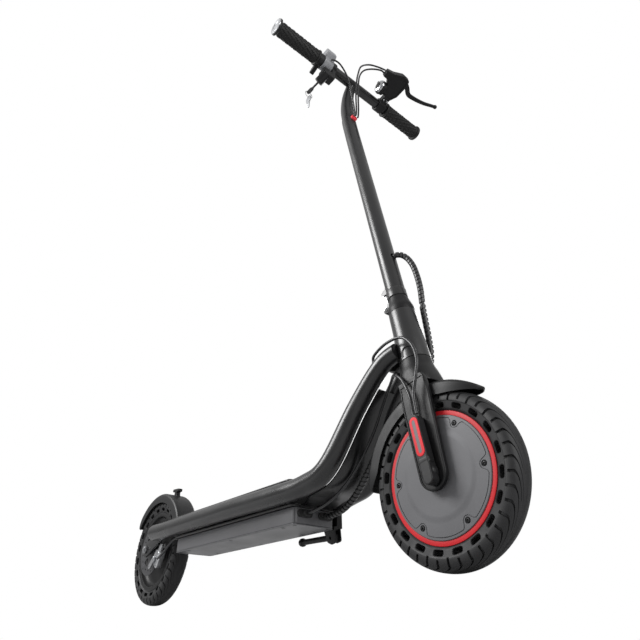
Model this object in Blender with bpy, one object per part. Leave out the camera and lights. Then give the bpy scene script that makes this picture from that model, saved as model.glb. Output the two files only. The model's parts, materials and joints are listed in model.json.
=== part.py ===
"""Folding electric kick scooter with a twin-tube frame, a hub motor in the front wheel,
a mechanical disc brake at the rear and an underslung battery box.

Metres, +Z up, +X forward, +Y towards the rider's left. The origin lies on the ground midway
between the two axles. Steering pieces are built in the steering frame, whose origin is the
front axle, whose Z runs up the raked steering axis and whose X points forward.
"""
import math

import bmesh
import bpy
from mathutils import Matrix, Vector

for leftover in list(bpy.data.objects):
    bpy.data.objects.remove(leftover, do_unlink=True)

# Whole machine
WHEELBASE = 0.946
RAKE = math.radians(10.1)
CLEARANCE = 0.0003
SHEET = 0.0025

# Wheels and tyres
TYRE_RADIUS = 0.127
TYRE_HALF_WIDTH = 0.0218
TYRE_SHOULDER_RADIUS = 0.110
TYRE_STEPS = 40
RIM_RADIUS = 0.0963
RIM_HALF_WIDTH = 0.0178
RIM_WELL_RADIUS = 0.091
RIM_WELL_HALF_WIDTH = 0.013
TYRE_HOLES = 20
TYRE_HOLE_RADIUS = 0.1030
TYRE_HOLE_LENGTH = 0.017
TYRE_HOLE_HEIGHT = 0.0078

# Hub motor
MOTOR_BORE_RADIUS = 0.0878
MOTOR_DOME_RADIUS = 0.061
MOTOR_FACE = 0.0240
MOTOR_RIM_FACE = 0.0172
MOTOR_BOSS_FACE = 0.0252
MOTOR_BOSS_RADIUS = 0.017
STATOR_RADIUS = 0.0780
STATOR_HALF_WIDTH = 0.0105
STATOR_TEETH = 12
AXLE_RADIUS = 0.006
FRONT_AXLE_HALF_LENGTH = 0.0405
AXLE_NUT_RADIUS = 0.0095

# Fork, crown and head
BLADE_INSIDE = 0.0265
BLADE_OUTSIDE = 0.0350
BLADE_END_RADIUS = 0.0245
BLADE_CENTRE = 0.0030
BLADE_HALF_LENGTH = 0.0270
CROWN_UNDERSIDE = 0.1475
CROWN_TOP = 0.2010
HEAD_LOW_RADIUS = 0.0280
HEAD_HIGH_RADIUS = 0.0243
HEAD_TOP = 0.3085
HEAD_BORE_RADIUS = 0.0170
HEAD_STEPS = 24
STEERER_RADIUS = 0.0143
STEERER_TOP = 0.3150
BEARING_RADIUS = 0.0213
BEARING_HEIGHT = 0.0085
GUSSET_HALF_WIDTH = 0.0082

# Fold joint
FOLD_SEAM = 0.3454
FOLD_PIN_HEIGHT = 0.3270
FOLD_PIN_OFFSET = -0.0200
FOLD_PIN_RADIUS = 0.0030
KNUCKLE_RADIUS = 0.0062
TONGUE_HALF_WIDTH = 0.0080
CHEEK_HALF_WIDTH = 0.0160
COLLAR_TOP = 0.3660
LEVER_PIVOT_HEIGHT = 0.3740
LEVER_PIVOT_OFFSET = -0.0250
LEVER_LENGTH = 0.0350
LEVER_HALF_WIDTH = 0.0062

# Stem and handlebar
STEM_RADIUS = 0.0180
STEM_STRAIGHT_TOP = 0.9300
NECK_TOP_RADIUS = 0.0120
BAR_RADIUS = 0.0125
BAR_STEPS = 18
BAR_HALF_LENGTH = 0.2480
BAR_FORWARD = 0.0430
BAR_HEIGHT = 1.0944
GRIP_RADIUS = 0.0178
GRIP_INNER_END = 0.1220
GRIP_OUTER_END = 0.2510
GRIP_FLANGE_RADIUS = 0.0213
END_CAP_RADIUS = 0.0205
END_CAP_FACE = 0.2540
LOOM_EXIT_HEIGHT = 0.4475
GROMMET_HEIGHT = 0.9600
GROMMET_RADIUS = 0.0092

# Fork covers
COVER_CENTRE = 0.0030
COVER_HALF_LENGTH = 0.0085
COVER_TOP = 0.0880
COVER_BOTTOM = -0.0200
COVER_OUTSIDE = 0.0515
REFLECTOR_TOP = 0.0830
REFLECTOR_BOTTOM = 0.0250
REFLECTOR_HALF_LENGTH = 0.0062
REFLECTOR_THICKNESS = 0.0014

# Fenders
FENDER_RADIUS = 0.1422
FENDER_THICKNESS = 0.0018
FENDER_SKIRT = 0.0230
FRONT_FENDER_HALF_WIDTH = 0.0252
REAR_FENDER_HALF_WIDTH = 0.0280

# Frame tubes
DECK_TUBE_HEIGHT = 0.1550
DECK_TUBE_SPREAD = 0.0606
DECK_TUBE_RADIUS = 0.0190
HEAD_TUBE_END_RADIUS = 0.0160
TUBE_WALL = 0.0025
TUBE_REAR_END = 0.0840
TUBE_SIDES = 12

# Deck and battery box
BOX_REAR = 0.1800
BOX_FRONT = -0.3060
BOX_HALF_WIDTH = 0.0470
BOX_BOTTOM = 0.1030
BOX_TOP = 0.1307
BOX_CORNER = 0.0090
COVER_PLATE_THICKNESS = 0.0020
FLANGE_HALF_WIDTH = 0.0540
FLANGE_THICKNESS = 0.0047
WELL_HALF_WIDTH = 0.0390
WELL_FRONT_MARGIN = 0.0300
BOARD_HALF_WIDTH = 0.0600
BOARD_THICKNESS = 0.0030
BOARD_REAR = 0.1480
MAT_THICKNESS = 0.0025
MAT_MARGIN = 0.0040
PANEL_OFFSET = -0.0142
PANEL_THICKNESS = 0.0022
PANEL_TOP = -0.1180

# Kickstand
STAND_PIVOT_BACK = 0.3240
STAND_SPREAD = 0.0600
STAND_PIVOT_HEIGHT = 0.0910
STAND_LENGTH = 0.0960
STAND_LEAN = math.radians(15.0)
STAND_RADIUS = 0.0055
STAND_FOOT_RADIUS = 0.0078
STAND_BOSS_RADIUS = 0.0100

# Rear end
DROPOUT_INSIDE = 0.0380
DROPOUT_OUTSIDE = 0.0440
DISC_RADIUS = 0.0600
DISC_THICKNESS = 0.0020
HUB_HALF_WIDTH = 0.0280
HUB_RADIUS = 0.0180
REAR_AXLE_HALF_LENGTH = 0.0515
CALIPER_ANGLE = math.radians(-25.0)
CALIPER_RADIUS = 0.0540

# Cords
LOOM_RADIUS = 0.0050
LOOM_RIB = 0.0009
CABLE_RADIUS = 0.0026
CABLE_HOLE = (WHEELBASE / 2 - 0.1040, -0.0315, 0.3360)
CONTROL_CABLE_RADIUS = 0.0022


def make_material(name, colour, roughness, metallic=0.0):
    """A Principled material with the part's own colour."""
    material = bpy.data.materials.new(name)
    material.use_nodes = True
    shader = material.node_tree.nodes["Principled BSDF"]
    shader.inputs["Base Color"].default_value = (*colour, 1.0)
    shader.inputs["Roughness"].default_value = roughness
    shader.inputs["Metallic"].default_value = metallic
    return material


BLACK_PAINT = make_material("black_paint", (0.020, 0.020, 0.022), 0.35, 0.2)
BLACK_PLASTIC = make_material("black_plastic", (0.018, 0.018, 0.019), 0.55)
BLACK_RUBBER = make_material("black_rubber", (0.015, 0.015, 0.015), 0.80)
GREY_METAL = make_material("grey_metal", (0.120, 0.125, 0.130), 0.45, 0.6)
SILVER = make_material("silver", (0.55, 0.56, 0.57), 0.30, 1.0)
RED = make_material("red", (0.75, 0.03, 0.04), 0.40)
STEEL = make_material("steel", (0.35, 0.36, 0.37), 0.40, 1.0)


def make_empty(name, location, rotation=(0.0, 0.0, 0.0)):
    """An empty that carries the pieces built in its own frame."""
    empty = bpy.data.objects.new(name, None)
    bpy.context.collection.objects.link(empty)
    empty.location = location
    empty.rotation_euler = rotation
    return empty


STEERING = make_empty("steering_frame", (WHEELBASE / 2, 0.0, TYRE_RADIUS), (0.0, -RAKE, 0.0))
FRONT_HUB = make_empty("front_hub_frame", (WHEELBASE / 2, 0.0, TYRE_RADIUS))
REAR_HUB = make_empty("rear_hub_frame", (-WHEELBASE / 2, 0.0, TYRE_RADIUS))


def steer_point(forward, side, height):
    """World point of a place given in the steering frame."""
    x = WHEELBASE / 2 + forward * math.cos(RAKE) - height * math.sin(RAKE)
    z = TYRE_RADIUS + forward * math.sin(RAKE) + height * math.cos(RAKE)
    return Vector((x, side, z))


BAR_CENTRE = steer_point(BAR_FORWARD, 0.0, BAR_HEIGHT)
BAR = make_empty("bar_frame", BAR_CENTRE)
LEVER_TILT = math.radians(-10.0)
LEVER = make_empty("lever_frame", BAR_CENTRE, (0.0, LEVER_TILT, 0.0))
STAND = make_empty("stand_frame", (WHEELBASE / 2 - STAND_PIVOT_BACK, STAND_SPREAD, STAND_PIVOT_HEIGHT),
                   (STAND_LEAN, 0.0, 0.0))

ALONG_Y = Matrix.Rotation(math.radians(-90.0), 4, "X")
PLANE_XZ = Matrix.Rotation(math.radians(90.0), 4, "X")


def from_rear(x, y, z):
    """World point measured from the ground under the rear axle."""
    return Vector((x - WHEELBASE / 2, y, z))


def from_front(x, y, z):
    """World point measured from the ground under the front axle."""
    return Vector((x + WHEELBASE / 2, y, z))


def link(name, data, material, parent=None, place=None):
    """Add an object that holds the data, under its parent."""
    item = bpy.data.objects.new(name, data)
    bpy.context.collection.objects.link(item)
    if material is not None:
        data.materials.append(material)
    if parent is not None:
        item.parent = parent
    if place is not None:
        item.matrix_local = place
    return item


def node(name, bm, material, parent=None, place=None, sharp=32.0):
    """Turn a bmesh into a named, smooth-shaded sub-part."""
    bmesh.ops.remove_doubles(bm, verts=bm.verts, dist=1e-6)
    bmesh.ops.recalc_face_normals(bm, faces=bm.faces)
    mesh = bpy.data.meshes.new(name)
    bm.to_mesh(mesh)
    bm.free()
    mesh.shade_smooth()
    mesh.set_sharp_from_angle(angle=math.radians(sharp))
    return link(name, mesh, material, parent, place)


def guide(name, bm, parent=None, place=None):
    """A hidden shape that a Boolean joins or cuts with."""
    item = node(name, bm, None, parent, place)
    item.hide_render = True
    item.display_type = "WIRE"
    return item


def boolean(item, tool, operation="DIFFERENCE"):
    """Join a guide to a piece or cut it away."""
    modifier = item.modifiers.new(operation.lower(), "BOOLEAN")
    modifier.object = tool
    modifier.operation = operation
    modifier.solver = "EXACT"
    return modifier


def loft(rings, bm=None, closed=False):
    """Skin a row of equal rings and cap both ends, or join the last to the first."""
    bm = bm or bmesh.new()
    rows = [[bm.verts.new(point) for point in ring] for ring in rings]
    count = len(rows[0])
    pairs = list(zip(rows, rows[1:]))
    if closed:
        pairs.append((rows[-1], rows[0]))
    for low, high in pairs:
        for i in range(count):
            j = (i + 1) % count
            bm.faces.new((low[i], low[j], high[j], high[i]))
    if not closed:
        bm.faces.new(list(reversed(rows[0])))
        bm.faces.new(rows[-1])
    return bm


def lathe(profile, steps, bm=None):
    """Turn a closed profile of (radius, height) points about Z."""
    rings = []
    for i in range(steps):
        angle = 2 * math.pi * i / steps
        rings.append([(r * math.cos(angle), r * math.sin(angle), h) for r, h in profile])
    return loft(rings, bm, closed=True)


def turned(profile, steps, bm=None):
    """Turn an open profile that starts and ends off the axis, with flat round end caps."""
    rings = []
    for r, h in profile:
        rings.append([(r * math.cos(2 * math.pi * i / steps), r * math.sin(2 * math.pi * i / steps), h)
                      for i in range(steps)])
    return loft(rings, bm)


def fillet(corners, steps=3):
    """Outline through (x, y, radius) corners, each rounded by an arc."""
    outline = []
    count = len(corners)
    for i, (x, y, radius) in enumerate(corners):
        here = Vector((x, y))
        before = (Vector(corners[i - 1][:2]) - here).normalized()
        after = (Vector(corners[(i + 1) % count][:2]) - here).normalized()
        half = before.angle(after) / 2
        if radius <= 0 or half > math.radians(88):
            outline.append((x, y))
            continue
        reach = radius / math.tan(half)
        centre = here + (before + after).normalized() * (radius / math.sin(half))
        start = here + before * reach - centre
        end = here + after * reach - centre
        turn = math.atan2(start.x * end.y - start.y * end.x, start.dot(end))
        for k in range(steps + 1):
            spot = start.copy()
            spot.rotate(Matrix.Rotation(turn * k / steps, 2))
            outline.append(tuple(centre + spot))
    return outline


def stadium(low, high, half, steps=6):
    """Outline of a slot whose round ends stand at (x, y) low and high."""
    low = Vector(low)
    high = Vector(high)
    angle = math.atan2(high.y - low.y, high.x - low.x)
    outline = []
    for centre, begin in ((high, angle - math.pi / 2), (low, angle + math.pi / 2)):
        for k in range(steps + 1):
            turn = begin + math.pi * k / steps
            outline.append((centre.x + half * math.cos(turn), centre.y + half * math.sin(turn)))
    return outline


def circle(x, y, radius, steps=16):
    """Outline of a circle."""
    return [(x + radius * math.cos(2 * math.pi * i / steps), y + radius * math.sin(2 * math.pi * i / steps))
            for i in range(steps)]


def inset(outline, amount):
    """The outline moved inwards by the amount, its corners mitred."""
    area = sum(a[0] * b[1] - b[0] * a[1] for a, b in zip(outline, outline[1:] + outline[:1]))
    side = 1.0 if area > 0 else -1.0
    moved = []
    for i, point in enumerate(outline):
        here = Vector(point)
        before = (here - Vector(outline[i - 1])).normalized()
        after = (Vector(outline[(i + 1) % len(outline)]) - here).normalized()
        normal = Vector((-before.y - after.y, before.x + after.x)).normalized() * side
        share = max(0.5, normal.dot(Vector((-after.y, after.x)) * side))
        moved.append(tuple(here + normal * amount / share))
    return moved


def slab(outline, low, high, bevel=0.0, bm=None):
    """An outline extruded along Z, with bevelled rims."""
    if bevel <= 0:
        return loft([[(x, y, h) for x, y in outline] for h in (low, high)], bm)
    small = inset(outline, bevel)
    rings = [[(x, y, low) for x, y in small], [(x, y, low + bevel) for x, y in outline],
             [(x, y, high - bevel) for x, y in outline], [(x, y, high) for x, y in small]]
    return loft(rings, bm)


def oval(forward, side, back, steps=24, power=2.0):
    """Points of a rounded section: its reach forward, sideways and back."""
    points = []
    for i in range(steps):
        angle = 2 * math.pi * i / steps
        c = math.cos(angle)
        s = math.sin(angle)
        reach = forward if c > 0 else back
        points.append((math.copysign(abs(c) ** (2 / power) * reach, c),
                       math.copysign(abs(s) ** (2 / power) * side, s)))
    return points


def smooth_path(knots, spans):
    """Points along a Catmull-Rom curve through the knots, spans of them between two knots."""
    knots = [Vector(knot) for knot in knots]
    ends = [knots[0] * 2 - knots[1]] + knots + [knots[-1] * 2 - knots[-2]]
    points = []
    for i in range(1, len(ends) - 2):
        p0, p1, p2, p3 = ends[i - 1:i + 3]
        for k in range(spans):
            t = k / spans
            points.append(0.5 * (2 * p1 + (p2 - p0) * t + (2 * p0 - 5 * p1 + 4 * p2 - p3) * t ** 2
                                 + (3 * p1 - p0 - 3 * p2 + p3) * t ** 3))
    points.append(knots[-1])
    return points


def evenly(points, step):
    """Points at even distances along a route, both ends kept."""
    lengths = [0.0]
    for a, b in zip(points, points[1:]):
        lengths.append(lengths[-1] + (b - a).length)
    count = max(2, round(lengths[-1] / step))
    result = []
    j = 0
    for k in range(count + 1):
        want = lengths[-1] * k / count
        while j < len(points) - 2 and lengths[j + 1] < want:
            j += 1
        share = (want - lengths[j]) / max(lengths[j + 1] - lengths[j], 1e-9)
        result.append(points[j].lerp(points[j + 1], min(max(share, 0.0), 1.0)))
    return result


def tube_rings(centres, radii, sides):
    """Round rings square to a path that lies mostly along X and Z."""
    rings = []
    for i, centre in enumerate(centres):
        ahead = centres[min(i + 1, len(centres) - 1)] - centres[max(i - 1, 0)]
        ahead.normalize()
        up = ahead.cross(Vector((0.0, 1.0, 0.0))).normalized()
        across = up.cross(ahead).normalized()
        rings.append([centre + radii[i] * (math.cos(2 * math.pi * k / sides) * across
                                           + math.sin(2 * math.pi * k / sides) * up)
                      for k in range(sides)])
    return rings


def cord(name, route, radius, step=3.0, ribs=0.0):
    """A round cord along a smooth curve through its route, as a bevelled curve."""
    points = evenly(smooth_path(route, 10), radius * 2 * step)
    curve = bpy.data.curves.new(name, "CURVE")
    curve.dimensions = "3D"
    curve.bevel_depth = radius
    curve.bevel_resolution = 2
    curve.use_fill_caps = True
    spline = curve.splines.new("POLY")
    spline.points.add(len(points) - 1)
    for i, (spot, point) in enumerate(zip(spline.points, points)):
        spot.co = (*point, 1.0)
        swell = ribs if 1 < i < len(points) - 2 and i % 2 else 0.0
        spot.radius = 1.0 + swell / radius
    return link(name, curve, BLACK_RUBBER)


def wheel_section():
    """Closed section of the tyre as (radius, height) points."""
    half = []
    power = 2.5
    crown = TYRE_RADIUS - TYRE_SHOULDER_RADIUS
    for degrees in (0.0, 38.0, 66.0, 90.0):
        angle = math.radians(degrees)
        half.append((TYRE_SHOULDER_RADIUS + crown * math.cos(angle) ** (2 / power),
                     TYRE_HALF_WIDTH * math.sin(angle) ** (2 / power)))
    half.append((RIM_RADIUS + 0.0016, RIM_HALF_WIDTH + 0.0012))
    half.append((RIM_WELL_RADIUS + 0.00035, RIM_WELL_HALF_WIDTH - 0.00015))
    mirrored = [(r, -h) for r, h in half[1:]]
    return half + list(reversed(mirrored))


def tyre(name, hub):
    """Solid honeycomb tyre with a ring of slots through its side walls."""
    body = node(name, lathe(wheel_section(), TYRE_STEPS), BLACK_RUBBER, hub, ALONG_Y, 28.0)
    slots = bmesh.new()
    reach = (TYRE_HOLE_LENGTH - TYRE_HOLE_HEIGHT) / 2
    for k in range(TYRE_HOLES):
        outline = stadium((-reach, 0.0), (reach, 0.0), TYRE_HOLE_HEIGHT / 2, 2)
        turn = Matrix.Rotation(2 * math.pi * (k + 0.5) / TYRE_HOLES, 2)
        placed = [tuple(turn @ Vector((TYRE_HOLE_RADIUS + y, x))) for x, y in outline]
        slab(placed, -0.03, 0.03, bm=slots)
    boolean(body, guide(name + "_slots", slots, hub, ALONG_Y))


def rim_profile(inner):
    """Outer part of a rim section: the flanges and the well that the tyre sits in."""
    outer = [(RIM_RADIUS, RIM_HALF_WIDTH), (RIM_WELL_RADIUS, RIM_WELL_HALF_WIDTH),
             (RIM_WELL_RADIUS, -RIM_WELL_HALF_WIDTH), (RIM_RADIUS, -RIM_HALF_WIDTH)]
    return outer + inner


def build_front_wheel():
    """Tyre, motor shell and the two domed motor covers."""
    tyre("front_tyre", FRONT_HUB)
    band = [(MOTOR_BORE_RADIUS, -RIM_HALF_WIDTH), (MOTOR_BORE_RADIUS, RIM_HALF_WIDTH)]
    node("motor_shell", lathe(rim_profile(band), TYRE_STEPS), RED, FRONT_HUB, ALONG_Y)
    bore = AXLE_RADIUS + CLEARANCE
    edge = MOTOR_BORE_RADIUS - CLEARANCE
    cover = [(bore, MOTOR_BOSS_FACE), (bore, STATOR_HALF_WIDTH + 0.003), (0.0150, STATOR_HALF_WIDTH + 0.003),
             (0.0150, MOTOR_FACE - 0.0030), (MOTOR_DOME_RADIUS - 0.006, MOTOR_FACE - 0.0030),
             (MOTOR_DOME_RADIUS, MOTOR_RIM_FACE - 0.0030), (edge, MOTOR_RIM_FACE - 0.0036),
             (edge, MOTOR_RIM_FACE), (MOTOR_DOME_RADIUS + 0.0050, MOTOR_RIM_FACE + 0.0014),
             (MOTOR_DOME_RADIUS - 0.0030, MOTOR_FACE), (MOTOR_BOSS_RADIUS + 0.002, MOTOR_FACE),
             (MOTOR_BOSS_RADIUS, MOTOR_BOSS_FACE)]
    for side, sign in (("left", 1.0), ("right", -1.0)):
        profile = [(r, h * sign) for r, h in cover]
        node(side + "_motor_cover", lathe(profile, 28), GREY_METAL, FRONT_HUB, ALONG_Y)


def build_motor_core():
    """Front axle with the toothed stator that it carries and its two end nuts."""
    outline = []
    for k in range(STATOR_TEETH):
        for share, radius in ((0.0, STATOR_RADIUS), (0.62, STATOR_RADIUS),
                              (0.66, STATOR_RADIUS - 0.016), (0.96, STATOR_RADIUS - 0.016)):
            angle = 2 * math.pi * (k + share) / STATOR_TEETH
            outline.append((radius * math.cos(angle), radius * math.sin(angle)))
    core = node("motor_stator", slab(outline, -STATOR_HALF_WIDTH, STATOR_HALF_WIDTH),
                STEEL, STEERING, ALONG_Y)
    nut_low = BLADE_OUTSIDE + CLEARANCE
    nut_high = nut_low + 0.0050
    ends = [(AXLE_RADIUS, nut_low), (AXLE_NUT_RADIUS, nut_low), (AXLE_NUT_RADIUS, nut_high),
            (AXLE_RADIUS, nut_high), (AXLE_RADIUS, FRONT_AXLE_HALF_LENGTH),
            (AXLE_RADIUS - 0.001, FRONT_AXLE_HALF_LENGTH + 0.001)]
    rod = [(r, -h) for r, h in reversed(ends)] + ends
    boolean(core, guide("front_axle_rod", turned(rod, 12), STEERING, ALONG_Y), "UNION")


def build_fork():
    """Crown, two flat blades and the steerer, in one casting, bored for the axle."""
    crown_low = CROWN_UNDERSIDE
    sections = [(crown_low, 0.0330, 0.0346, 0.0306, 3.0), (crown_low + 0.012, 0.0330, 0.0346, 0.0300, 2.8),
                (crown_low + 0.026, 0.0312, 0.0332, 0.0292, 2.4), (CROWN_TOP - 0.014, 0.0288, 0.0298, 0.0282, 2.1),
                (CROWN_TOP, HEAD_LOW_RADIUS, HEAD_LOW_RADIUS, HEAD_LOW_RADIUS, 2.0)]
    rings = [[(x, y, s) for x, y in oval(front, side, back, 20, power)]
             for s, front, side, back, power in sections]
    fork = node("fork", loft(rings), BLACK_PAINT, STEERING)
    front_edge = smooth_path([(BLADE_END_RADIUS, 0.0, 0.0), (0.0262, 0.028, 0.0), (0.0285, 0.060, 0.0),
                              (0.0305, 0.092, 0.0), (0.0325, crown_low - 0.026, 0.0), (0.0322, crown_low, 0.0),
                              (0.0290, crown_low + 0.018, 0.0)], 1)
    back_edge = smooth_path([(-0.0270, crown_low + 0.018, 0.0), (-0.0215, crown_low - 0.004, 0.0),
                             (-0.0235, crown_low - 0.024, 0.0), (-BLADE_END_RADIUS, 0.060, 0.0),
                             (-BLADE_END_RADIUS, 0.0, 0.0)], 1)
    outline = [(point.x, -point.y) for point in front_edge + back_edge]
    for k in range(1, 8):
        angle = math.pi - math.pi * k / 8
        outline.append((BLADE_END_RADIUS * math.cos(angle), BLADE_END_RADIUS * math.sin(angle)))
    for side, sign in (("left", 1.0), ("right", -1.0)):
        limits = sorted((sign * BLADE_INSIDE, sign * BLADE_OUTSIDE))
        blade = slab(outline, limits[0], limits[1], 0.0014)
        boolean(fork, guide(side + "_blade", blade, STEERING, ALONG_Y), "UNION")
    steerer = turned([(STEERER_RADIUS, CROWN_TOP - 0.010), (STEERER_RADIUS, STEERER_TOP - 0.001),
                      (STEERER_RADIUS - 0.001, STEERER_TOP)], 16)
    boolean(fork, guide("steerer", steerer, STEERING), "UNION")
    seat = slab(circle(0.0, 0.0, 0.008, 10), FENDER_RADIUS + CLEARANCE, crown_low + 0.004)
    boolean(fork, guide("fender_seat", seat, STEERING), "UNION")
    bore = slab(circle(0.0, 0.0, AXLE_RADIUS + CLEARANCE, 14), -0.05, 0.05)
    boolean(fork, guide("axle_bore", bore, STEERING, ALONG_Y))


def build_fork_covers():
    """Long housings over the axle nuts, each with a reflector strip let into its face."""
    inner = BLADE_OUTSIDE + CLEARANCE
    low = COVER_BOTTOM + COVER_HALF_LENGTH
    high = COVER_TOP - COVER_HALF_LENGTH
    outline = stadium((COVER_CENTRE, low), (COVER_CENTRE, high), COVER_HALF_LENGTH, 6)
    outline = [(f, -s) for f, s in outline]
    foot = circle(0.0, 0.0, AXLE_NUT_RADIUS + 0.0035, 12)
    pocket = circle(0.0, 0.0, AXLE_NUT_RADIUS + 0.0008, 10)
    strip_low = REFLECTOR_BOTTOM + REFLECTOR_HALF_LENGTH
    strip_high = REFLECTOR_TOP - REFLECTOR_HALF_LENGTH
    strip = stadium((COVER_CENTRE, -strip_low), (COVER_CENTRE, -strip_high), REFLECTOR_HALF_LENGTH, 5)
    seat = [(f, s) for f, s in inset(strip, -CLEARANCE)]
    for side, sign in (("left", 1.0), ("right", -1.0)):
        limits = sorted((sign * inner, sign * COVER_OUTSIDE))
        cover = node(side + "_fork_cover", slab(outline, limits[0], limits[1], 0.0022),
                     BLACK_PLASTIC, STEERING, ALONG_Y)
        limits = sorted((sign * inner, sign * (FRONT_AXLE_HALF_LENGTH + 0.006)))
        boolean(cover, guide(side + "_cover_foot", slab(foot, limits[0], limits[1], 0.0015), STEERING, ALONG_Y),
                "UNION")
        limits = sorted((sign * (inner - 0.002), sign * (FRONT_AXLE_HALF_LENGTH + 0.002)))
        boolean(cover, guide(side + "_nut_pocket", slab(pocket, *limits), STEERING, ALONG_Y))
        depth = COVER_OUTSIDE - REFLECTOR_THICKNESS / 2
        limits = sorted((sign * depth, sign * (COVER_OUTSIDE + 0.004)))
        boolean(cover, guide(side + "_reflector_seat", slab(seat, *limits), STEERING, ALONG_Y))
        limits = sorted((sign * (depth + CLEARANCE), sign * (depth + REFLECTOR_THICKNESS)))
        node(side + "_reflector", slab(strip, limits[0], limits[1], 0.0004), RED, STEERING, ALONG_Y)


def fender(name, start, end, half_width, parent, rear_taper, front_taper):
    """Arched mudguard: a channel with skirts that shorten towards both rounded ends."""
    steps = 12
    corner = 0.007
    rows = []
    for k in range(steps + 1):
        share = k / steps
        angle = start + (end - start) * share
        ease_front = min(1.0, share / front_taper)
        ease_rear = min(1.0, (1.0 - share) / rear_taper)
        ease = math.sin(math.pi / 2 * min(ease_front, ease_rear))
        depth = corner + 0.0015 + (FENDER_SKIRT - corner - 0.0015) * ease
        width = half_width * (0.72 + 0.28 * ease)
        outer = [(-width, FENDER_RADIUS - depth)]
        for j in range(3):
            turn = math.radians(180.0 - 45.0 * j)
            outer.append((-width + corner + corner * math.cos(turn),
                          FENDER_RADIUS - corner + corner * math.sin(turn)))
        outer += [(-w, r) for w, r in reversed(outer)]
        inner = [(w * (width - FENDER_THICKNESS) / width, r - FENDER_THICKNESS * (r > FENDER_RADIUS - depth + 1e-6))
                 for w, r in outer]
        direction = Vector((math.cos(angle), 0.0, math.sin(angle)))
        rows.append(([direction * r + Vector((0.0, w, 0.0)) for w, r in outer],
                     [direction * r + Vector((0.0, w, 0.0)) for w, r in inner]))
    bm = bmesh.new()
    grid = [([bm.verts.new(p) for p in outer], [bm.verts.new(p) for p in inner]) for outer, inner in rows]
    last = len(grid[0][0]) - 1
    for (outer_a, inner_a), (outer_b, inner_b) in zip(grid, grid[1:]):
        for i in range(last):
            bm.faces.new((outer_a[i], outer_a[i + 1], outer_b[i + 1], outer_b[i]))
            bm.faces.new((inner_a[i + 1], inner_a[i], inner_b[i], inner_b[i + 1]))
        for i in (0, last):
            bm.faces.new((outer_a[i], outer_b[i], inner_b[i], inner_a[i]))
    for outer, inner in (grid[0], grid[-1]):
        for i in range(last):
            bm.faces.new((outer[i], outer[i + 1], inner[i + 1], inner[i]))
    return node(name, bm, BLACK_PLASTIC, parent)


def build_fenders():
    """Front mudguard on the fork, rear mudguard on the deck with the hook that holds the folded bar."""
    fender("front_fender", math.radians(47.0) - RAKE, math.radians(179.0) - RAKE,
           FRONT_FENDER_HALF_WIDTH, STEERING, 0.12, 0.10)
    rear = fender("rear_fender", math.radians(9.5), math.radians(151.0),
                  REAR_FENDER_HALF_WIDTH, REAR_HUB, 0.12, 0.02)
    top = FENDER_RADIUS
    hook = fillet([(0.041, top - 0.0150, 0.0), (0.060, top - 0.0190, 0.0), (0.0545, top - 0.0060, 0.003),
                   (0.0530, top + 0.0000, 0.002), (0.0640, top + 0.0008, 0.002), (0.0640, top + 0.0078, 0.002),
                   (0.0310, top + 0.0106, 0.003), (0.0300, top + 0.0030, 0.003), (0.0425, top + 0.0020, 0.003)], 2)
    raised = [(x, -z) for x, z in hook]
    boolean(rear, guide("fender_hook", slab(raised, -0.006, 0.006, 0.001), REAR_HUB, ALONG_Y), "UNION")
    reach = BOX_REAR - CLEARANCE
    tab_height = DECK_TUBE_HEIGHT - 0.0030 - TYRE_RADIUS
    tab = fillet([(0.1345, tab_height, 0.0), (reach, tab_height, 0.0), (reach, tab_height + 0.003, 0.0),
                  (0.1345, tab_height + 0.003, 0.0)], 2)
    flat = [(x, -z) for x, z in tab]
    boolean(rear, guide("fender_tab", slab(flat, -0.020, 0.020), REAR_HUB, ALONG_Y), "UNION")


def frame_knots(sign):
    """Centre line of one frame tube: rear end, deck, sweep and head."""
    spread = DECK_TUBE_SPREAD
    level = DECK_TUBE_HEIGHT
    knots = [(from_rear(TUBE_REAR_END, spread, level + 0.001), DECK_TUBE_RADIUS),
             (from_rear(0.150, spread, level), DECK_TUBE_RADIUS),
             (from_rear(0.300, spread, level), DECK_TUBE_RADIUS),
             (from_rear(0.450, spread, level), DECK_TUBE_RADIUS),
             (from_front(-0.346, spread - 0.0016, level - 0.001), DECK_TUBE_RADIUS),
             (from_front(-0.266, spread - 0.0053, level + 0.0029), 0.0186),
             (from_front(-0.206, spread - 0.0083, level + 0.0242), 0.0180),
             (from_front(-0.146, spread - 0.0253, level + 0.1169), 0.0170),
             (from_front(-0.086, spread - 0.0321, level + 0.1775), 0.0162),
             (from_front(-0.040, spread - 0.0400, level + 0.1960), HEAD_TUBE_END_RADIUS)]
    return [((point.x, sign * point.y, point.z), radius) for point, radius in knots]


def frame_path(sign, spans=2):
    """Centres and radii along one frame tube, closer together in the sweep than along the deck."""
    knots = frame_knots(sign)
    straight = 4
    centres = smooth_path([point for point, _ in knots], spans)
    radii = [point.x for point in smooth_path([(radius, 0.0, 0.0) for _, radius in knots], spans)]
    kept = [i for i in range(len(centres)) if i >= straight * spans or i % spans == 0]
    return [centres[i] for i in kept], [radii[i] for i in kept]


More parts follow.
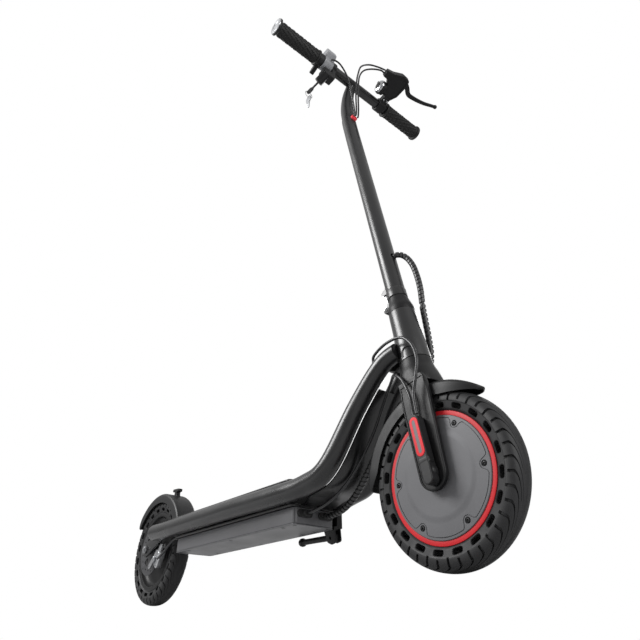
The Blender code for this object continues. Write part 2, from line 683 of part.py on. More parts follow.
def build_frame_tubes():
    """Two hollow tubes with round closed rear ends, dropout plates and cut front ends."""
    for side, sign in (("left", 1.0), ("right", -1.0)):
        centres, radii = frame_path(sign)
        ahead = (centres[1] - centres[0]).normalized()
        dome = []
        dome_radii = []
        for k in range(3):
            angle = math.radians(20.0 + 70.0 * k / 3)
            dome.append(centres[0] - ahead * radii[0] * math.cos(angle))
            dome_radii.append(radii[0] * math.sin(angle))
        outer = tube_rings(dome + centres, dome_radii + radii, TUBE_SIDES)
        inner_radii = [radius - TUBE_WALL for radius in radii]
        inner = tube_rings(centres, inner_radii, TUBE_SIDES)
        kept = [inner[0]] + inner[3:-1:2] + inner[-1:]
        body = node(side + "_frame_tube", loft(outer + list(reversed(kept))), BLACK_PAINT, None, None, 40.0)
        arm = fillet([(0.0, 0.0170, 0.004), (-0.0120, 0.0140, 0.006), (-0.0180, 0.0, 0.008),
                      (-0.0120, -0.0140, 0.006), (0.0, -0.0180, 0.008), (0.0160, -0.0130, 0.006),
                      (0.0780, 0.0130, 0.004), (0.1000, 0.0160, 0.003), (0.1000, 0.0360, 0.003),
                      (0.0600, 0.0400, 0.004)], 2)
        flat = [(x, -z) for x, z in arm]
        limits = sorted((sign * DROPOUT_INSIDE, sign * DROPOUT_OUTSIDE))
        boolean(body, guide(side + "_dropout", slab(flat, limits[0], limits[1], 0.0008), REAR_HUB, ALONG_Y), "UNION")
        bore = slab(circle(0.0, 0.0, AXLE_RADIUS + CLEARANCE, 16), -0.06, 0.06)
        boolean(body, guide(side + "_dropout_bore", bore, REAR_HUB, ALONG_Y))
        cut = turned([(radius + CLEARANCE, height) for radius, height in head_outline()], HEAD_STEPS)
        boolean(body, guide(side + "_head_cut", cut, STEERING))
        beyond = slab([(-0.013, -0.06), (0.06, -0.06), (0.06, 0.06), (-0.013, 0.06)], 0.15, 0.34)
        boolean(body, guide(side + "_end_cut", beyond, STEERING))
        if side == "right":
            hole = slab(circle(0.0, 0.0, CABLE_RADIUS + 0.0007, 10), -0.014, 0.014)
            place = Matrix.Translation(CABLE_HOLE)
            boolean(body, guide("cable_hole", hole, None, place))


def head_outline():
    """Outer (radius, height) points of the head tube, from its foot to its top."""
    low = CROWN_TOP + 0.0006
    return [(HEAD_LOW_RADIUS, low), (HEAD_LOW_RADIUS - 0.0006, low + 0.032),
            (HEAD_HIGH_RADIUS + 0.0010, HEAD_TOP - 0.042), (HEAD_HIGH_RADIUS, HEAD_TOP)]


def build_head():
    """Head tube with bearing seats and the gusset between the two frame tubes."""
    seat = BEARING_RADIUS + CLEARANCE
    low = CROWN_TOP + 0.0006
    profile = head_outline() + [
        (seat, HEAD_TOP), (seat, HEAD_TOP - BEARING_HEIGHT - 0.0006),
        (HEAD_BORE_RADIUS, HEAD_TOP - BEARING_HEIGHT - 0.0006),
        (HEAD_BORE_RADIUS, low + BEARING_HEIGHT + 0.0006), (seat, low + BEARING_HEIGHT + 0.0006), (seat, low)]
    head = node("head_tube", lathe(profile, HEAD_STEPS), BLACK_PAINT, STEERING)
    web = fillet([(-0.0235, 0.2080, 0.0), (-0.0400, 0.2060, 0.004), (-0.0600, 0.2180, 0.006),
                  (-0.0520, 0.2440, 0.006), (-0.0235, 0.2640, 0.0)], 2)
    flat = [(f, -s) for f, s in web]
    boolean(head, guide("head_gusset", slab(flat, -GUSSET_HALF_WIDTH, GUSSET_HALF_WIDTH, 0.0015), STEERING, ALONG_Y),
            "UNION")
    for name, start in (("lower_headset_bearing", low + CLEARANCE), ("upper_headset_bearing",
                                                                   HEAD_TOP - BEARING_HEIGHT - CLEARANCE)):
        ring = [(STEERER_RADIUS + CLEARANCE, start), (BEARING_RADIUS, start),
                (BEARING_RADIUS, start + BEARING_HEIGHT), (STEERER_RADIUS + CLEARANCE, start + BEARING_HEIGHT)]
        node(name, lathe(ring, 16), STEEL, STEERING)


def build_fold_base():
    """Casting on top of the steerer: slotted at the rear for the stem's tongue, with its pin."""
    low = HEAD_TOP + 0.0006
    sections = [(low, HEAD_HIGH_RADIUS, HEAD_HIGH_RADIUS), (low + 0.010, 0.0245, 0.0232),
                (FOLD_SEAM - 0.014, 0.0215, 0.0200), (FOLD_SEAM - 0.0003, STEM_RADIUS + 0.0004, STEM_RADIUS + 0.0002)]
    rings = [[(x, y, s) for x, y in oval(front, (front + back) / 2, back, 16)] for s, front, back in sections]
    base = node("fold_base", loft(rings), BLACK_PAINT, STEERING)
    cheeks = slab(circle(FOLD_PIN_OFFSET, -FOLD_PIN_HEIGHT, KNUCKLE_RADIUS + 0.0004, 16),
                  -CHEEK_HALF_WIDTH, CHEEK_HALF_WIDTH, 0.0008)
    boolean(base, guide("cheeks", cheeks, STEERING, ALONG_Y), "UNION")
    socket = slab(circle(0.0, 0.0, STEERER_RADIUS + CLEARANCE, 16), low - 0.002, STEERER_TOP + CLEARANCE)
    boolean(base, guide("steerer_socket", socket, STEERING))
    slot_half = TONGUE_HALF_WIDTH + CLEARANCE
    bottom = FOLD_PIN_HEIGHT - KNUCKLE_RADIUS - 0.0005
    slot = slab([(-0.040, -slot_half), (FOLD_PIN_OFFSET + KNUCKLE_RADIUS + 0.0016, -slot_half),
                 (FOLD_PIN_OFFSET + KNUCKLE_RADIUS + 0.0016, slot_half), (-0.040, slot_half)],
                bottom, FOLD_SEAM + 0.004)
    boolean(base, guide("tongue_slot", slot, STEERING))
    pin = slab(circle(FOLD_PIN_OFFSET, -FOLD_PIN_HEIGHT, FOLD_PIN_RADIUS, 14),
               -CHEEK_HALF_WIDTH - 0.001, CHEEK_HALF_WIDTH + 0.001)
    boolean(base, guide("fold_pin", pin, STEERING, ALONG_Y), "UNION")


def neck_path():
    """Centre and radius of the curved neck, from the straight stem to the bar."""
    knots = [(0.0, STEM_STRAIGHT_TOP, STEM_RADIUS), (0.0026, BAR_HEIGHT - 0.120, 0.0180), (0.0050, BAR_HEIGHT - 0.084, 0.0176),
             (0.0122, BAR_HEIGHT - 0.052, 0.0166), (0.0215, BAR_HEIGHT - 0.027, 0.0150),
             (0.0340, BAR_HEIGHT - 0.008, NECK_TOP_RADIUS + 0.001), (BAR_FORWARD + 0.002, BAR_HEIGHT + 0.002,
                                                                    NECK_TOP_RADIUS)]
    return knots


def build_stem():
    """Hollow stem with its curved neck, the fold tongue and the two ears of the fold lever."""
    steps = 16
    knots = neck_path()
    neck = smooth_path([(f, 0.0, s) for f, s, _ in knots], 2)
    neck_radii = [point.x for point in smooth_path([(r, 0.0, 0.0) for _, _, r in knots], 2)]
    centres = [Vector((0.0, 0.0, FOLD_SEAM + 0.0006))] + neck
    radii = [STEM_RADIUS] + neck_radii

    def skin(first, last, thinner):
        rings = []
        for i in range(first, last):
            ahead = (centres[min(i + 1, len(centres) - 1)] - centres[max(i - 1, 0)]).normalized()
            out = Vector((ahead.z, 0.0, -ahead.x))
            reach = radii[i] - thinner
            rings.append([centres[i] + out * reach * math.cos(2 * math.pi * k / steps)
                          + Vector((0.0, reach * math.sin(2 * math.pi * k / steps), 0.0)) for k in range(steps)])
        return rings
    hollow = skin(0, len(centres) - 5, SHEET)
    hollow[0] = [point + Vector((0.0, 0.0, COLLAR_TOP - FOLD_SEAM)) for point in hollow[0]]
    stem = node("stem", loft(skin(0, len(centres), 0.0)), BLACK_PAINT, STEERING, None, 40.0)
    boolean(stem, guide("stem_cavity", loft(hollow), STEERING))
    bar_cut = slab(circle(BAR_FORWARD, -BAR_HEIGHT, BAR_RADIUS + CLEARANCE, 20), -0.06, 0.06)
    boolean(stem, guide("bar_seat", bar_cut, STEERING, ALONG_Y))
    collar = loft([[(x, y, s) for x, y in circle(0.0, 0.0, r, steps)]
                   for s, r in ((FOLD_SEAM + 0.0006, STEM_RADIUS + 0.0002), (FOLD_SEAM + 0.002, STEM_RADIUS + 0.0012),
                                (COLLAR_TOP - 0.003, STEM_RADIUS + 0.0012), (COLLAR_TOP, STEM_RADIUS + 0.0002))])
    boolean(stem, guide("stem_collar", collar, STEERING), "UNION")
    tongue = fillet([(FOLD_PIN_OFFSET + KNUCKLE_RADIUS, FOLD_PIN_HEIGHT, 0.0),
                     (FOLD_PIN_OFFSET + KNUCKLE_RADIUS, FOLD_SEAM + 0.004, 0.0),
                     (FOLD_PIN_OFFSET - KNUCKLE_RADIUS + 0.0035, FOLD_SEAM + 0.004, 0.0),
                     (FOLD_PIN_OFFSET - KNUCKLE_RADIUS, FOLD_PIN_HEIGHT, 0.0)], 2)
    for k in range(1, 10):
        angle = math.pi + math.pi * k / 10
        tongue.append((FOLD_PIN_OFFSET + KNUCKLE_RADIUS * math.cos(angle),
                       FOLD_PIN_HEIGHT + KNUCKLE_RADIUS * math.sin(angle)))
    flat = [(f, -s) for f, s in tongue]
    boolean(stem, guide("stem_tongue", slab(flat, -TONGUE_HALF_WIDTH, TONGUE_HALF_WIDTH), STEERING, ALONG_Y), "UNION")
    pin_hole = slab(circle(FOLD_PIN_OFFSET, -FOLD_PIN_HEIGHT, FOLD_PIN_RADIUS + CLEARANCE, 14), -0.02, 0.02)
    boolean(stem, guide("tongue_bore", pin_hole, STEERING, ALONG_Y))
    ear = fillet([(-0.0150, LEVER_PIVOT_HEIGHT - 0.006, 0.0), (LEVER_PIVOT_OFFSET, LEVER_PIVOT_HEIGHT - 0.0045, 0.003),
                  (LEVER_PIVOT_OFFSET - 0.0042, LEVER_PIVOT_HEIGHT, 0.003),
                  (LEVER_PIVOT_OFFSET, LEVER_PIVOT_HEIGHT + 0.0045, 0.003), (-0.0150, LEVER_PIVOT_HEIGHT + 0.010, 0.0)], 2)
    flat = [(f, -s) for f, s in ear]
    for name, sign in (("left_ear", 1.0), ("right_ear", -1.0)):
        limits = sorted((sign * (LEVER_HALF_WIDTH + CLEARANCE), sign * (LEVER_HALF_WIDTH + 0.0028)))
        boolean(stem, guide(name, slab(flat, *limits), STEERING, ALONG_Y), "UNION")
    pin = slab(circle(LEVER_PIVOT_OFFSET, -LEVER_PIVOT_HEIGHT, 0.0016, 10), -LEVER_HALF_WIDTH - 0.002,
               LEVER_HALF_WIDTH + 0.002)
    boolean(stem, guide("lever_pin", pin, STEERING, ALONG_Y), "UNION")
    loom_hole = slab(circle(0.0, 0.0, LOOM_RADIUS + LOOM_RIB + 0.0014, 14), 0.0, 0.03)
    place = Matrix.Translation((0.0, 0.0, LOOM_EXIT_HEIGHT)) @ Matrix.Rotation(math.radians(90.0), 4, "Y")
    boolean(stem, guide("loom_hole", loom_hole, STEERING, place))
    grommet_hole = slab(circle(0.0, 0.0, GROMMET_RADIUS, 16), 0.0, 0.03)
    place = Matrix.Translation((0.0, 0.0, GROMMET_HEIGHT)) @ Matrix.Rotation(math.radians(90.0), 4, "Y")
    boolean(stem, guide("grommet_hole", grommet_hole, STEERING, place))
    plug = turned([(GROMMET_RADIUS - CLEARANCE, 0.0140), (GROMMET_RADIUS - CLEARANCE, 0.0205),
                   (GROMMET_RADIUS - 0.0015, 0.0218)], 16)
    place = Matrix.Translation((0.0015, 0.0, GROMMET_HEIGHT)) @ Matrix.Rotation(math.radians(90.0), 4, "Y")
    node("cable_grommet", plug, RED, STEERING, place)


def build_fold_lever():
    """Silver fold lever on the back of the stem: an eye, a flat blade and a curled tip."""
    eye = 0.0038
    top = LEVER_PIVOT_HEIGHT
    back = LEVER_PIVOT_OFFSET
    outline = []
    for k in range(9):
        angle = math.radians(0.0 + 180.0 * k / 8)
        outline.append((back + eye * math.cos(angle), top + eye * math.sin(angle)))
    outline += [(back - eye - 0.0004, top - 0.010), (back - eye - 0.0006, top - LEVER_LENGTH + 0.010),
                (back - eye - 0.0040, top - LEVER_LENGTH + 0.002), (back - eye - 0.0020, top - LEVER_LENGTH),
                (back - eye + 0.0020, top - LEVER_LENGTH + 0.004), (back + eye - 0.0030, top - LEVER_LENGTH + 0.012),
                (back + eye - 0.0014, top - 0.010)]
    flat = [(f, -s) for f, s in outline]
    lever = node("fold_lever", slab(flat, -LEVER_HALF_WIDTH, LEVER_HALF_WIDTH, 0.0006), SILVER, STEERING, ALONG_Y)
    bore = slab(circle(back, -top, 0.0016 + CLEARANCE, 10), -0.02, 0.02)
    boolean(lever, guide("fold_lever_bore", bore, STEERING, ALONG_Y))


def build_handlebar():
    """Straight bar with ribbed grips and end caps."""
    inner = BAR_RADIUS - 0.0022
    bar = [(BAR_RADIUS, -BAR_HALF_LENGTH), (BAR_RADIUS, BAR_HALF_LENGTH), (inner, BAR_HALF_LENGTH),
           (inner, -BAR_HALF_LENGTH)]
    node("handlebar", lathe(bar, BAR_STEPS), BLACK_PAINT, BAR, ALONG_Y)
    bore = BAR_RADIUS + CLEARANCE
    for side, sign in (("left", 1.0), ("right", -1.0)):
        grip = [(bore, GRIP_INNER_END), (GRIP_FLANGE_RADIUS - 0.001, GRIP_INNER_END),
                (GRIP_FLANGE_RADIUS - 0.001, GRIP_INNER_END + 0.0045), (GRIP_RADIUS - 0.0006, GRIP_INNER_END + 0.0060),
                (GRIP_RADIUS - 0.0004, GRIP_OUTER_END - 0.0065),
                (GRIP_FLANGE_RADIUS, GRIP_OUTER_END - 0.0045), (GRIP_FLANGE_RADIUS, GRIP_OUTER_END),
                (bore, GRIP_OUTER_END)]
        node(side + "_grip", lathe([(r, h * sign) for r, h in grip], BAR_STEPS), BLACK_RUBBER, BAR, ALONG_Y)
        plug = inner - CLEARANCE
        cap = [(plug, BAR_HALF_LENGTH - 0.012), (plug, GRIP_OUTER_END + CLEARANCE), (END_CAP_RADIUS, GRIP_OUTER_END + CLEARANCE),
               (END_CAP_RADIUS, END_CAP_FACE - 0.0010), (END_CAP_RADIUS - 0.0015, END_CAP_FACE)]
        finish = SILVER if side == "right" else BLACK_PLASTIC
        node(side + "_end_cap", turned([(r, h * sign) for r, h in cap], BAR_STEPS), finish, BAR, ALONG_Y)


BRAKE_PIVOT = (0.0940, 0.1080)
LEVER_HALF_THICKNESS = 0.0034
LEVER_BODY_HALF_THICKNESS = 0.0085
BELL_FORWARD = 0.0420
BELL_RADIUS = 0.0185


def build_brake_lever():
    """Clamp and body on the left side of the bar, with the dog-leg lever, the bell and its striker."""
    pivot_x, pivot_y = BRAKE_PIVOT
    clamp = lathe([(BAR_RADIUS + CLEARANCE, 0.0910), (0.0175, 0.0910), (0.0175, 0.1140),
                   (BAR_RADIUS + CLEARANCE, 0.1140)], BAR_STEPS)
    body = node("brake_lever_body", clamp, BLACK_PAINT, LEVER, ALONG_Y)
    corners = [(0.0150, 0.0920, 0.0), (0.0300, 0.0920, 0.004), (0.0520, 0.0800, 0.008), (0.0700, 0.0660, 0.006),
               (0.0700, 0.0500, 0.002), (0.0890, 0.0500, 0.002), (0.0930, 0.0700, 0.010), (0.1040, 0.0950, 0.010),
               (0.1030, 0.1200, 0.008), (0.0800, 0.1240, 0.006), (0.0500, 0.1230, 0.008), (0.0300, 0.1130, 0.008),
               (0.0150, 0.1130, 0.0)]
    arm = slab(fillet(corners, 1), -LEVER_BODY_HALF_THICKNESS, LEVER_BODY_HALF_THICKNESS, 0.0020)
    boolean(body, guide("lever_arm", arm, LEVER), "UNION")
    gap = LEVER_HALF_THICKNESS + CLEARANCE
    slot = slab([(0.0600, 0.0960), (0.1300, 0.0960), (0.1300, 0.1500), (0.0600, 0.1500)], -gap, gap)
    boolean(body, guide("lever_slot", slot, LEVER))
    pin = slab(circle(pivot_x, pivot_y, 0.0025, 12), -LEVER_BODY_HALF_THICKNESS, LEVER_BODY_HALF_THICKNESS)
    boolean(body, guide("brake_pin", pin, LEVER), "UNION")
    mount = turned([(0.0150, 0.0725), (0.0165, 0.0735), (0.0165, 0.0800), (0.0110, 0.0830), (0.0100, 0.0960)], 16)
    place = Matrix.Translation((BELL_FORWARD, 0.0, 0.0)) @ ALONG_Y
    boolean(body, guide("bell_mount", mount, LEVER, place), "UNION")
    centre = [(pivot_x, pivot_y), (0.0850, 0.1290), (0.0735, 0.1460), (0.0735, 0.1660), (0.0800, 0.2000),
              (0.0885, 0.2250), (0.0935, 0.2420)]
    widths = [0.0070, 0.0066, 0.0062, 0.0056, 0.0048, 0.0046, 0.0058]
    path = smooth_path([(x, y, 0.0) for x, y in centre], 2)
    spread = [point.x for point in smooth_path([(w, 0.0, 0.0) for w in widths], 2)]
    left = []
    right = []
    for i, point in enumerate(path):
        ahead = (path[min(i + 1, len(path) - 1)] - path[max(i - 1, 0)]).normalized()
        across = Vector((-ahead.y, ahead.x, 0.0))
        left.append(point + across * spread[i])
        right.append(point - across * spread[i])
    ends = []
    for end, nearby, reach in ((path[-1], path[-2], spread[-1]), (path[0], path[1], spread[0])):
        ahead = (end - nearby).normalized()
        across = Vector((-ahead.y, ahead.x, 0.0))
        ends.append([end + reach * (math.cos(math.radians(degrees)) * across + math.sin(math.radians(degrees)) * ahead)
                     for degrees in (144.0, 108.0, 72.0, 36.0)])
    round_tip, round_end = ends
    outline = [(p.x, p.y) for p in right + round_tip + list(reversed(left)) + round_end]
    lever = node("brake_lever", slab(outline, -LEVER_HALF_THICKNESS, LEVER_HALF_THICKNESS, 0.0010),
                 BLACK_PAINT, LEVER)
    bore = slab(circle(pivot_x, pivot_y, 0.0025 + CLEARANCE, 12), -0.02, 0.02)
    boolean(lever, guide("brake_lever_bore", bore, LEVER))


def build_bell():
    """Silver bell cup on the lever body and the sprung striker beside it."""
    place = Matrix.Translation((BELL_FORWARD, 0.0, 0.0)) @ ALONG_Y
    cup = [(0.0178, 0.0721), (BELL_RADIUS, 0.0705), (BELL_RADIUS, 0.0680), (0.0168, 0.0625), (0.0120, 0.0592),
           (0.0050, 0.0578)]
    node("bell_cup", turned(cup, 20), SILVER, LEVER, place)
    knob = slab([(-0.0035, -0.0205), (0.0035, -0.0205), (0.0028, -0.0265), (-0.0028, -0.0265)], 0.0640, 0.0770, 0.0008)
    striker = node("bell_striker", knob, BLACK_PLASTIC, LEVER, place)
    arm = slab([(-0.0030, -0.0170), (0.0030, -0.0170), (0.0030, -0.0262), (-0.0030, -0.0262)], 0.0740, 0.0795, 0.0008)
    boolean(striker, guide("striker_arm", arm, LEVER, place), "UNION")


THROTTLE_LOW = 0.0790
THROTTLE_HIGH = 0.1072
PADDLE_LOW = 0.1078
PADDLE_HIGH = 0.1212
LOCK_PLACE = Matrix.Translation((-0.0080, -0.0940, -0.0420))
LOCK_AXIS = Vector((-0.83, -0.25, -0.50)).normalized()


def build_throttle():
    """Throttle housing with its display block on the right side of the bar, and the thumb paddle."""
    ring = slab(circle(0.0, 0.0, 0.0190, BAR_STEPS), -THROTTLE_HIGH, -THROTTLE_LOW)
    housing = node("throttle_housing", ring, GREY_METAL, BAR, ALONG_Y)
    block = fillet([(0.0, -0.0150, 0.0), (-0.0080, -0.0320, 0.004), (0.0240, -0.0320, 0.006), (0.0300, -0.0120, 0.006),
                    (0.0180, 0.0, 0.004)], 2)
    shape = slab(block, -THROTTLE_HIGH + 0.0005, -THROTTLE_LOW - 0.0005, 0.0010)
    boolean(housing, guide("display_block", shape, BAR, ALONG_Y), "UNION")
    bore = slab(circle(0.0, 0.0, BAR_RADIUS + CLEARANCE, BAR_STEPS), -0.13, -0.05)
    boolean(housing, guide("throttle_bore", bore, BAR, ALONG_Y))
    ring = slab(circle(0.0, 0.0, 0.0170, BAR_STEPS), -PADDLE_HIGH, -PADDLE_LOW)
    paddle = node("throttle_paddle", ring, BLACK_PLASTIC, BAR, ALONG_Y)
    tab = fillet([(-0.0100, 0.0080, 0.0), (-0.0150, 0.0040, 0.003), (-0.0370, 0.0150, 0.003),
                  (-0.0340, 0.0215, 0.003), (-0.0120, 0.0145, 0.003)], 2)
    boolean(paddle, guide("paddle_tab", slab(tab, -PADDLE_HIGH + 0.001, -PADDLE_LOW - 0.001, 0.0008), BAR, ALONG_Y),
            "UNION")
    bore = slab(circle(0.0, 0.0, BAR_RADIUS + CLEARANCE, BAR_STEPS), -0.13, -0.05)
    boolean(paddle, guide("paddle_bore", bore, BAR, ALONG_Y))


LOCK_RADIUS = 0.0115
LOCK_FACE = 0.0200
KEY_LENGTH = 0.0270


def lock_frame():
    """Frame of the key lock: Z along the key, X as level as it can be."""
    across = LOCK_AXIS.cross(Vector((0.0, 0.0, 1.0))).normalized()
    up = across.cross(LOCK_AXIS).normalized()
    rotation = Matrix((across, -up, LOCK_AXIS)).transposed().to_4x4()
    return LOCK_PLACE @ rotation


def build_lock():
    """Key lock slung under the bar, its key, and the ring that carries the spare key."""
    ring = slab(circle(0.0, 0.0, 0.0165, BAR_STEPS), -0.0785, -0.0660)
    lock = node("ignition_lock", ring, BLACK_PLASTIC, BAR, ALONG_Y)
    strap = fillet([(-0.0120, 0.0100, 0.0), (0.0100, 0.0120, 0.0), (0.0060, 0.0420, 0.004), (-0.0200, 0.0420, 0.004)], 2)
    boolean(lock, guide("lock_strap", slab(strap, -0.0780, -0.0665, 0.0010), BAR, ALONG_Y), "UNION")
    pod = fillet([(-0.0190, 0.0228, 0.003), (0.0070, 0.0228, 0.003), (0.0065, 0.0440, 0.004), (-0.0200, 0.0440, 0.004)],
                 2)
    boolean(lock, guide("lock_pod", slab(pod, -0.1020, -0.0670, 0.0010), BAR, ALONG_Y), "UNION")
    place = lock_frame()
    barrel = turned([(LOCK_RADIUS - 0.001, -0.0120), (LOCK_RADIUS, -0.0110), (LOCK_RADIUS, LOCK_FACE - 0.002),
                     (LOCK_RADIUS - 0.0015, LOCK_FACE)], 18)
    boolean(lock, guide("lock_barrel", barrel, BAR, place), "UNION")
    bore = slab(circle(0.0, 0.0, BAR_RADIUS + CLEARANCE, BAR_STEPS), -0.10, -0.05)
    boolean(lock, guide("lock_bore", bore, BAR, ALONG_Y))
    keyway = slab(circle(0.0, 0.0, 0.0042, 12), LOCK_FACE - 0.006, LOCK_FACE + 0.004)
    boolean(lock, guide("keyway", keyway, BAR, place))
    tip = LOCK_FACE - 0.0055
    bow = LOCK_FACE + KEY_LENGTH
    shaft = [(-0.0038, tip), (0.0038, tip), (0.0038, bow - 0.009), (0.0085, bow - 0.004), (0.0085, bow + 0.008),
             (0.0045, bow + 0.012), (-0.0045, bow + 0.012), (-0.0085, bow + 0.008), (-0.0085, bow - 0.004),
             (-0.0038, bow - 0.009)]
    flat = Matrix.Rotation(math.radians(90.0), 4, "X")
    turn = Matrix.Rotation(math.radians(90.0), 4, "Z")
    key = node("ignition_key", slab(shaft, -0.0010, 0.0010), STEEL, BAR, place @ turn @ flat)
    hole = slab(circle(0.0, bow + 0.0070, 0.0022, 12), -0.01, 0.01)
    boolean(key, guide("key_hole", hole, BAR, place @ turn @ flat))
    return place @ turn @ flat @ Vector((0.0, bow + 0.0070, 0.0))


def build_spare_key(hang):
    """Split ring through the key's bow, with the spare key hanging from it."""
    centre = hang + Vector((0.0, 0.0, -0.0108))
    wire = 0.0008
    ring_radius = 0.0108
    bm = bmesh.new()
    rings = []
    for i in range(20):
        angle = 2 * math.pi * i / 20
        out = Vector((0.0, math.cos(angle), math.sin(angle)))
        rings.append([centre + out * ring_radius + wire * (math.cos(2 * math.pi * k / 6) * out
                                                         + math.sin(2 * math.pi * k / 6) * Vector((1.0, 0.0, 0.0)))
                      for k in range(6)])
    loft(rings, bm, closed=True)
    spare = node("spare_key", bm, STEEL, BAR)
    top = centre.z - ring_radius
    outline = [(-0.0040, top + 0.004), (0.0040, top + 0.004), (0.0095, top - 0.003), (0.0095, top - 0.014),
               (0.0035, top - 0.020), (0.0030, top - 0.038), (0.0, top - 0.041), (-0.0030, top - 0.038),
               (-0.0035, top - 0.020), (-0.0095, top - 0.014), (-0.0095, top - 0.003)]
    blank = loft([[(centre.x + x, centre.y + side, z) for x, z in outline] for side in (-0.0011, 0.0011)])
    boolean(spare, guide("spare_blank", blank, BAR), "UNION")


def box_outline(half_width, rear, front, corner):
    """Rectangular outline with round corners between two places along the deck."""
    return fillet([(rear, -half_width, corner), (front, -half_width, corner), (front, half_width, corner),
                   (rear, half_width, corner)], 3)


def build_deck():
    """Foot board, rubber mat, base plate with its rising panel, battery box, cover, pack and controller."""
    rear = BOX_REAR - WHEELBASE / 2
    front = BOX_FRONT + WHEELBASE / 2
    board_low = DECK_TUBE_HEIGHT + DECK_TUBE_RADIUS + CLEARANCE
    board_high = board_low + BOARD_THICKNESS
    board_rear = BOARD_REAR - WHEELBASE / 2
    board = fillet([(board_rear, -BOARD_HALF_WIDTH + 0.012, 0.010), (board_rear + 0.020, -BOARD_HALF_WIDTH, 0.012),
                    (front - 0.004, -BOARD_HALF_WIDTH, 0.010), (front + 0.004, -0.036, 0.004), (front + 0.004, 0.036, 0.004),
                    (front - 0.004, BOARD_HALF_WIDTH, 0.010), (board_rear + 0.020, BOARD_HALF_WIDTH, 0.012),
                    (board_rear, BOARD_HALF_WIDTH - 0.012, 0.010)], 2)
    node("deck_board", slab(board, board_low, board_high, 0.0006), BLACK_PAINT)
    mat = inset(board, MAT_MARGIN)
    node("deck_mat", slab(mat, board_high + CLEARANCE, board_high + CLEARANCE + MAT_THICKNESS, 0.0006), BLACK_RUBBER)
    flange_low = BOX_TOP + CLEARANCE
    flange_high = flange_low + FLANGE_THICKNESS
    plate = box_outline(FLANGE_HALF_WIDTH, rear - 0.002, front + 0.002, BOX_CORNER)
    base = node("deck_base", slab(plate, flange_low, flange_high, 0.0008), BLACK_PAINT)
    well = box_outline(WELL_HALF_WIDTH, rear, front - WELL_FRONT_MARGIN, BOX_CORNER)
    boolean(base, guide("well_wall", slab(well, flange_low + 0.001, board_low - CLEARANCE), None), "UNION")
    panel = rising_panel(front - 0.006, flange_low + 0.0030)
    boolean(base, guide("rising_base", panel, None), "UNION")
    space = box_outline(WELL_HALF_WIDTH - SHEET, rear + SHEET, front - WELL_FRONT_MARGIN - SHEET, BOX_CORNER - SHEET)
    boolean(base, guide("well_space", slab(space, flange_low - 0.01, board_low + 0.01), None))
    box = node("battery_box", slab(box_outline(BOX_HALF_WIDTH, rear, front, BOX_CORNER), BOX_BOTTOM, BOX_TOP),
               GREY_METAL)
    space = box_outline(BOX_HALF_WIDTH - SHEET, rear + SHEET, front - SHEET, BOX_CORNER - SHEET)
    boolean(box, guide("box_space", slab(space, BOX_BOTTOM - 0.01, BOX_TOP + 0.01), None))
    cover_high = BOX_BOTTOM - CLEARANCE
    lid = slab(box_outline(BOX_HALF_WIDTH, rear, front, BOX_CORNER), cover_high - COVER_PLATE_THICKNESS, cover_high,
               0.0006)
    node("bottom_cover", lid, GREY_METAL)
    low = BOX_BOTTOM + CLEARANCE
    cells = box_outline(WELL_HALF_WIDTH - SHEET - 0.0008, rear + 0.014, front - 0.125, 0.006)
    node("battery_pack", slab(cells, low, board_low - 0.004, 0.002), BLACK_PLASTIC)
    unit = box_outline(WELL_HALF_WIDTH - SHEET - 0.0008, front - 0.115, front - 0.042, 0.003)
    node("motor_controller", slab(unit, low, low + 0.034, 0.001), GREY_METAL)
    return box, front


def rising_panel(start, level):
    """Thin panel between the tubes that leaves the base plate and follows their sweep upwards."""
    centres, radii = frame_path(1.0, 2)
    begin = BOX_FRONT + WHEELBASE / 2
    limit = PANEL_TOP + WHEELBASE / 2
    up = Vector((0.0, 0.0, 1.0))
    rings = [(Vector((start, 0.0, level)), up, 0.034), (Vector((begin + 0.012, 0.0, level)), up, 0.034)]
    for i, (centre, radius) in enumerate(zip(centres, radii)):
        ahead = (centres[min(i + 1, len(centres) - 1)] - centres[max(i - 1, 0)])
        up = Vector((-ahead.z, 0.0, ahead.x)).normalized()
        middle = Vector((centre.x, 0.0, centre.z)) + up * (PANEL_OFFSET + PANEL_THICKNESS / 2)
        if middle.x < begin + 0.030 or centre.x > limit + 0.004:
            continue
        chord = math.sqrt(max(radius ** 2 - (abs(PANEL_OFFSET) - PANEL_THICKNESS) ** 2, 0.0))
        rings.append((middle, up, centre.y - chord - 0.0012))
    loops = []
    for middle, up, half in rings:
        thick = up * PANEL_THICKNESS / 2
        side = Vector((0.0, half, 0.0))
        loops.append([middle + side + thick, middle - side + thick, middle - side - thick, middle + side - thick])
    return loft(loops)


GLAND_PLACES = ((-0.0240, 0.1205), (0.0240, 0.1205))
GLAND_HALF_WIDTH = 0.0085
GLAND_HALF_HEIGHT = 0.0055
GLAND_REACH = 0.0100


def build_gland(front):
    """Rubber gland on the front of the box, where the loom and the motor cable go in."""
    plate = fillet([(-0.0360, 0.1135, 0.003), (0.0360, 0.1135, 0.003), (0.0360, 0.1275, 0.003), (-0.0360, 0.1275, 0.003)], 2)
    turn = Matrix(((0.0, 0.0, 1.0, 0.0), (1.0, 0.0, 0.0, 0.0), (0.0, 1.0, 0.0, 0.0), (0.0, 0.0, 0.0, 1.0)))
    place = Matrix.Translation((front + CLEARANCE, 0.0, 0.0)) @ turn
    gland = node("cable_gland", slab(plate, 0.0, 0.0030, 0.0008), BLACK_RUBBER, None, place)
    for k, (y, z) in enumerate(GLAND_PLACES):
        reach = GLAND_HALF_WIDTH - GLAND_HALF_HEIGHT
        nose = slab(stadium((y - reach, z), (y + reach, z), GLAND_HALF_HEIGHT, 5), 0.001, GLAND_REACH, 0.0008)
        boolean(gland, guide("gland_nose_%d" % k, nose, None, place), "UNION")


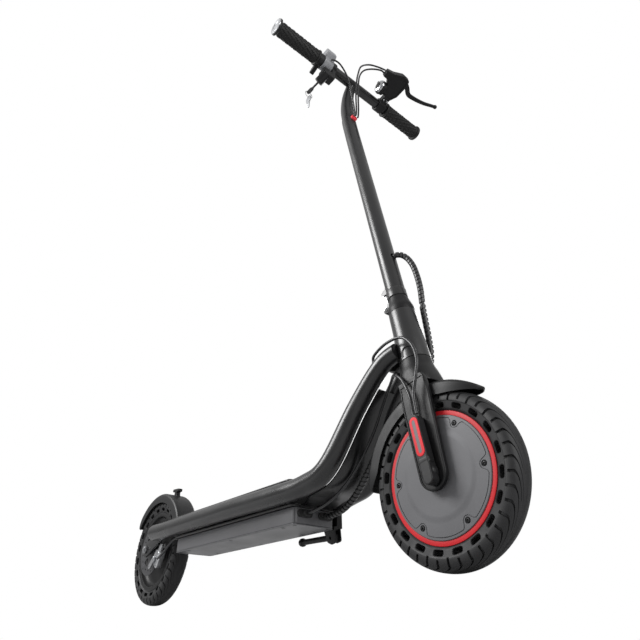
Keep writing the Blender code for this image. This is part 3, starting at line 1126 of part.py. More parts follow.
SOCKET_PLACE = 0.2500
SOCKET_RADIUS = 0.0095


def build_charge_port(box):
    """Charging socket in the left wall of the box and the hinged rubber cap over it."""
    x = SOCKET_PLACE - WHEELBASE / 2
    z = (BOX_BOTTOM + BOX_TOP) / 2
    place = Matrix.Translation((x, 0.0, z)) @ ALONG_Y
    ring = lathe([(SOCKET_RADIUS, BOX_HALF_WIDTH - 0.004), (SOCKET_RADIUS, BOX_HALF_WIDTH + 0.0020),
                  (SOCKET_RADIUS - 0.003, BOX_HALF_WIDTH + 0.0020), (SOCKET_RADIUS - 0.003, BOX_HALF_WIDTH - 0.004)], 20)
    bore = slab(circle(0.0, 0.0, SOCKET_RADIUS - 0.001, 20), BOX_HALF_WIDTH - 0.01, BOX_HALF_WIDTH + 0.01)
    boolean(box, guide("socket_bore", bore, None, place))
    boolean(box, guide("socket_ring", ring, None, place), "UNION")
    low = BOX_HALF_WIDTH + 0.0020 + CLEARANCE
    cap = turned([(SOCKET_RADIUS + 0.0005, low), (SOCKET_RADIUS + 0.0005, low + 0.0016),
                  (SOCKET_RADIUS - 0.0005, low + 0.0026)], 20)
    cover = node("charge_cap", cap, BLACK_RUBBER, None, place)
    plug = turned([(SOCKET_RADIUS - 0.0040, low - 0.0030), (SOCKET_RADIUS - 0.0040, low + 0.001)], 14)
    boolean(cover, guide("charge_plug", plug, None, place), "UNION")
    tab = slab([(-0.004, -SOCKET_RADIUS - 0.0030), (0.004, -SOCKET_RADIUS - 0.0030), (0.004, 0.0), (-0.004, 0.0)],
               low, low + 0.0016)
    boolean(cover, guide("cap_strap", tab, None, place), "UNION")


def build_kickstand():
    """Bracket under the left tube whose hinge pin leans, so that the leg splays out when it is down."""
    side = fillet([(-0.0150, -0.0180, 0.0), (0.0170, -0.0180, 0.0), (0.0120, 0.0100, 0.005), (0.0, 0.0120, 0.005),
                   (-0.0105, 0.0070, 0.005)], 2)
    bracket = node("kickstand_bracket", slab(side, -0.0086, 0.0086, 0.0008), BLACK_PAINT, STAND, ALONG_Y)
    inner = FLANGE_HALF_WIDTH + 0.0006
    top = DECK_TUBE_HEIGHT - DECK_TUBE_RADIUS - 0.0016
    x = STAND.location.x
    block = slab([(x - 0.0150, inner), (x + 0.0170, inner), (x + 0.0170, inner + 0.0140), (x - 0.0150, inner + 0.0140)],
                 STAND_PIVOT_HEIGHT + 0.0135, top, 0.0008)
    boolean(bracket, guide("bracket_block", block), "UNION")
    room = slab([(-0.060, 0.030), (0.030, 0.030), (0.030, -0.0120), (-0.060, -0.0120)], -0.0060, 0.0060)
    boolean(bracket, guide("leg_room", room, STAND, ALONG_Y))
    pin = slab(circle(0.0, 0.0, 0.0030, 12), -0.0094, 0.0094)
    boolean(bracket, guide("stand_pin", pin, STAND, ALONG_Y), "UNION")


def build_stand_leg():
    """Kickstand leg: eye, round leg and ball foot, folded back along the deck."""
    eye = node("kickstand_leg", slab(circle(0.0, 0.0, STAND_BOSS_RADIUS - 0.001, 16), -0.0056, 0.0056, 0.0006),
               BLACK_PAINT, STAND, ALONG_Y)
    foot = STAND_LENGTH
    leg = turned([(0.0042, 0.002), (STAND_RADIUS, 0.012), (STAND_RADIUS, foot - 0.014), (STAND_FOOT_RADIUS, foot - 0.006),
                  (STAND_FOOT_RADIUS, foot), (STAND_FOOT_RADIUS - 0.003, foot + 0.005)], 12)
    boolean(eye, guide("stand_shank", leg, STAND, Matrix.Rotation(math.radians(-89.0), 4, "Y")), "UNION")
    bore = slab(circle(0.0, 0.0, 0.0030 + CLEARANCE, 12), -0.02, 0.02)
    boolean(eye, guide("leg_bore", bore, STAND, ALONG_Y))


def build_rear_wheel():
    """Tyre, dished rim with its hub, and the brake disc."""
    tyre("rear_tyre", REAR_HUB)
    bore = AXLE_RADIUS + CLEARANCE
    inner = [(0.0850, -RIM_HALF_WIDTH), (0.0740, -0.0035), (0.0300, -0.0005), (HUB_RADIUS, -0.0070),
             (HUB_RADIUS, -HUB_HALF_WIDTH), (bore, -HUB_HALF_WIDTH), (bore, HUB_HALF_WIDTH),
             (HUB_RADIUS, HUB_HALF_WIDTH), (HUB_RADIUS, 0.0085), (0.0740, 0.0045), (0.0850, RIM_HALF_WIDTH)]
    node("rear_rim", lathe(rim_profile(inner), TYRE_STEPS), BLACK_PAINT, REAR_HUB, ALONG_Y)
    high = -HUB_HALF_WIDTH - CLEARANCE
    low = high - DISC_THICKNESS
    disc = node("brake_disc", lathe([(0.0120, low), (DISC_RADIUS, low), (DISC_RADIUS, high), (0.0120, high)], 28),
                STEEL, REAR_HUB, ALONG_Y)
    holes = bmesh.new()
    for k in range(6):
        angle = 2 * math.pi * k / 6
        window = [tuple(Matrix.Rotation(angle, 2) @ Vector(point)) for point in
                  ((0.0220, -0.0045), (0.0385, -0.0120), (0.0385, 0.0120), (0.0220, 0.0045))]
        slab(window, low - 0.003, high + 0.003, bm=holes)
    boolean(disc, guide("disc_windows", holes, REAR_HUB, ALONG_Y))


def build_rear_axle():
    """Rear axle with its spacers and nuts either side of the dropouts."""
    inner_face = HUB_HALF_WIDTH + DISC_THICKNESS + 3 * CLEARANCE
    spacer = 0.0100
    nut = 0.0105
    half = [(AXLE_RADIUS, inner_face), (spacer, inner_face), (spacer, DROPOUT_INSIDE - CLEARANCE),
            (AXLE_RADIUS, DROPOUT_INSIDE - CLEARANCE), (AXLE_RADIUS, DROPOUT_OUTSIDE + CLEARANCE),
            (nut, DROPOUT_OUTSIDE + CLEARANCE), (nut, DROPOUT_OUTSIDE + 0.0055), (AXLE_RADIUS, DROPOUT_OUTSIDE + 0.0055),
            (AXLE_RADIUS, REAR_AXLE_HALF_LENGTH - 0.001), (AXLE_RADIUS - 0.001, REAR_AXLE_HALF_LENGTH)]
    left = [(r, h) for r, h in half]
    right = [(r, -h) for r, h in reversed(half)]
    left[0] = (AXLE_RADIUS, HUB_HALF_WIDTH + CLEARANCE)
    left[1] = (spacer, HUB_HALF_WIDTH + CLEARANCE)
    node("rear_axle", turned(right + left, 10), STEEL, REAR_HUB, ALONG_Y)


CALIPER_HALF_LENGTH = 0.0210
CALIPER_LOW = -0.0360
CALIPER_HIGH = -0.0205
ARM_LOW = -0.0412
ARM_HIGH = -0.0366


def caliper_frame():
    """Frame at the caliper: X outwards from the axle, Y along the disc's edge, Z towards the left."""
    centre = Vector((CALIPER_RADIUS * math.cos(CALIPER_ANGLE), 0.0, CALIPER_RADIUS * math.sin(CALIPER_ANGLE)))
    out = centre.normalized()
    side = Vector((0.0, 1.0, 0.0))
    along = side.cross(out)
    return Matrix.Translation(centre) @ Matrix((out, along, side)).transposed().to_4x4()


def build_caliper():
    """Mechanical caliper that straddles the disc, its cable stop, its lug and the actuating arm."""
    place = caliper_frame()
    half = CALIPER_HALF_LENGTH
    outline = fillet([(-0.0150, -half + 0.004, 0.005), (0.0180, -half, 0.005), (0.0180, half, 0.005),
                      (-0.0150, half - 0.004, 0.005)], 3)
    body = node("brake_caliper", slab(outline, CALIPER_LOW, CALIPER_HIGH, 0.0014), SILVER, REAR_HUB, place)
    disc_high = -HUB_HALF_WIDTH - CLEARANCE
    disc_low = disc_high - DISC_THICKNESS
    reach = DISC_RADIUS - CALIPER_RADIUS + 0.0020
    slot = slab([(-0.04, -0.04), (reach, -0.04), (reach, 0.04), (-0.04, 0.04)], disc_low - CLEARANCE, disc_high + CLEARANCE)
    boolean(body, guide("disc_slot", slot, REAR_HUB, place))
    lug = fillet([(0.0100, -half + 0.002, 0.0), (0.0165, -half + 0.002, 0.0), (0.0165, -half - 0.016, 0.002),
                  (0.0040, -half - 0.016, 0.002), (0.0040, -half + 0.002, 0.0)], 2)
    boolean(body, guide("caliper_lug", slab(lug, -0.0376, -0.0310), REAR_HUB, place), "UNION")
    pivot = slab(circle(-0.0030, 0.0040, 0.0030, 12), ARM_LOW, CALIPER_LOW + 0.002)
    boolean(body, guide("arm_pivot", pivot, REAR_HUB, place), "UNION")
    arm = node("caliper_arm", slab(stadium((-0.0030, 0.0040), (-0.0110, 0.0260), 0.0058, 6), ARM_LOW, ARM_HIGH, 0.0006),
               SILVER, REAR_HUB, place)
    bore = slab(circle(-0.0030, 0.0040, 0.0030 + CLEARANCE, 12), ARM_LOW - 0.01, ARM_HIGH + 0.01)
    boolean(arm, guide("arm_bore", bore, REAR_HUB, place))


def rear_points(*places):
    """Route points given from the rear axle."""
    return [from_rear(x, y, z) for x, y, z in places]


def front_points(*places):
    """Route points given from the front axle."""
    return [from_front(x, y, z) for x, y, z in places]


def build_cords():
    """Control cables, the brake cable, the motor cables and the ribbed loom."""
    cord("rear_brake_cable", rear_points((0.1777, -0.0440, 0.1335), (0.1600, -0.0450, 0.1325), (0.1400, -0.0462, 0.1230),
                                         (0.1200, -0.0462, 0.1120), (0.0980, -0.0455, 0.1040),
                                         (0.0800, -0.0440, 0.0985)), CABLE_RADIUS)
    cord("fork_cable", front_points((-0.1040, -0.0315, 0.3345), (-0.1040, -0.0315, 0.3445), (-0.0985, -0.0335, 0.3550),
                                    (-0.0660, -0.0385, 0.3625), (-0.0300, -0.0410, 0.3590), (-0.0060, -0.0430, 0.3360),
                                    (0.0030, -0.0440, 0.3050), (-0.0010, -0.0450, 0.2800), (-0.0090, -0.0455, 0.2500),
                                    (-0.0085, -0.0455, 0.2300), (-0.0072, -0.0455, 0.2155)), CABLE_RADIUS, 2.0)
    cord("motor_cable", front_points((-0.0160, -0.0420, 0.2140), (-0.0175, -0.0420, 0.2250), (-0.0200, -0.0430, 0.2500),
                                     (-0.0330, -0.0420, 0.2810), (-0.0500, -0.0370, 0.2970), (-0.0660, -0.0250, 0.3055),
                                     (-0.0840, -0.0110, 0.3050), (-0.1030, -0.0030, 0.2920), (-0.1190, -0.0040, 0.2640),
                                     (-0.1400, -0.0055, 0.2280), (-0.1760, -0.0085, 0.1830), (-0.2120, -0.0130, 0.1500),
                                     (-0.2480, -0.0185, 0.1300), (-0.2800, -0.0230, 0.1215),
                                     (-0.2952, -0.0240, 0.1205)), CABLE_RADIUS)
    cord("upper_loom", front_points((-0.0618, 0.0000, 0.5705), (-0.0555, 0.0016, 0.5710), (-0.0465, 0.0070, 0.5680),
                                    (-0.0370, 0.0125, 0.5560), (-0.0280, 0.0150, 0.5340), (-0.0220, 0.0160, 0.5050),
                                    (-0.0190, 0.0165, 0.4760), (-0.0200, 0.0180, 0.4460)), LOOM_RADIUS, 1.2, LOOM_RIB)
    cord("lower_loom", front_points((-0.0200, 0.0181, 0.4456), (-0.0203, 0.0186, 0.4350), (-0.0225, 0.0240, 0.4120),
                                    (-0.0260, 0.0320, 0.3820), (-0.0300, 0.0375, 0.3500), (-0.0400, 0.0375, 0.3200),
                                    (-0.0580, 0.0300, 0.2970), (-0.0800, 0.0180, 0.2800), (-0.1010, 0.0110, 0.2560),
                                    (-0.1340, 0.0100, 0.2180), (-0.1720, 0.0125, 0.1780), (-0.2080, 0.0165, 0.1460),
                                    (-0.2440, 0.0215, 0.1280), (-0.2780, 0.0238, 0.1210),
                                    (-0.2952, 0.0240, 0.1205)), LOOM_RADIUS, 1.3, LOOM_RIB)
    cord("throttle_cable", front_points((-0.1278, -0.0930, 1.2080), (-0.1235, -0.0850, 1.2078), (-0.1195, -0.0740, 1.2020),
                                        (-0.1180, -0.0620, 1.1900), (-0.1200, -0.0450, 1.1700), (-0.1285, -0.0260, 1.1340),
                                        (-0.1345, -0.0130, 1.1000), (-0.1396, -0.0060, 1.0757),
                                        (-0.1424, -0.0052, 1.0748)), CONTROL_CABLE_RADIUS)
    cord("brake_control_cable", front_points((-0.0672, 0.0470, 1.2270), (-0.0760, 0.0280, 1.2330),
                                             (-0.0900, 0.0080, 1.2400), (-0.1040, -0.0080, 1.2330),
                                             (-0.1140, -0.0110, 1.2100), (-0.1220, -0.0100, 1.1860),
                                             (-0.1320, -0.0055, 1.1440), (-0.1376, -0.0010, 1.1010),
                                             (-0.1404, 0.0000, 1.0802), (-0.1432, 0.0000, 1.0792)),
         CONTROL_CABLE_RADIUS)
    cord("brake_switch_cable", front_points((-0.0745, 0.0474, 1.2262), (-0.0790, 0.0390, 1.2340), (-0.0960, 0.0250, 1.2460),
                                            (-0.1110, 0.0110, 1.2440), (-0.1190, 0.0020, 1.2240),
                                            (-0.1240, -0.0005, 1.1960), (-0.1305, 0.0015, 1.1480),
                                            (-0.1360, 0.0050, 1.1000), (-0.1396, 0.0058, 1.0757),
                                            (-0.1424, 0.0052, 1.0748)), CONTROL_CABLE_RADIUS)


build_front_wheel()
build_motor_core()
build_fork()
build_fork_covers()
build_fenders()
build_frame_tubes()
build_head()
build_fold_base()
build_stem()
build_fold_lever()
build_handlebar()
build_brake_lever()
build_bell()
build_throttle()
build_spare_key(build_lock())
box_object, box_front = build_deck()
build_gland(box_front)
build_charge_port(box_object)
build_kickstand()
build_stand_leg()
build_rear_wheel()
build_rear_axle()
build_caliper()
build_cords()
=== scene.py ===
"""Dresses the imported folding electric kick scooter: meshes, finishes, studio and camera.

Metres, +X forward, +Y to the rider's left, +Z up. The pieces that turn with the handlebar are
drawn in the steering frame, which stands at the front axle with its Z along the raked steering
axis, and each piece is then moved to its place in its own mesh.
"""
import json
import logging
from collections.abc import Sequence
from dataclasses import dataclass, field
from enum import Enum
from math import atan2, copysign, cos, pi, radians, sin, sqrt, tan, tau

import bmesh
import bpy
from bpy.types import Material, Mesh, Node, NodeSocket, NodeTree, Object
from mathutils import Matrix, Vector


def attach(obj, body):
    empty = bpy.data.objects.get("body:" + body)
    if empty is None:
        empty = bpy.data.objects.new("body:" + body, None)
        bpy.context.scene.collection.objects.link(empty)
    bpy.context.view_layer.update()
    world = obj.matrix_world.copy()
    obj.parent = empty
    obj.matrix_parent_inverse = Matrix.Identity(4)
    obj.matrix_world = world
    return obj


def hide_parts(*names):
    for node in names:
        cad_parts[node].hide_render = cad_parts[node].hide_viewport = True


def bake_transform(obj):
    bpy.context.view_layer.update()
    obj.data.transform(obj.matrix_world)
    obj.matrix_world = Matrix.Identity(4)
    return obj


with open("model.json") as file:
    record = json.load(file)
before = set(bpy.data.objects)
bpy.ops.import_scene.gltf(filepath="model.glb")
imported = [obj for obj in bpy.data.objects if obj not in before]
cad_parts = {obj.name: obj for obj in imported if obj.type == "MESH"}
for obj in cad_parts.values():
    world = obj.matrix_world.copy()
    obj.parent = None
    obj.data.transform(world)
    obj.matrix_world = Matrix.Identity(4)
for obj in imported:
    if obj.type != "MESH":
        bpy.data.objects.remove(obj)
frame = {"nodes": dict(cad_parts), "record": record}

LOG = logging.getLogger("scooter")

Outline = list[tuple[float, float]]
Corner = tuple[float, float, float]
Ring = list[Vector]

WHEELBASE = 0.946
AXLE_HEIGHT = 0.127
RAKE = radians(10.1)
BAR_FORWARD = 0.043
BAR_HEIGHT = 1.0944
LEVER_TILT = radians(-10.0)
GAP = 0.0003
HEXAGON_STEPS = 24

ALONG_Y = Matrix.Rotation(radians(-90.0), 4, "X")
FRONT_HUB = Matrix.Translation((WHEELBASE / 2, 0.0, AXLE_HEIGHT))
REAR_HUB = Matrix.Translation((-WHEELBASE / 2, 0.0, AXLE_HEIGHT))
STEERING = FRONT_HUB @ Matrix.Rotation(-RAKE, 4, "Y")
BAR = Matrix.Translation(STEERING @ Vector((BAR_FORWARD, 0, BAR_HEIGHT)))
LEVER = BAR @ Matrix.Rotation(LEVER_TILT, 4, "Y")


class Body(Enum):
    """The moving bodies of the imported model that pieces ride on."""

    FRAME = "frame"
    STEERING = "steering"
    STEM = "stem"
    FRONT_WHEEL = "front_wheel"
    REAR_WHEEL = "rear_wheel"
    FOLD_LEVER = "fold_lever"
    BRAKE_LEVER = "brake_lever"
    CALIPER_ARM = "caliper_arm"
    THROTTLE = "throttle_paddle"
    BELL = "bell_striker"
    KEY = "ignition_key"
    SPARE_KEY = "spare_key"
    STAND = "kickstand_leg"
    CHARGE_CAP = "charge_cap"


class Side(Enum):
    """Left and right of the rider, with the sign of Y on that side."""

    LEFT = 1.0
    RIGHT = -1.0

    @property
    def word(self) -> str:
        """The side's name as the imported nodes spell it."""
        return self.name.lower()


# Places and outlines. An outline is a closed row of (x, y) points.


def at(x: float, y: float, z: float) -> Matrix:
    """Place moved by x, y and z."""
    return Matrix.Translation((x, y, z))


def turned(angle: float, axis: str) -> Matrix:
    """Place turned by an angle about its own X, Y or Z."""
    return Matrix.Rotation(angle, 4, axis)


def mm(*points: Sequence[float]) -> list[tuple[float, ...]]:
    """Points given in millimetres, in metres."""
    return [tuple(value / 1000 for value in point) for point in points]


def rounded(corners: Sequence[Corner], steps: int = 6) -> Outline:
    """Outline through corners, each rounded by an arc of its own radius.

    Args:
        corners: (x, y, radius) of each corner in order.
        steps: Straight pieces in each arc.

    Returns:
        The outline's points.
    """
    points: Outline = []
    for i, (x, y, radius) in enumerate(corners):
        here = Vector((x, y))
        before = (Vector(corners[i - 1][:2]) - here).normalized()
        after = (Vector(corners[(i + 1) % len(corners)][:2]) - here).normalized()
        half = before.angle(after) / 2
        if radius <= 0 or half > radians(88):
            points.append((x, y))
            continue
        centre = here + (before + after).normalized() * (radius / sin(half))
        start = here + before * (radius / tan(half)) - centre
        end = here + after * (radius / tan(half)) - centre
        turn = atan2(start.x * end.y - start.y * end.x, start.dot(end))
        for k in range(steps + 1):
            spot = start.copy()
            spot.rotate(Matrix.Rotation(turn * k / steps, 2))
            points.append(tuple(centre + spot))
    return points


def circle(x: float, y: float, radius: float, steps: int = 48) -> Outline:
    """Outline of a circle."""
    return [(x + radius * cos(tau * i / steps), y + radius * sin(tau * i / steps)) for i in range(steps)]


def stadium(low: Sequence[float], high: Sequence[float], half: float, steps: int = 14) -> Outline:
    """Outline of a slot with round ends.

    Args:
        low: Centre of the first round end.
        high: Centre of the second round end.
        half: Half of the slot's width.
        steps: Straight pieces in each end.

    Returns:
        The outline's points.
    """
    angle = atan2(high[1] - low[1], high[0] - low[0])
    points: Outline = []
    for centre, begin in ((high, angle - pi / 2), (low, angle + pi / 2)):
        for k in range(steps + 1):
            turn = begin + pi * k / steps
            points.append((centre[0] + half * cos(turn), centre[1] + half * sin(turn)))
    return points


def inset(outline: Outline, amount: float) -> Outline:
    """The outline moved inwards by the amount, with mitred corners.

    Args:
        outline: The outline to shrink or, with an amount below 0, to grow.
        amount: How far its edges move.

    Returns:
        The moved outline.
    """
    area = sum(a[0] * b[1] - b[0] * a[1] for a, b in zip(outline, outline[1:] + outline[:1]))
    side = 1.0 if area > 0 else -1.0
    moved: Outline = []
    for i, point in enumerate(outline):
        here = Vector(point)
        before = (here - Vector(outline[i - 1])).normalized()
        after = (Vector(outline[(i + 1) % len(outline)]) - here).normalized()
        normal = Vector((-before.y - after.y, before.x + after.x)).normalized() * side
        share = max(0.5, normal.dot(Vector((-after.y, after.x)) * side))
        moved.append(tuple(here + normal * amount / share))
    return moved


def mirrored(outline: Outline) -> Outline:
    """The outline with its second coordinate turned round, for a plate drawn as (forward, up)."""
    return [(x, -y) for x, y in outline]


def curve_through(knots: Sequence[Sequence[float]], spans: int) -> list[Vector]:
    """Points along a Catmull-Rom curve through the knots.

    Args:
        knots: The points to pass through.
        spans: Pieces between two knots.

    Returns:
        The points, both ends included.
    """
    marks = [Vector(knot) for knot in knots]
    ends = [marks[0] * 2 - marks[1]] + marks + [marks[-1] * 2 - marks[-2]]
    points: list[Vector] = []
    for i in range(1, len(ends) - 2):
        p0, p1, p2, p3 = ends[i - 1:i + 3]
        for k in range(spans):
            t = k / spans
            points.append(0.5 * (2 * p1 + (p2 - p0) * t + (2 * p0 - 5 * p1 + 4 * p2 - p3) * t ** 2
                + (3 * p1 - p0 - 3 * p2 + p3) * t ** 3))
    points.append(marks[-1])
    return points


def oval_ring(height: float, front: float, side: float, back: float, power: float = 2.0,
        steps: int = 72) -> Ring:
    """Rounded ring at a height, from its reach forward, sideways and back.

    Args:
        height: Height of the ring.
        front: Reach forward.
        side: Reach to either side.
        back: Reach back.
        power: 2 for an ellipse, more for a squarer section.
        steps: Points in the ring.

    Returns:
        The ring's points.
    """
    points = []
    for i in range(steps):
        c, s = cos(tau * i / steps), sin(tau * i / steps)
        reach = front if c > 0 else back
        points.append(Vector((copysign(abs(c) ** (2 / power) * reach, c),
            copysign(abs(s) ** (2 / power) * side, s), height)))
    return points


def both_halves(half: Sequence[Corner], flip: tuple[int, int] = (1, -1)) -> list[Corner]:
    """Corners of one half of an outline and of its mirror image, flipped in Y, or in X by (-1, 1)."""
    return [*half, *[(x * flip[0], y * flip[1], radius) for x, y, radius in reversed(half)]]


def flank(base: Matrix, side: Side) -> Matrix:
    """Place whose Z runs outwards on one side, for plates drawn as (forward, down)."""
    return base @ ALONG_Y @ Matrix.Diagonal((1.0, 1.0, side.value, 1.0))


def facing_front(height: float) -> Matrix:
    """Place on the steering axis whose Z points forward."""
    return STEERING @ at(0, 0, height) @ turned(pi / 2, "Y")


# Skins: points and faces that become meshes.


@dataclass
class Skin:
    """Vertices and faces that are put together before they become a piece."""

    points: list[Vector] = field(default_factory=list)
    faces: list[Sequence[int]] = field(default_factory=list)

    def add(self, other: "Skin", place: Matrix | None = None) -> "Skin":
        """Takes in another skin, moved to its place.

        Args:
            other: The skin to take in.
            place: Where it goes, or None to leave it.

        Returns:
            This skin.
        """
        start = len(self.points)
        self.points += [place @ p for p in other.points] if place else [p.copy() for p in other.points]
        self.faces += [[start + i for i in face] for face in other.faces]
        return self

    def moved(self, place: Matrix) -> "Skin":
        """A copy of this skin at another place."""
        return Skin().add(self, place)


def loft(rings: Sequence[Sequence[Sequence[float]]], loop: bool = False) -> Skin:
    """Skin over a row of equal rings.

    Args:
        rings: Rings of the same number of points.
        loop: True joins the last ring to the first, False caps both ends.

    Returns:
        The closed skin.
    """
    count = len(rings[0])
    skin = Skin([Vector(point) for ring in rings for point in ring])
    pairs = len(rings) if loop else len(rings) - 1
    for r in range(pairs):
        low = r * count
        high = ((r + 1) % len(rings)) * count
        for i in range(count):
            j = (i + 1) % count
            skin.faces.append((low + i, low + j, high + j, high + i))
    if not loop:
        skin.faces.append(tuple(reversed(range(count))))
        skin.faces.append(tuple(range((len(rings) - 1) * count, len(rings) * count)))
    return skin


def lathe(profile: Outline, steps: int = 96) -> Skin:
    """Closed (radius, height) profile turned about Z."""
    turns = [tau * i / steps for i in range(steps)]
    return loft([[(r * cos(a), r * sin(a), h) for r, h in profile] for a in turns], loop=True)


def spun(profile: Outline, steps: int = 48) -> Skin:
    """Open (radius, height) profile turned about Z, with a flat cap at each end."""
    turns = [tau * i / steps for i in range(steps)]
    return loft([[(r * cos(a), r * sin(a), h) for a in turns] for r, h in profile])


def plate(outline: Outline, low: float, high: float, edge: float = 0.0, steps: int = 4) -> Skin:
    """Outline extruded along Z with rims rounded to a radius.

    Args:
        outline: The plate's outline.
        low: Height of its lower face.
        high: Height of its upper face.
        edge: Radius of the rims.
        steps: Straight pieces in a rim's arc.

    Returns:
        The closed skin.
    """
    if edge <= 0:
        return loft([[(x, y, h) for x, y in outline] for h in (low, high)])
    edge = min(edge, (high - low) * 0.499)
    layers = []
    for k in range(steps + 1):
        angle = pi / 2 * k / steps
        layers.append((edge * (1 - sin(angle)), low + edge * (1 - cos(angle))))
    layers += [(share, low + high - height) for share, height in reversed(layers)]
    rings = []
    for share, height in layers:
        shape = inset(outline, share) if share > 1e-7 else outline
        rings.append([(x, y, height) for x, y in shape])
    return loft(rings)


def disc(radius: float, low: float, high: float, edge: float = 0.0, x: float = 0.0, y: float = 0.0,
        steps: int = 48) -> Skin:
    """Round plate or pin along Z, with rims rounded as on any plate."""
    return plate(circle(x, y, radius, steps), low, high, edge)


def frames_along(path: Sequence[Vector]) -> list[tuple[Vector, Vector, Vector]]:
    """Side, up and ahead directions at each point of a path, with no twist between them.

    Args:
        path: Points of the path.

    Returns:
        (side, up, ahead) at each point.
    """
    frames = []
    side = None
    for i in range(len(path)):
        ahead = (path[min(i + 1, len(path) - 1)] - path[max(i - 1, 0)]).normalized()
        if side is None:
            side = Vector((0, 1.0, 0))
            if abs(ahead.y) > 0.9:
                side = Vector((1.0, 0, 0))
        side = (side - ahead * side.dot(ahead)).normalized()
        frames.append((side, ahead.cross(side).normalized(), ahead))
    return frames


def sweep(path: Sequence[Vector], radius: float | Sequence[float], sides: int = 16,
        flat: float = 1.0) -> Skin:
    """Round or oval tube along a path, capped at both ends.

    Args:
        path: Centres along the tube.
        radius: One radius, or one for each centre.
        sides: Points round the tube.
        flat: Size across the up direction as a share of the size across the side direction.

    Returns:
        The closed skin.
    """
    radii = [radius] * len(path) if isinstance(radius, float) else radius
    rings = []
    for centre, size, (side, up, _) in zip(path, radii, frames_along(path)):
        rings.append([centre + size * (cos(tau * k / sides) * side + flat * sin(tau * k / sides) * up)
            for k in range(sides)])
    return loft(rings)


def build_mesh(name: str, skin: Skin, place: Matrix | None = None, sharp: float = 34.0) -> Object:
    """Object whose mesh holds the skin at its place, smooth with sharp edges marked.

    Args:
        name: The object's name.
        skin: What it is made of.
        place: Where the skin goes, or None to leave it.
        sharp: Angle in degrees from which an edge is sharp.

    Returns:
        The linked object, at the origin.
    """
    source = skin.moved(place) if place else skin
    mesh = bpy.data.meshes.new(name)
    mesh.from_pydata([tuple(p) for p in source.points], [], [tuple(f) for f in source.faces])
    tidy_mesh(mesh, sharp)
    item = bpy.data.objects.new(name, mesh)
    bpy.context.scene.collection.objects.link(item)
    return item


def tidy_mesh(mesh: Mesh, sharp: float) -> None:
    """Merges doubles, turns the faces outwards and sets the shading of a mesh.

    Args:
        mesh: The mesh to tidy.
        sharp: Angle in degrees from which an edge is sharp.
    """
    work = bmesh.new()
    work.from_mesh(mesh)
    bmesh.ops.remove_doubles(work, verts=work.verts, dist=2e-6)
    bmesh.ops.recalc_face_normals(work, faces=work.faces)
    work.to_mesh(mesh)
    work.free()
    mesh.shade_smooth()
    mesh.set_sharp_from_angle(angle=radians(sharp))


def bake(item: Object, sharp: float | None = 34.0) -> Object:
    """Turns an object's modifiers into plain mesh and removes them.

    Args:
        item: The object to bake.
        sharp: Angle of sharp edges in degrees, or None to keep the shading.

    Returns:
        The same object.
    """
    bpy.context.view_layer.update()
    evaluated = item.evaluated_get(bpy.context.evaluated_depsgraph_get())
    mesh = bpy.data.meshes.new_from_object(evaluated)
    item.modifiers.clear()
    item.data = mesh
    if sharp is not None:
        tidy_mesh(mesh, sharp)
    return item


class Cut(Enum):
    """What a shaping tool does to a piece."""

    AWAY = "DIFFERENCE"
    JOIN = "UNION"


def shape_with(item: Object, tool: Skin, change: Cut, place: Matrix | None = None,
        solver: str = "EXACT") -> Object:
    """Joins a skin to an object or cuts it away.

    Args:
        item: The object to shape.
        tool: The skin that shapes it.
        change: Whether the tool joins or cuts.
        place: Where the tool goes, or None to leave it.
        solver: The Boolean solver, "MANIFOLD" where the exact one loses the shape.

    Returns:
        The same object with a plain mesh.
    """
    helper = build_mesh(item.name + "_tool", tool, place)
    modifier = item.modifiers.new("shape", "BOOLEAN")
    modifier.object = helper
    modifier.operation = change.value
    modifier.solver = solver
    bake(item)
    bpy.data.objects.remove(helper, do_unlink=True)
    return item


def cut(item: Object, tool: Skin, place: Matrix | None = None, solver: str = "EXACT") -> Object:
    """Cuts a skin away from an object."""
    return shape_with(item, tool, Cut.AWAY, place, solver)


def join(item: Object, tool: Skin, place: Matrix | None = None) -> Object:
    """Joins a skin to an object."""
    return shape_with(item, tool, Cut.JOIN, place)


def cast_together(item: Object, cell: float, rounds: int, keep: float = 1.0) -> Object:
    """Melts an object's crossing shells into one casting with soft fillets.

    Args:
        item: The object whose shells cross.
        cell: Size of the remeshing cell.
        rounds: Smoothing rounds that draw the fillets.
        keep: Share of the faces kept afterwards.

    Returns:
        The same object with a plain mesh.
    """
    melt = item.modifiers.new("melt", "REMESH")
    melt.mode = "VOXEL"
    melt.voxel_size = cell
    melt.adaptivity = 0.0
    soften = item.modifiers.new("soften", "SMOOTH")
    soften.factor = 0.5
    soften.iterations = rounds
    if keep < 1.0:
        thin = item.modifiers.new("thin", "DECIMATE")
        thin.ratio = keep
    return bake(item, 50.0)


# Finishes: procedural materials.


def linear(colour: str) -> tuple[float, float, float, float]:
    """Scene-linear RGBA of an sRGB hex colour such as "#1a1a1b".

    Args:
        colour: The hex colour.

    Returns:
        Its linear channels and an alpha of 1.
    """
    channels = [int(colour[i:i + 2], 16) / 255 for i in (1, 3, 5)]
    red, green, blue = [c / 12.92 if c <= 0.04045 else ((c + 0.055) / 1.055) ** 2.4 for c in channels]
    return red, green, blue, 1.0


def add_node(tree: NodeTree, kind: str, inputs: dict | None = None, **settings: str | bool) -> Node:
    """Adds a node with its settings and links.

    Args:
        tree: The tree that gets the node.
        kind: The node's type name.
        inputs: By input name or number: a value, an output socket, or a node for its first output.
        settings: Properties of the node by name.

    Returns:
        The new node.
    """
    node = tree.nodes.new(kind)
    for name, value in settings.items():
        setattr(node, name, value)
    for name, value in (inputs or {}).items():
        value = value.outputs[0] if isinstance(value, Node) else value
        if isinstance(value, NodeSocket):
            tree.links.new(value, node.inputs[name])
        else:
            node.inputs[name].default_value = value
    return node


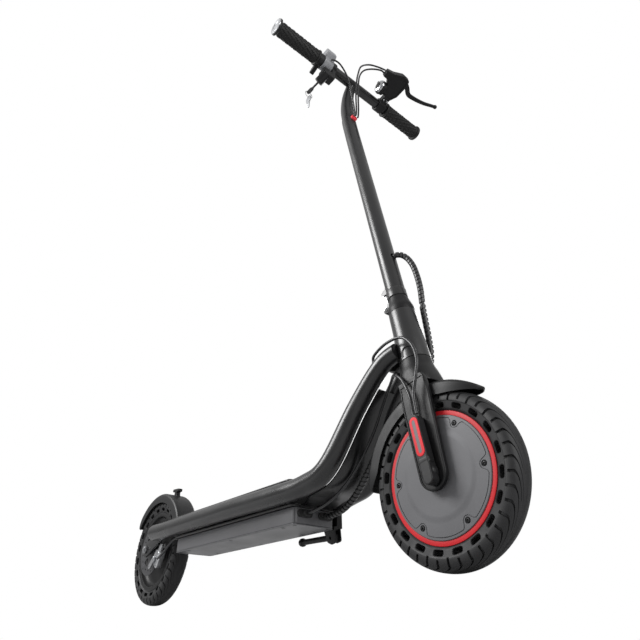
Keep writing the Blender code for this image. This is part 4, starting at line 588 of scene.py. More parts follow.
@dataclass(frozen=True)
class Finish:
    """A material and how its surface was made: colour, gloss, grain and faint unevenness."""

    name: str
    colour: str
    roughness: float
    metallic: float = 0.0
    grain: float = 0.0008
    relief: float = 0.00003
    cloud: float = 0.035
    shade: float = 0.18
    spread: float = 0.06
    coat: float = 0.0
    specular: float = 0.5
    stretch: tuple[float, float, float] = (1.0, 1.0, 1.0)
    slot: str = "frame_black"

    def build(self) -> Material:
        """The material, made once and then reused.

        Returns:
            The material.
        """
        found = bpy.data.materials.get(self.name)
        if found is not None:
            return found
        material = bpy.data.materials.new(self.name)
        material.use_nodes = True
        tree = material.node_tree
        shader = tree.nodes["Principled BSDF"]
        shader.inputs["Metallic"].default_value = self.metallic
        shader.inputs["Coat Weight"].default_value = self.coat
        shader.inputs["Specular IOR Level"].default_value = self.specular
        place = add_node(tree, "ShaderNodeTexCoord").outputs["Object"]
        spot = add_node(tree, "ShaderNodeMapping", {"Vector": place, "Scale": self.stretch})
        self.paint(tree, shader, spot)
        bump = add_node(tree, "ShaderNodeBump", {"Height": self.grain_pattern(tree, spot),
            "Distance": self.relief, "Strength": 1.0})
        tree.links.new(bump.outputs["Normal"], shader.inputs["Normal"])
        return material

    def paint(self, tree: NodeTree, shader: Node, place: Node) -> None:
        """Colour and roughness that drift a little over the surface, as handled parts do.

        Args:
            tree: The material's tree.
            shader: Its Principled shader.
            place: Position on the object.
        """
        cloud = add_node(tree, "ShaderNodeTexNoise", {"Vector": place, "Scale": 1.0 / self.cloud,
            "Detail": 3.0, "Roughness": 0.55})
        base = linear(self.colour)
        tint = add_node(tree, "ShaderNodeValToRGB", {"Fac": cloud.outputs["Fac"]})
        for element, share in zip(tint.color_ramp.elements, (1 - self.shade, 1 + self.shade)):
            element.color = (*[min(1.0, c * share) for c in base[:3]], 1.0)
        tint.color_ramp.elements[0].position = 0.3
        tint.color_ramp.elements[1].position = 0.7
        tree.links.new(tint.outputs["Color"], shader.inputs["Base Color"])
        gloss = add_node(tree, "ShaderNodeMapRange", {"Value": cloud.outputs["Fac"], "From Min": 0.3,
            "From Max": 0.7, "To Min": self.roughness - self.spread,
            "To Max": self.roughness + self.spread})
        tree.links.new(gloss.outputs["Result"], shader.inputs["Roughness"])

    def grain_pattern(self, tree: NodeTree, place: Node) -> Node:
        """Noise of the grain's size, from which the fine relief is drawn."""
        return add_node(tree, "ShaderNodeTexNoise", {"Vector": place, "Scale": 1.0 / self.grain,
            "Detail": 2.0})


@dataclass(frozen=True)
class CellFinish(Finish):
    """A finish whose relief is made of cells, such as a reflector's prisms or an eroded mould."""

    def grain_pattern(self, tree: NodeTree, place: Node) -> Node:
        """Rounded cells of the grain's size, from which the fine relief is drawn."""
        return add_node(tree, "ShaderNodeTexVoronoi", {"Vector": place, "Scale": 1.0 / self.grain},
            feature="SMOOTH_F1")


# Powder-coated steel and aluminium, satin black: broad soft highlights with a faint orange peel.
BLACK_COAT = Finish("satin_black_powder_coat", "#101011", 0.31, grain=0.0016, relief=0.00002, cloud=0.06,
    specular=0.5)
# The same coat on machined castings, a little rougher where the sand skin shows through.
BLACK_CAST = Finish("black_coated_casting", "#0f0f10", 0.42, grain=0.0009, relief=0.00004, specular=0.22)
# Injection-moulded ABS with a spark-eroded texture that breaks the highlights up.
BLACK_ABS = CellFinish("spark_textured_black_abs", "#131314", 0.46, grain=0.0007, relief=0.00003,
    specular=0.28, slot="plastic_black")
# Vulcanised carbon-black rubber: dull, with slow clouds of bloom.
TYRE_RUBBER = Finish("vulcanised_tyre_rubber", "#1b1b1c", 0.56, grain=0.0007, relief=0.00006, cloud=0.022,
    shade=0.25, spread=0.08, specular=0.3, slot="tyre_black")
# Softer moulded rubber of grips, mat and glands.
SOFT_RUBBER = Finish("moulded_soft_rubber", "#161616", 0.58, grain=0.0006, relief=0.00005, specular=0.32,
    slot="rubber_black")
# Extruded PVC jacket of the control cables, smooth and slightly shiny.
CABLE_JACKET = Finish("extruded_cable_jacket", "#131315", 0.36, grain=0.002, relief=0.00001,
    slot="cable_black")
# Polyamide spiral wrap, semi-matt.
WRAP_NYLON = Finish("nylon_spiral_wrap", "#232324", 0.42, grain=0.0012, relief=0.00002, slot="cable_black")
# Grey powder coat of the pressed battery box.
BOX_COAT = Finish("grey_powder_coat", "#4c4c4e", 0.44, grain=0.001, relief=0.00003, cloud=0.08, shade=0.06,
    slot="box_grey")
# Die-cast motor cover under grey lacquer: even, with a metal sheen.
MOTOR_LACQUER = Finish("grey_lacquered_die_casting", "#5a5a5c", 0.5, metallic=0.1, grain=0.0008,
    relief=0.00002, cloud=0.07, shade=0.06, specular=0.22, slot="motor_grey")
# Grey moulding of the throttle's key block, a little shiny from its polished mould.
GREY_SHELL = Finish("polished_grey_moulding", "#7e7f82", 0.34, grain=0.001, relief=0.00002, shade=0.06,
    slot="motor_grey")
# Stamped disc rotor steel, coloured a dark grey.
DISC_STEEL = Finish("stamped_rotor_steel", "#4c4c4e", 0.44, metallic=0.9, grain=0.0006, relief=0.00002,
    shade=0.25, slot="steel")
# Red enamel of the motor's ring.
RED_ENAMEL = Finish("red_enamel", "#b01a21", 0.46, grain=0.0012, relief=0.00001, cloud=0.05, shade=0.05,
    specular=0.25, slot="band_red")
# Moulded red reflector with prisms behind its face.
RED_PRISM = CellFinish("prismatic_red_reflector", "#c01c26", 0.48, grain=0.0016, relief=0.00006, shade=0.1,
    specular=0.25, slot="reflector_red")
# Red moulded rubber of the cable grommet.
RED_RUBBER = Finish("moulded_red_rubber", "#cf2430", 0.5, grain=0.0007, relief=0.00003, shade=0.08,
    slot="reflector_red")
# Tumbled and clear-coated aluminium of small castings.
BRIGHT_CAST = Finish("tumbled_aluminium_casting", "#b4b5b7", 0.34, metallic=1.0, grain=0.0007,
    relief=0.00003, slot="bright_alloy")
# Brushed stainless steel: fine lines along X.
BRUSHED_STEEL = Finish("brushed_stainless_steel", "#8f9092", 0.36, metallic=1.0, grain=0.0007,
    relief=0.00002, stretch=(0.06, 1.0, 1.0), slot="steel")
# Zinc-plated screws and nuts.
ZINC_PLATE = Finish("zinc_plated_steel", "#9a9b9d", 0.32, metallic=1.0, grain=0.0006, relief=0.00001,
    slot="steel")
# Screws and key blackened in oil.
BLACK_OXIDE = Finish("black_oxide_steel", "#1a1a1b", 0.38, metallic=0.7, grain=0.0005, relief=0.00001,
    slot="steel")
# Plain grey insert of the reflector.
GREY_INSERT = Finish("grey_abs_insert", "#6c6466", 0.55, grain=0.0007, relief=0.00002, shade=0.05,
    specular=0.2, slot="motor_grey")


# Patterns: Geometry Nodes trees for what repeats or follows a path.


class Tree(Enum):
    """The Geometry Nodes trees that repeat a shape or follow a path."""

    AROUND_AXIS = "repeat_around_axis"
    SPIRAL_BAND = "spiral_band_on_path"


def new_tree(kind: Tree, sockets: Sequence[tuple[str, str]]) -> tuple[NodeTree, Node, Node]:
    """Empty Geometry Nodes tree with a geometry and the named inputs.

    Args:
        kind: Which tree is made.
        sockets: (name, socket type) of each further input.

    Returns:
        The tree, its input node and its output node.
    """
    tree = bpy.data.node_groups.new(kind.value, "GeometryNodeTree")
    tree.interface.new_socket("Geometry", in_out="INPUT", socket_type="NodeSocketGeometry")
    for name, socket_type in sockets:
        tree.interface.new_socket(name, in_out="INPUT", socket_type=socket_type)
    tree.interface.new_socket("Geometry", in_out="OUTPUT", socket_type="NodeSocketGeometry")
    return tree, tree.nodes.new("NodeGroupInput"), tree.nodes.new("NodeGroupOutput")


def close_tree(tree: NodeTree, given: Node, result: Node, shape: Node) -> None:
    """Ends a tree in Realize Instances, Merge by Distance and Set Material.

    Args:
        tree: The tree to end.
        given: Its input node.
        result: Its output node.
        shape: The node whose geometry is the result.
    """
    real = add_node(tree, "GeometryNodeRealizeInstances", {"Geometry": shape})
    merged = add_node(tree, "GeometryNodeMergeByDistance", {"Geometry": real, "Distance": 4e-6})
    dressed = add_node(tree, "GeometryNodeSetMaterial", {"Geometry": merged,
        "Material": given.outputs["Material"]})
    tree.links.new(dressed.outputs[0], result.inputs[0])


def around_axis_tree() -> NodeTree:
    """Repeats the shape about Z in rows, each row further up and turned by half a step.

    Returns:
        The tree, with inputs Count, Rows, Row Pitch, Stagger and Material.
    """
    found = bpy.data.node_groups.get(Tree.AROUND_AXIS.value)
    if found is not None:
        return found
    tree, given, result = new_tree(Tree.AROUND_AXIS, (("Count", "NodeSocketInt"), ("Rows", "NodeSocketInt"),
        ("Row Pitch", "NodeSocketFloat"), ("Stagger", "NodeSocketFloat"),
        ("Material", "NodeSocketMaterial")))
    total = add_node(tree, "ShaderNodeMath", {0: given.outputs["Count"], 1: given.outputs["Rows"]},
        operation="MULTIPLY")
    spots = add_node(tree, "GeometryNodePoints", {"Count": total})
    index = add_node(tree, "GeometryNodeInputIndex")
    share = add_node(tree, "ShaderNodeMath", {0: index, 1: given.outputs["Count"]}, operation="DIVIDE")
    row = add_node(tree, "ShaderNodeMath", {0: add_node(tree, "ShaderNodeMath", {0: share, 1: 1e-4},
        operation="ADD")}, operation="FLOOR")
    step = add_node(tree, "ShaderNodeMath", {0: tau, 1: given.outputs["Count"]}, operation="DIVIDE")
    shifted = add_node(tree, "ShaderNodeMath", {0: row, 1: given.outputs["Stagger"], 2: index},
        operation="MULTIPLY_ADD")
    angle = add_node(tree, "ShaderNodeMath", {0: shifted, 1: step}, operation="MULTIPLY")
    lift = add_node(tree, "ShaderNodeMath", {0: row, 1: given.outputs["Row Pitch"]}, operation="MULTIPLY")
    height = add_node(tree, "ShaderNodeCombineXYZ", {"Z": lift})
    turn = add_node(tree, "ShaderNodeCombineXYZ", {"Z": angle})
    placed = add_node(tree, "GeometryNodeSetPosition", {"Geometry": spots, "Position": height})
    euler = add_node(tree, "FunctionNodeEulerToRotation", {0: turn})
    copies = add_node(tree, "GeometryNodeInstanceOnPoints", {"Points": placed,
        "Instance": given.outputs["Geometry"], "Rotation": euler})
    close_tree(tree, given, result, copies)
    return tree


def spiral_band_tree() -> NodeTree:
    """Winds a flat band round the path curve that the object holds.

    Returns:
        The tree, with inputs Radius, Turns, Width, Steps and Material.
    """
    found = bpy.data.node_groups.get(Tree.SPIRAL_BAND.value)
    if found is not None:
        return found
    tree, given, result = new_tree(Tree.SPIRAL_BAND, (("Radius", "NodeSocketFloat"),
        ("Turns", "NodeSocketFloat"), ("Width", "NodeSocketFloat"), ("Steps", "NodeSocketInt"),
        ("Material", "NodeSocketMaterial")))
    length = add_node(tree, "GeometryNodeCurveLength", {0: given.outputs["Geometry"]})
    grid = add_node(tree, "GeometryNodeMeshGrid", {"Size X": 1.0, "Size Y": 1.0,
        "Vertices X": given.outputs["Steps"], "Vertices Y": 5})
    spot = add_node(tree, "ShaderNodeSeparateXYZ", {0: add_node(tree, "GeometryNodeInputPosition")})
    along = add_node(tree, "ShaderNodeMath", {0: spot.outputs["X"], 1: 0.5}, operation="ADD")
    room = add_node(tree, "ShaderNodeMath", {0: length, 1: given.outputs["Width"]}, operation="SUBTRACT")
    across = add_node(tree, "ShaderNodeMath", {0: spot.outputs["Y"], 1: 0.5}, operation="ADD")
    start = add_node(tree, "ShaderNodeMath", {0: along, 1: room}, operation="MULTIPLY")
    reach = add_node(tree, "ShaderNodeMath", {0: across, 1: given.outputs["Width"], 2: start},
        operation="MULTIPLY_ADD")
    turns = add_node(tree, "ShaderNodeMath", {0: along, 1: given.outputs["Turns"]}, operation="MULTIPLY")
    angle = add_node(tree, "ShaderNodeMath", {0: turns, 1: tau}, operation="MULTIPLY")
    sample = add_node(tree, "GeometryNodeSampleCurve", {"Curves": given.outputs["Geometry"],
        "Length": reach}, mode="LENGTH", use_all_curves=True)
    normal = sample.outputs["Normal"]
    cross = add_node(tree, "ShaderNodeVectorMath", {0: sample.outputs["Tangent"], 1: normal},
        operation="CROSS_PRODUCT")
    parts = []
    for operation, direction in (("COSINE", normal), ("SINE", cross)):
        wave = add_node(tree, "ShaderNodeMath", {0: angle}, operation=operation)
        size = add_node(tree, "ShaderNodeMath", {0: wave, 1: given.outputs["Radius"]}, operation="MULTIPLY")
        parts.append(add_node(tree, "ShaderNodeVectorMath", {0: direction, "Scale": size},
            operation="SCALE"))
    offset = add_node(tree, "ShaderNodeVectorMath", {0: parts[0], 1: parts[1]}, operation="ADD")
    where = add_node(tree, "ShaderNodeVectorMath", {0: sample.outputs["Position"], 1: offset},
        operation="ADD")
    band = add_node(tree, "GeometryNodeSetPosition", {"Geometry": grid.outputs["Mesh"], "Position": where})
    close_tree(tree, given, result, band)
    return tree


def run_tree(item: Object, tree: NodeTree, values: dict) -> Mesh:
    """Runs a tree on an object and returns its result as a plain mesh.

    Args:
        item: The object that the tree reads. It is removed.
        tree: The tree to run.
        values: The tree's inputs by name.

    Returns:
        The resulting mesh.
    """
    modifier = item.modifiers.new("pattern", "NODES")
    modifier.node_group = tree
    for socket in tree.interface.items_tree:
        if socket.item_type == "SOCKET" and socket.in_out == "INPUT" and socket.name in values:
            modifier[socket.identifier] = values[socket.name]
    bpy.context.view_layer.update()
    evaluated = item.evaluated_get(bpy.context.evaluated_depsgraph_get())
    mesh = bpy.data.meshes.new_from_object(evaluated)
    bpy.data.objects.remove(item, do_unlink=True)
    return mesh


def repeated(name: str, skin: Skin, count: int, finish: Finish, place: Matrix, rows: int = 1,
        pitch: float = 0.0, stagger: float = 0.0, sharp: float = 34.0) -> Object:
    """Piece made of copies of a skin round the local Z axis.

    Args:
        name: The piece's name.
        skin: The shape that is repeated, drawn beside the axis.
        count: Copies in one row.
        finish: The piece's finish.
        place: Where the axis stands.
        rows: Rows along the axis.
        pitch: Distance between rows.
        stagger: Turn of each further row, as a share of one step.
        sharp: Angle of sharp edges in degrees.

    Returns:
        The new object.
    """
    seed = build_mesh(name + "_seed", skin)
    mesh = run_tree(seed, around_axis_tree(), {"Count": count, "Rows": rows, "Row Pitch": pitch,
        "Stagger": stagger, "Material": finish.build()})
    mesh.transform(place)
    tidy_mesh(mesh, sharp)
    item = bpy.data.objects.new(name, mesh)
    bpy.context.scene.collection.objects.link(item)
    return item


# Pieces of the scooter.


def dress(item: Object, finish: Finish, body: Body, *nodes: str) -> Object:
    """Gives a finished object its material and its body.

    Args:
        item: The finished object.
        finish: Its finish.
        body: The body that it rides on.
        nodes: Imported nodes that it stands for.

    Returns:
        The same object.
    """
    item.data.materials.clear()
    item.data.materials.append(finish.build())
    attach(item, body.value)
    if nodes:
        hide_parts(*nodes)
    LOG.info("%s: %d faces on %s", item.name, len(item.data.polygons), body.value)
    return item


def make(name: str, skin: Skin, place: Matrix, finish: Finish, body: Body, *nodes: str) -> Object:
    """Turns a skin into a finished, dressed piece."""
    return dress(build_mesh(name, skin, place), finish, body, *nodes)


def button_screw(radius: float, height: float, socket: float) -> Skin:
    """Button-head screw along Z with a hexagon socket, its seat at height 0.

    Args:
        radius: Radius of the head.
        height: Height of the head.
        socket: Radius across the socket's corners.

    Returns:
        The closed skin.
    """
    rings = []
    for size, level, hexagon in ((radius, -0.0004, False), (radius, height * 0.25, False),
            (radius * 0.93, height * 0.62, False), (radius * 0.78, height * 0.9, False),
            (radius * 0.66, height, False), (socket, height, True), (socket * 0.96, height * 0.45, True)):
        ring = []
        for i in range(HEXAGON_STEPS):
            angle = tau * i / HEXAGON_STEPS
            reach = size * cos(pi / 6) / cos((angle % (pi / 3)) - pi / 6) if hexagon else size
            ring.append((reach * cos(angle), reach * sin(angle), level))
        rings.append(ring)
    return loft(rings)


def hexagon_nut(across: float, low: float, high: float) -> Skin:
    """Hexagon nut along Z with chamfered corners.

    Args:
        across: Width across the flats.
        low: Height of its lower face.
        high: Height of its upper face.

    Returns:
        The closed skin.
    """
    rings = []
    for level, cap in ((low, 1.0), (low + 0.0006, 1.09), (high - 0.0008, 1.09), (high, 0.98)):
        ring = []
        for i in range(HEXAGON_STEPS):
            angle = tau * i / HEXAGON_STEPS
            flat = across / 2 / cos((angle % (pi / 3)) - pi / 6)
            reach = min(flat, across / 2 * cap)
            ring.append((reach * cos(angle), reach * sin(angle), level))
        rings.append(ring)
    return loft(rings)


@dataclass
class Tyre:
    """Solid honeycomb tyre: slots through its side walls and swept grooves over its tread."""

    radius: float = 0.127
    half_width: float = 0.0218
    shoulder: float = 0.11
    crown_power: float = 2.5
    pitches: int = 20
    slot_radius: float = 0.103
    slot_half_length: float = 0.0085
    slot_half_height: float = 0.0039
    slot_corner: float = 0.003
    slot_lip: float = 0.0008
    groove_half_width: float = 0.0023
    groove_depth: float = 0.003
    groove_tip: float = 0.45
    short_start: int = 6
    crown_rows: int = 26
    sweep_angle: float = radians(42.0)

    def side_rows(self) -> tuple[list[tuple[float, float]], int, int]:
        """Section points from the middle of the tread to the rim's well, with the slot's row numbers.

        Returns:
            The (radius, height) points, and the slot's first and last row.
        """
        rows = []
        crown = self.radius - self.shoulder
        for i in range(self.crown_rows + 1):
            angle = pi / 2 * i / self.crown_rows
            rows.append((self.shoulder + crown * max(cos(angle), 0.0) ** (2 / self.crown_power),
                self.half_width * sin(angle) ** (2 / self.crown_power)))
        rows += [(0.1093, self.half_width - 0.0001), (0.1086, self.half_width - 0.0006)]
        first = len(rows)
        high = self.slot_half_height + self.slot_lip
        core = self.slot_half_height - self.slot_corner
        for level in (high, core + 0.0021, core, -core, -core - 0.0021, -high):
            share = (0.1086 - self.slot_radius - level) / 0.0107
            rows.append((self.slot_radius + level, self.half_width - 0.0006 - 0.0022 * share))
        last = len(rows) - 1
        rows += [(0.0979, 0.0189), (0.096, 0.0174), (0.09135, 0.01285)]
        return rows, first, last

    def columns(self) -> tuple[list[float], int, int]:
        """Angles of one pitch in radians, with the numbers of the slot's first and last column.

        Returns:
            The angles, and the slot's first and last column.
        """
        middle = pi / self.pitches
        groove = self.groove_half_width / self.radius
        core = (self.slot_half_length - self.slot_corner) / self.slot_radius
        turn = core + 0.0021 / self.slot_radius
        edge = (self.slot_half_length + self.slot_lip) / self.slot_radius
        half = [0.0, groove * 0.72, groove, (middle - edge + groove) / 2, middle - edge, middle - turn,
            middle - core, middle - core * 0.45, middle - groove, middle - groove * 0.72]
        angles = half + [2 * middle - angle for angle in reversed(half)]
        return angles, half.index(middle - edge), len(angles) - 1 - half.index(middle - edge)

    def narrowed(self, angles: Sequence[float], column: int, row: int) -> float:
        """Angle of a column at a row, with the grooves drawn narrower towards the middle of the tread.

        Args:
            angles: Angles of all columns.
            column: The column.
            row: The row.

        Returns:
            The column's angle at that row.
        """
        middle, count = pi / self.pitches, len(angles)
        share = min(1.0, max(0.0, row / (self.crown_rows * 0.62)))
        size = self.groove_tip + (1.0 - self.groove_tip) * share
        for centre, near in ((0.0, (0, 1, 2)), (middle, (8, 9, 10, 11)),
                (2 * middle, (count - 3, count - 2, count - 1))):
            if column in near:
                return centre + (angles[column] - centre) * size
        return angles[column]

    def swept(self, reach: float) -> float:
        """Turn of the tread pattern at a distance from the middle: none at the shoulder."""
        share = min(max(1.0 - reach / 0.0195, 0.0), 1.0)
        return self.sweep_angle * share ** 1.7

    def depth(self, column: int, columns: int, row: int) -> float:
        """Depth of the long groove between two pitches, or of the shorter one in the pitch's middle.

        Args:
            column: The column.
            columns: How many there are.
            row: The row.

        Returns:
            The groove's depth there, 0 outside the grooves.
        """
        long_groove = column in (0, 1, columns - 1, columns - 2) and 3 <= row <= self.crown_rows + 1
        short_groove = column in (9, 10) and self.short_start <= row <= self.crown_rows - 2
        return self.groove_depth if long_groove or short_groove else 0.0

    def around_slot(self, u: float, v: float) -> tuple[Vector, Vector]:
        """Point on the slot's lip and the point inside it, for a place on the box around the slot.

        Args:
            u: Distance along the slot.
            v: Distance across it.

        Returns:
            The point on the lip and the point inside.
        """
        core_u = self.slot_half_length - self.slot_corner
        core_v = self.slot_half_height - self.slot_corner
        core = Vector((min(max(u, -core_u), core_u), min(max(v, -core_v), core_v)))
        out = (Vector((u, v)) - core).normalized()
        return core + out * (self.slot_corner + self.slot_lip), core + out * self.slot_corner

    def sector(self) -> Skin:
        """One pitch of the tyre about Z, open where it meets the next.

        Returns:
            The pitch's skin.
        """
        rows, first, last = self.side_rows()
        angles, left, right = self.columns()
        skin = Skin()
        ids: dict[tuple[int, int, int], int] = {}
        deep: dict[tuple[int, int, int], int] = {}

        def point(angle: float, r: float, h: float) -> int:
            """Adds a point to the skin and returns its number."""
            skin.points.append(Vector((r * cos(angle), r * sin(angle), h)))
            return len(skin.points) - 1

        middle = pi / self.pitches
        for side in (1, -1):
            for i, (r, h) in enumerate(rows):
                if i == 0 and side == -1:
                    continue
                before = rows[max(i - 1, 0)]
                after = rows[min(i + 1, len(rows) - 1)]
                along = Vector((after[0] - before[0], after[1] - before[1])).normalized()
                inward = Vector((-along.y, along.x)) if i else Vector((-1.0, 0))
                for j, angle in enumerate(angles):
                    sunk = self.depth(j, len(angles), i)
                    spot = Vector((r, h)) + inward * sunk
                    on_lip = first <= i <= last and left <= j <= right and (i in (first, last)
                        or j in (left, right))
                    turn = self.narrowed(angles, j, i) + self.swept(h)
                    if on_lip:
                        lip, inner = self.around_slot((angle - middle) * self.slot_radius,
                            r - self.slot_radius)
                        spot = Vector((self.slot_radius + lip.y, h))
                        turn = middle + lip.x / self.slot_radius
                        deep[side, i, j] = point(middle + inner.x / self.slot_radius,
                            self.slot_radius + inner.y, side * (h - self.slot_lip))
                    ids[side, i, j] = point(turn, spot.x, side * spot.y)
        for j in range(len(angles)):
            ids[-1, 0, j] = ids[1, 0, j]
        for side in (1, -1):
            for i in range(len(rows) - 1):
                for j in range(len(angles) - 1):
                    if not (first <= i < last and left <= j < right):
                        skin.faces.append((ids[side, i, j], ids[side, i, j + 1], ids[side, i + 1, j + 1],
                            ids[side, i + 1, j]))
        well = len(rows) - 1
        for j in range(len(angles) - 1):
            skin.faces.append((ids[1, well, j], ids[1, well, j + 1], ids[-1, well, j + 1],
                ids[-1, well, j]))
        loop = ([(first, j) for j in range(left, right)] + [(i, right) for i in range(first, last)]
            + [(last, j) for j in range(right, left, -1)] + [(i, left) for i in range(last, first, -1)])
        for a, b in zip(loop, loop[1:] + loop[:1]):
            for side in (1, -1):
                skin.faces.append((ids[(side, *a)], ids[(side, *b)], deep[(side, *b)], deep[(side, *a)]))
            skin.faces.append((deep[(1, *a)], deep[(1, *b)], deep[(-1, *b)], deep[(-1, *a)]))
        return skin

    def build(self, name: str, hub: Matrix, body: Body) -> Object:
        """The whole tyre in its place.

        Args:
            name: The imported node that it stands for.
            hub: Place of the wheel's axle.
            body: The wheel's body.

        Returns:
            The new piece.
        """
        tyre = repeated(name + "_tread", self.sector(), self.pitches, TYRE_RUBBER, hub @ ALONG_Y,
            sharp=28.0)
        return dress(tyre, TYRE_RUBBER, body, name)


@dataclass
class FrontWheel:
    """Tyre, red motor shell and the two lacquered covers with their screws."""

    rim_radius: float = 0.0963
    rim_half_width: float = 0.0178
    bore_radius: float = 0.0878
    dome_radius: float = 0.061
    face: float = 0.0213
    rim_face: float = 0.0194
    boss_radius: float = 0.017
    boss_face: float = 0.025
    dome_start: float = 0.056
    dome_end: float = 0.067
    screw_circle: float = 0.0775
    screw_count: int = 6
    screw_radius: float = 0.0037
    pocket_radius: float = 0.0046
    seam_radius: float = 0.0835
    seam_half: float = 0.0006
    seam_depth: float = 0.0012
    notch: float = 0.0066
    columns: int = 720

    def seam(self, angle: float) -> float:
        """Radius of the cover's seam, which runs inside each screw.

        Args:
            angle: Angle about the axle.

        Returns:
            The seam's radius at that angle.
        """
        step = tau / self.screw_count
        away = abs((angle + step / 2) % step - step / 2) * self.screw_circle
        outside = self.seam_radius
        inside = self.screw_circle - self.notch * cos(pi / 2 * min(1.0, away / (self.notch * 1.5)))
        share = min(max((away - self.notch * 0.75) / (self.notch * 1.15), 0.0), 1.0)
        share = share * share * (3 - 2 * share)
        return inside + (outside - inside) * share

    def cover_height(self, radius: float) -> float:
        """Height of the cover's outer face at a radius: raised boss, flat dome and an eased fall to the rim.

        Args:
            radius: Distance from the axle.

        Returns:
            The face's height there.
        """
        if radius < self.boss_radius + 0.0014:
            share = min(max((self.boss_radius + 0.0014 - radius) / 0.0018, 0.0), 1.0)
            return self.face + (self.boss_face - self.face) * share
        share = min(max((radius - self.dome_start) / (self.dome_end - self.dome_start), 0.0), 1.0)
        low = self.rim_face + 0.0008 * max(0.0, (self.bore_radius - radius) / (self.bore_radius
            - self.dome_end))
        return self.face + (min(low, self.rim_face + 0.0008) - self.face) * share * share * (3 - 2 * share)

    def cover(self) -> Skin:
        """Cover about Z with its seam groove, outer face up.

        Returns:
            The cover's skin.
        """
        radii = [0.0062, self.boss_radius - 0.0006, self.boss_radius - 0.0002, self.boss_radius + 0.0014,
            self.boss_radius + 0.0022]
        low, high = self.dome_start - 0.001, self.screw_circle - self.notch - 0.0012
        radii += [low + (high - low) * k / 16 for k in range(17)]
        rings = []
        sink, step = self.seam_depth, tau / self.columns
        for i in range(self.columns):
            angle = step * i
            seam = self.seam(angle)
            slope = (self.seam(angle + step) - self.seam(angle - step)) / (2 * step * seam)
            half = self.seam_half * sqrt(1.0 + slope * slope)
            level = self.cover_height(seam)
            ring = [(r, self.cover_height(r)) for r in radii]
            ring += [(seam - half, level), (seam - half * 0.7, level - sink),
                (seam + half * 0.7, level - sink), (seam + half, level)]
            edge = self.bore_radius - GAP
            ring += [(edge - 0.0006, self.rim_face), (edge, self.rim_face - 0.0006),
                (edge, self.rim_face - 0.0036), (self.dome_radius, self.rim_face - 0.003),
                (self.dome_radius - 0.006, self.face - 0.003), (0.015, self.face - 0.003), (0.015, 0.0135),
                (0.0062, 0.0135)]
            rings.append([(r * cos(angle), r * sin(angle), h) for r, h in ring])
        return loft(rings, loop=True)

    def build(self) -> None:
        """Makes every piece of the wheel."""
        Tyre().build("front_tyre", FRONT_HUB, Body.FRONT_WHEEL)
        place = FRONT_HUB @ ALONG_Y
        half = self.rim_half_width
        shell = rounded(both_halves([(self.bore_radius, -half, 0.0003), (self.rim_radius, -half, 0.001),
            (0.091, -0.013, 0.001)]), 4)
        ring = build_mesh("motor_ring", lathe(shell, 160), place)
        dress(ring, RED_ENAMEL, Body.FRONT_WHEEL, "motor_shell")
        for side in Side:
            facing = place @ Matrix.Diagonal((1.0, 1.0, side.value, 1.0))
            cover = build_mesh(side.word + "_motor_plate", self.cover(), facing)
            step = tau / self.screw_count
            height = self.cover_height(self.screw_circle)
            pockets = Skin()
            for k in range(self.screw_count):
                pocket = disc(self.pocket_radius, height - 0.0018, height + 0.004, steps=32)
                pockets.add(pocket, turned(step * k, "Z") @ at(self.screw_circle, 0, 0))
            cut(cover, pockets, facing)
            dress(cover, MOTOR_LACQUER, Body.FRONT_WHEEL, side.word + "_motor_cover")
            screw = button_screw(self.screw_radius, 0.0019, 0.0018).moved(at(self.screw_circle, 0,
                height - 0.0018))
            screws = repeated(side.word + "_cover_screws", screw, self.screw_count, BLACK_OXIDE, facing)
            dress(screws, BLACK_OXIDE, Body.FRONT_WHEEL)


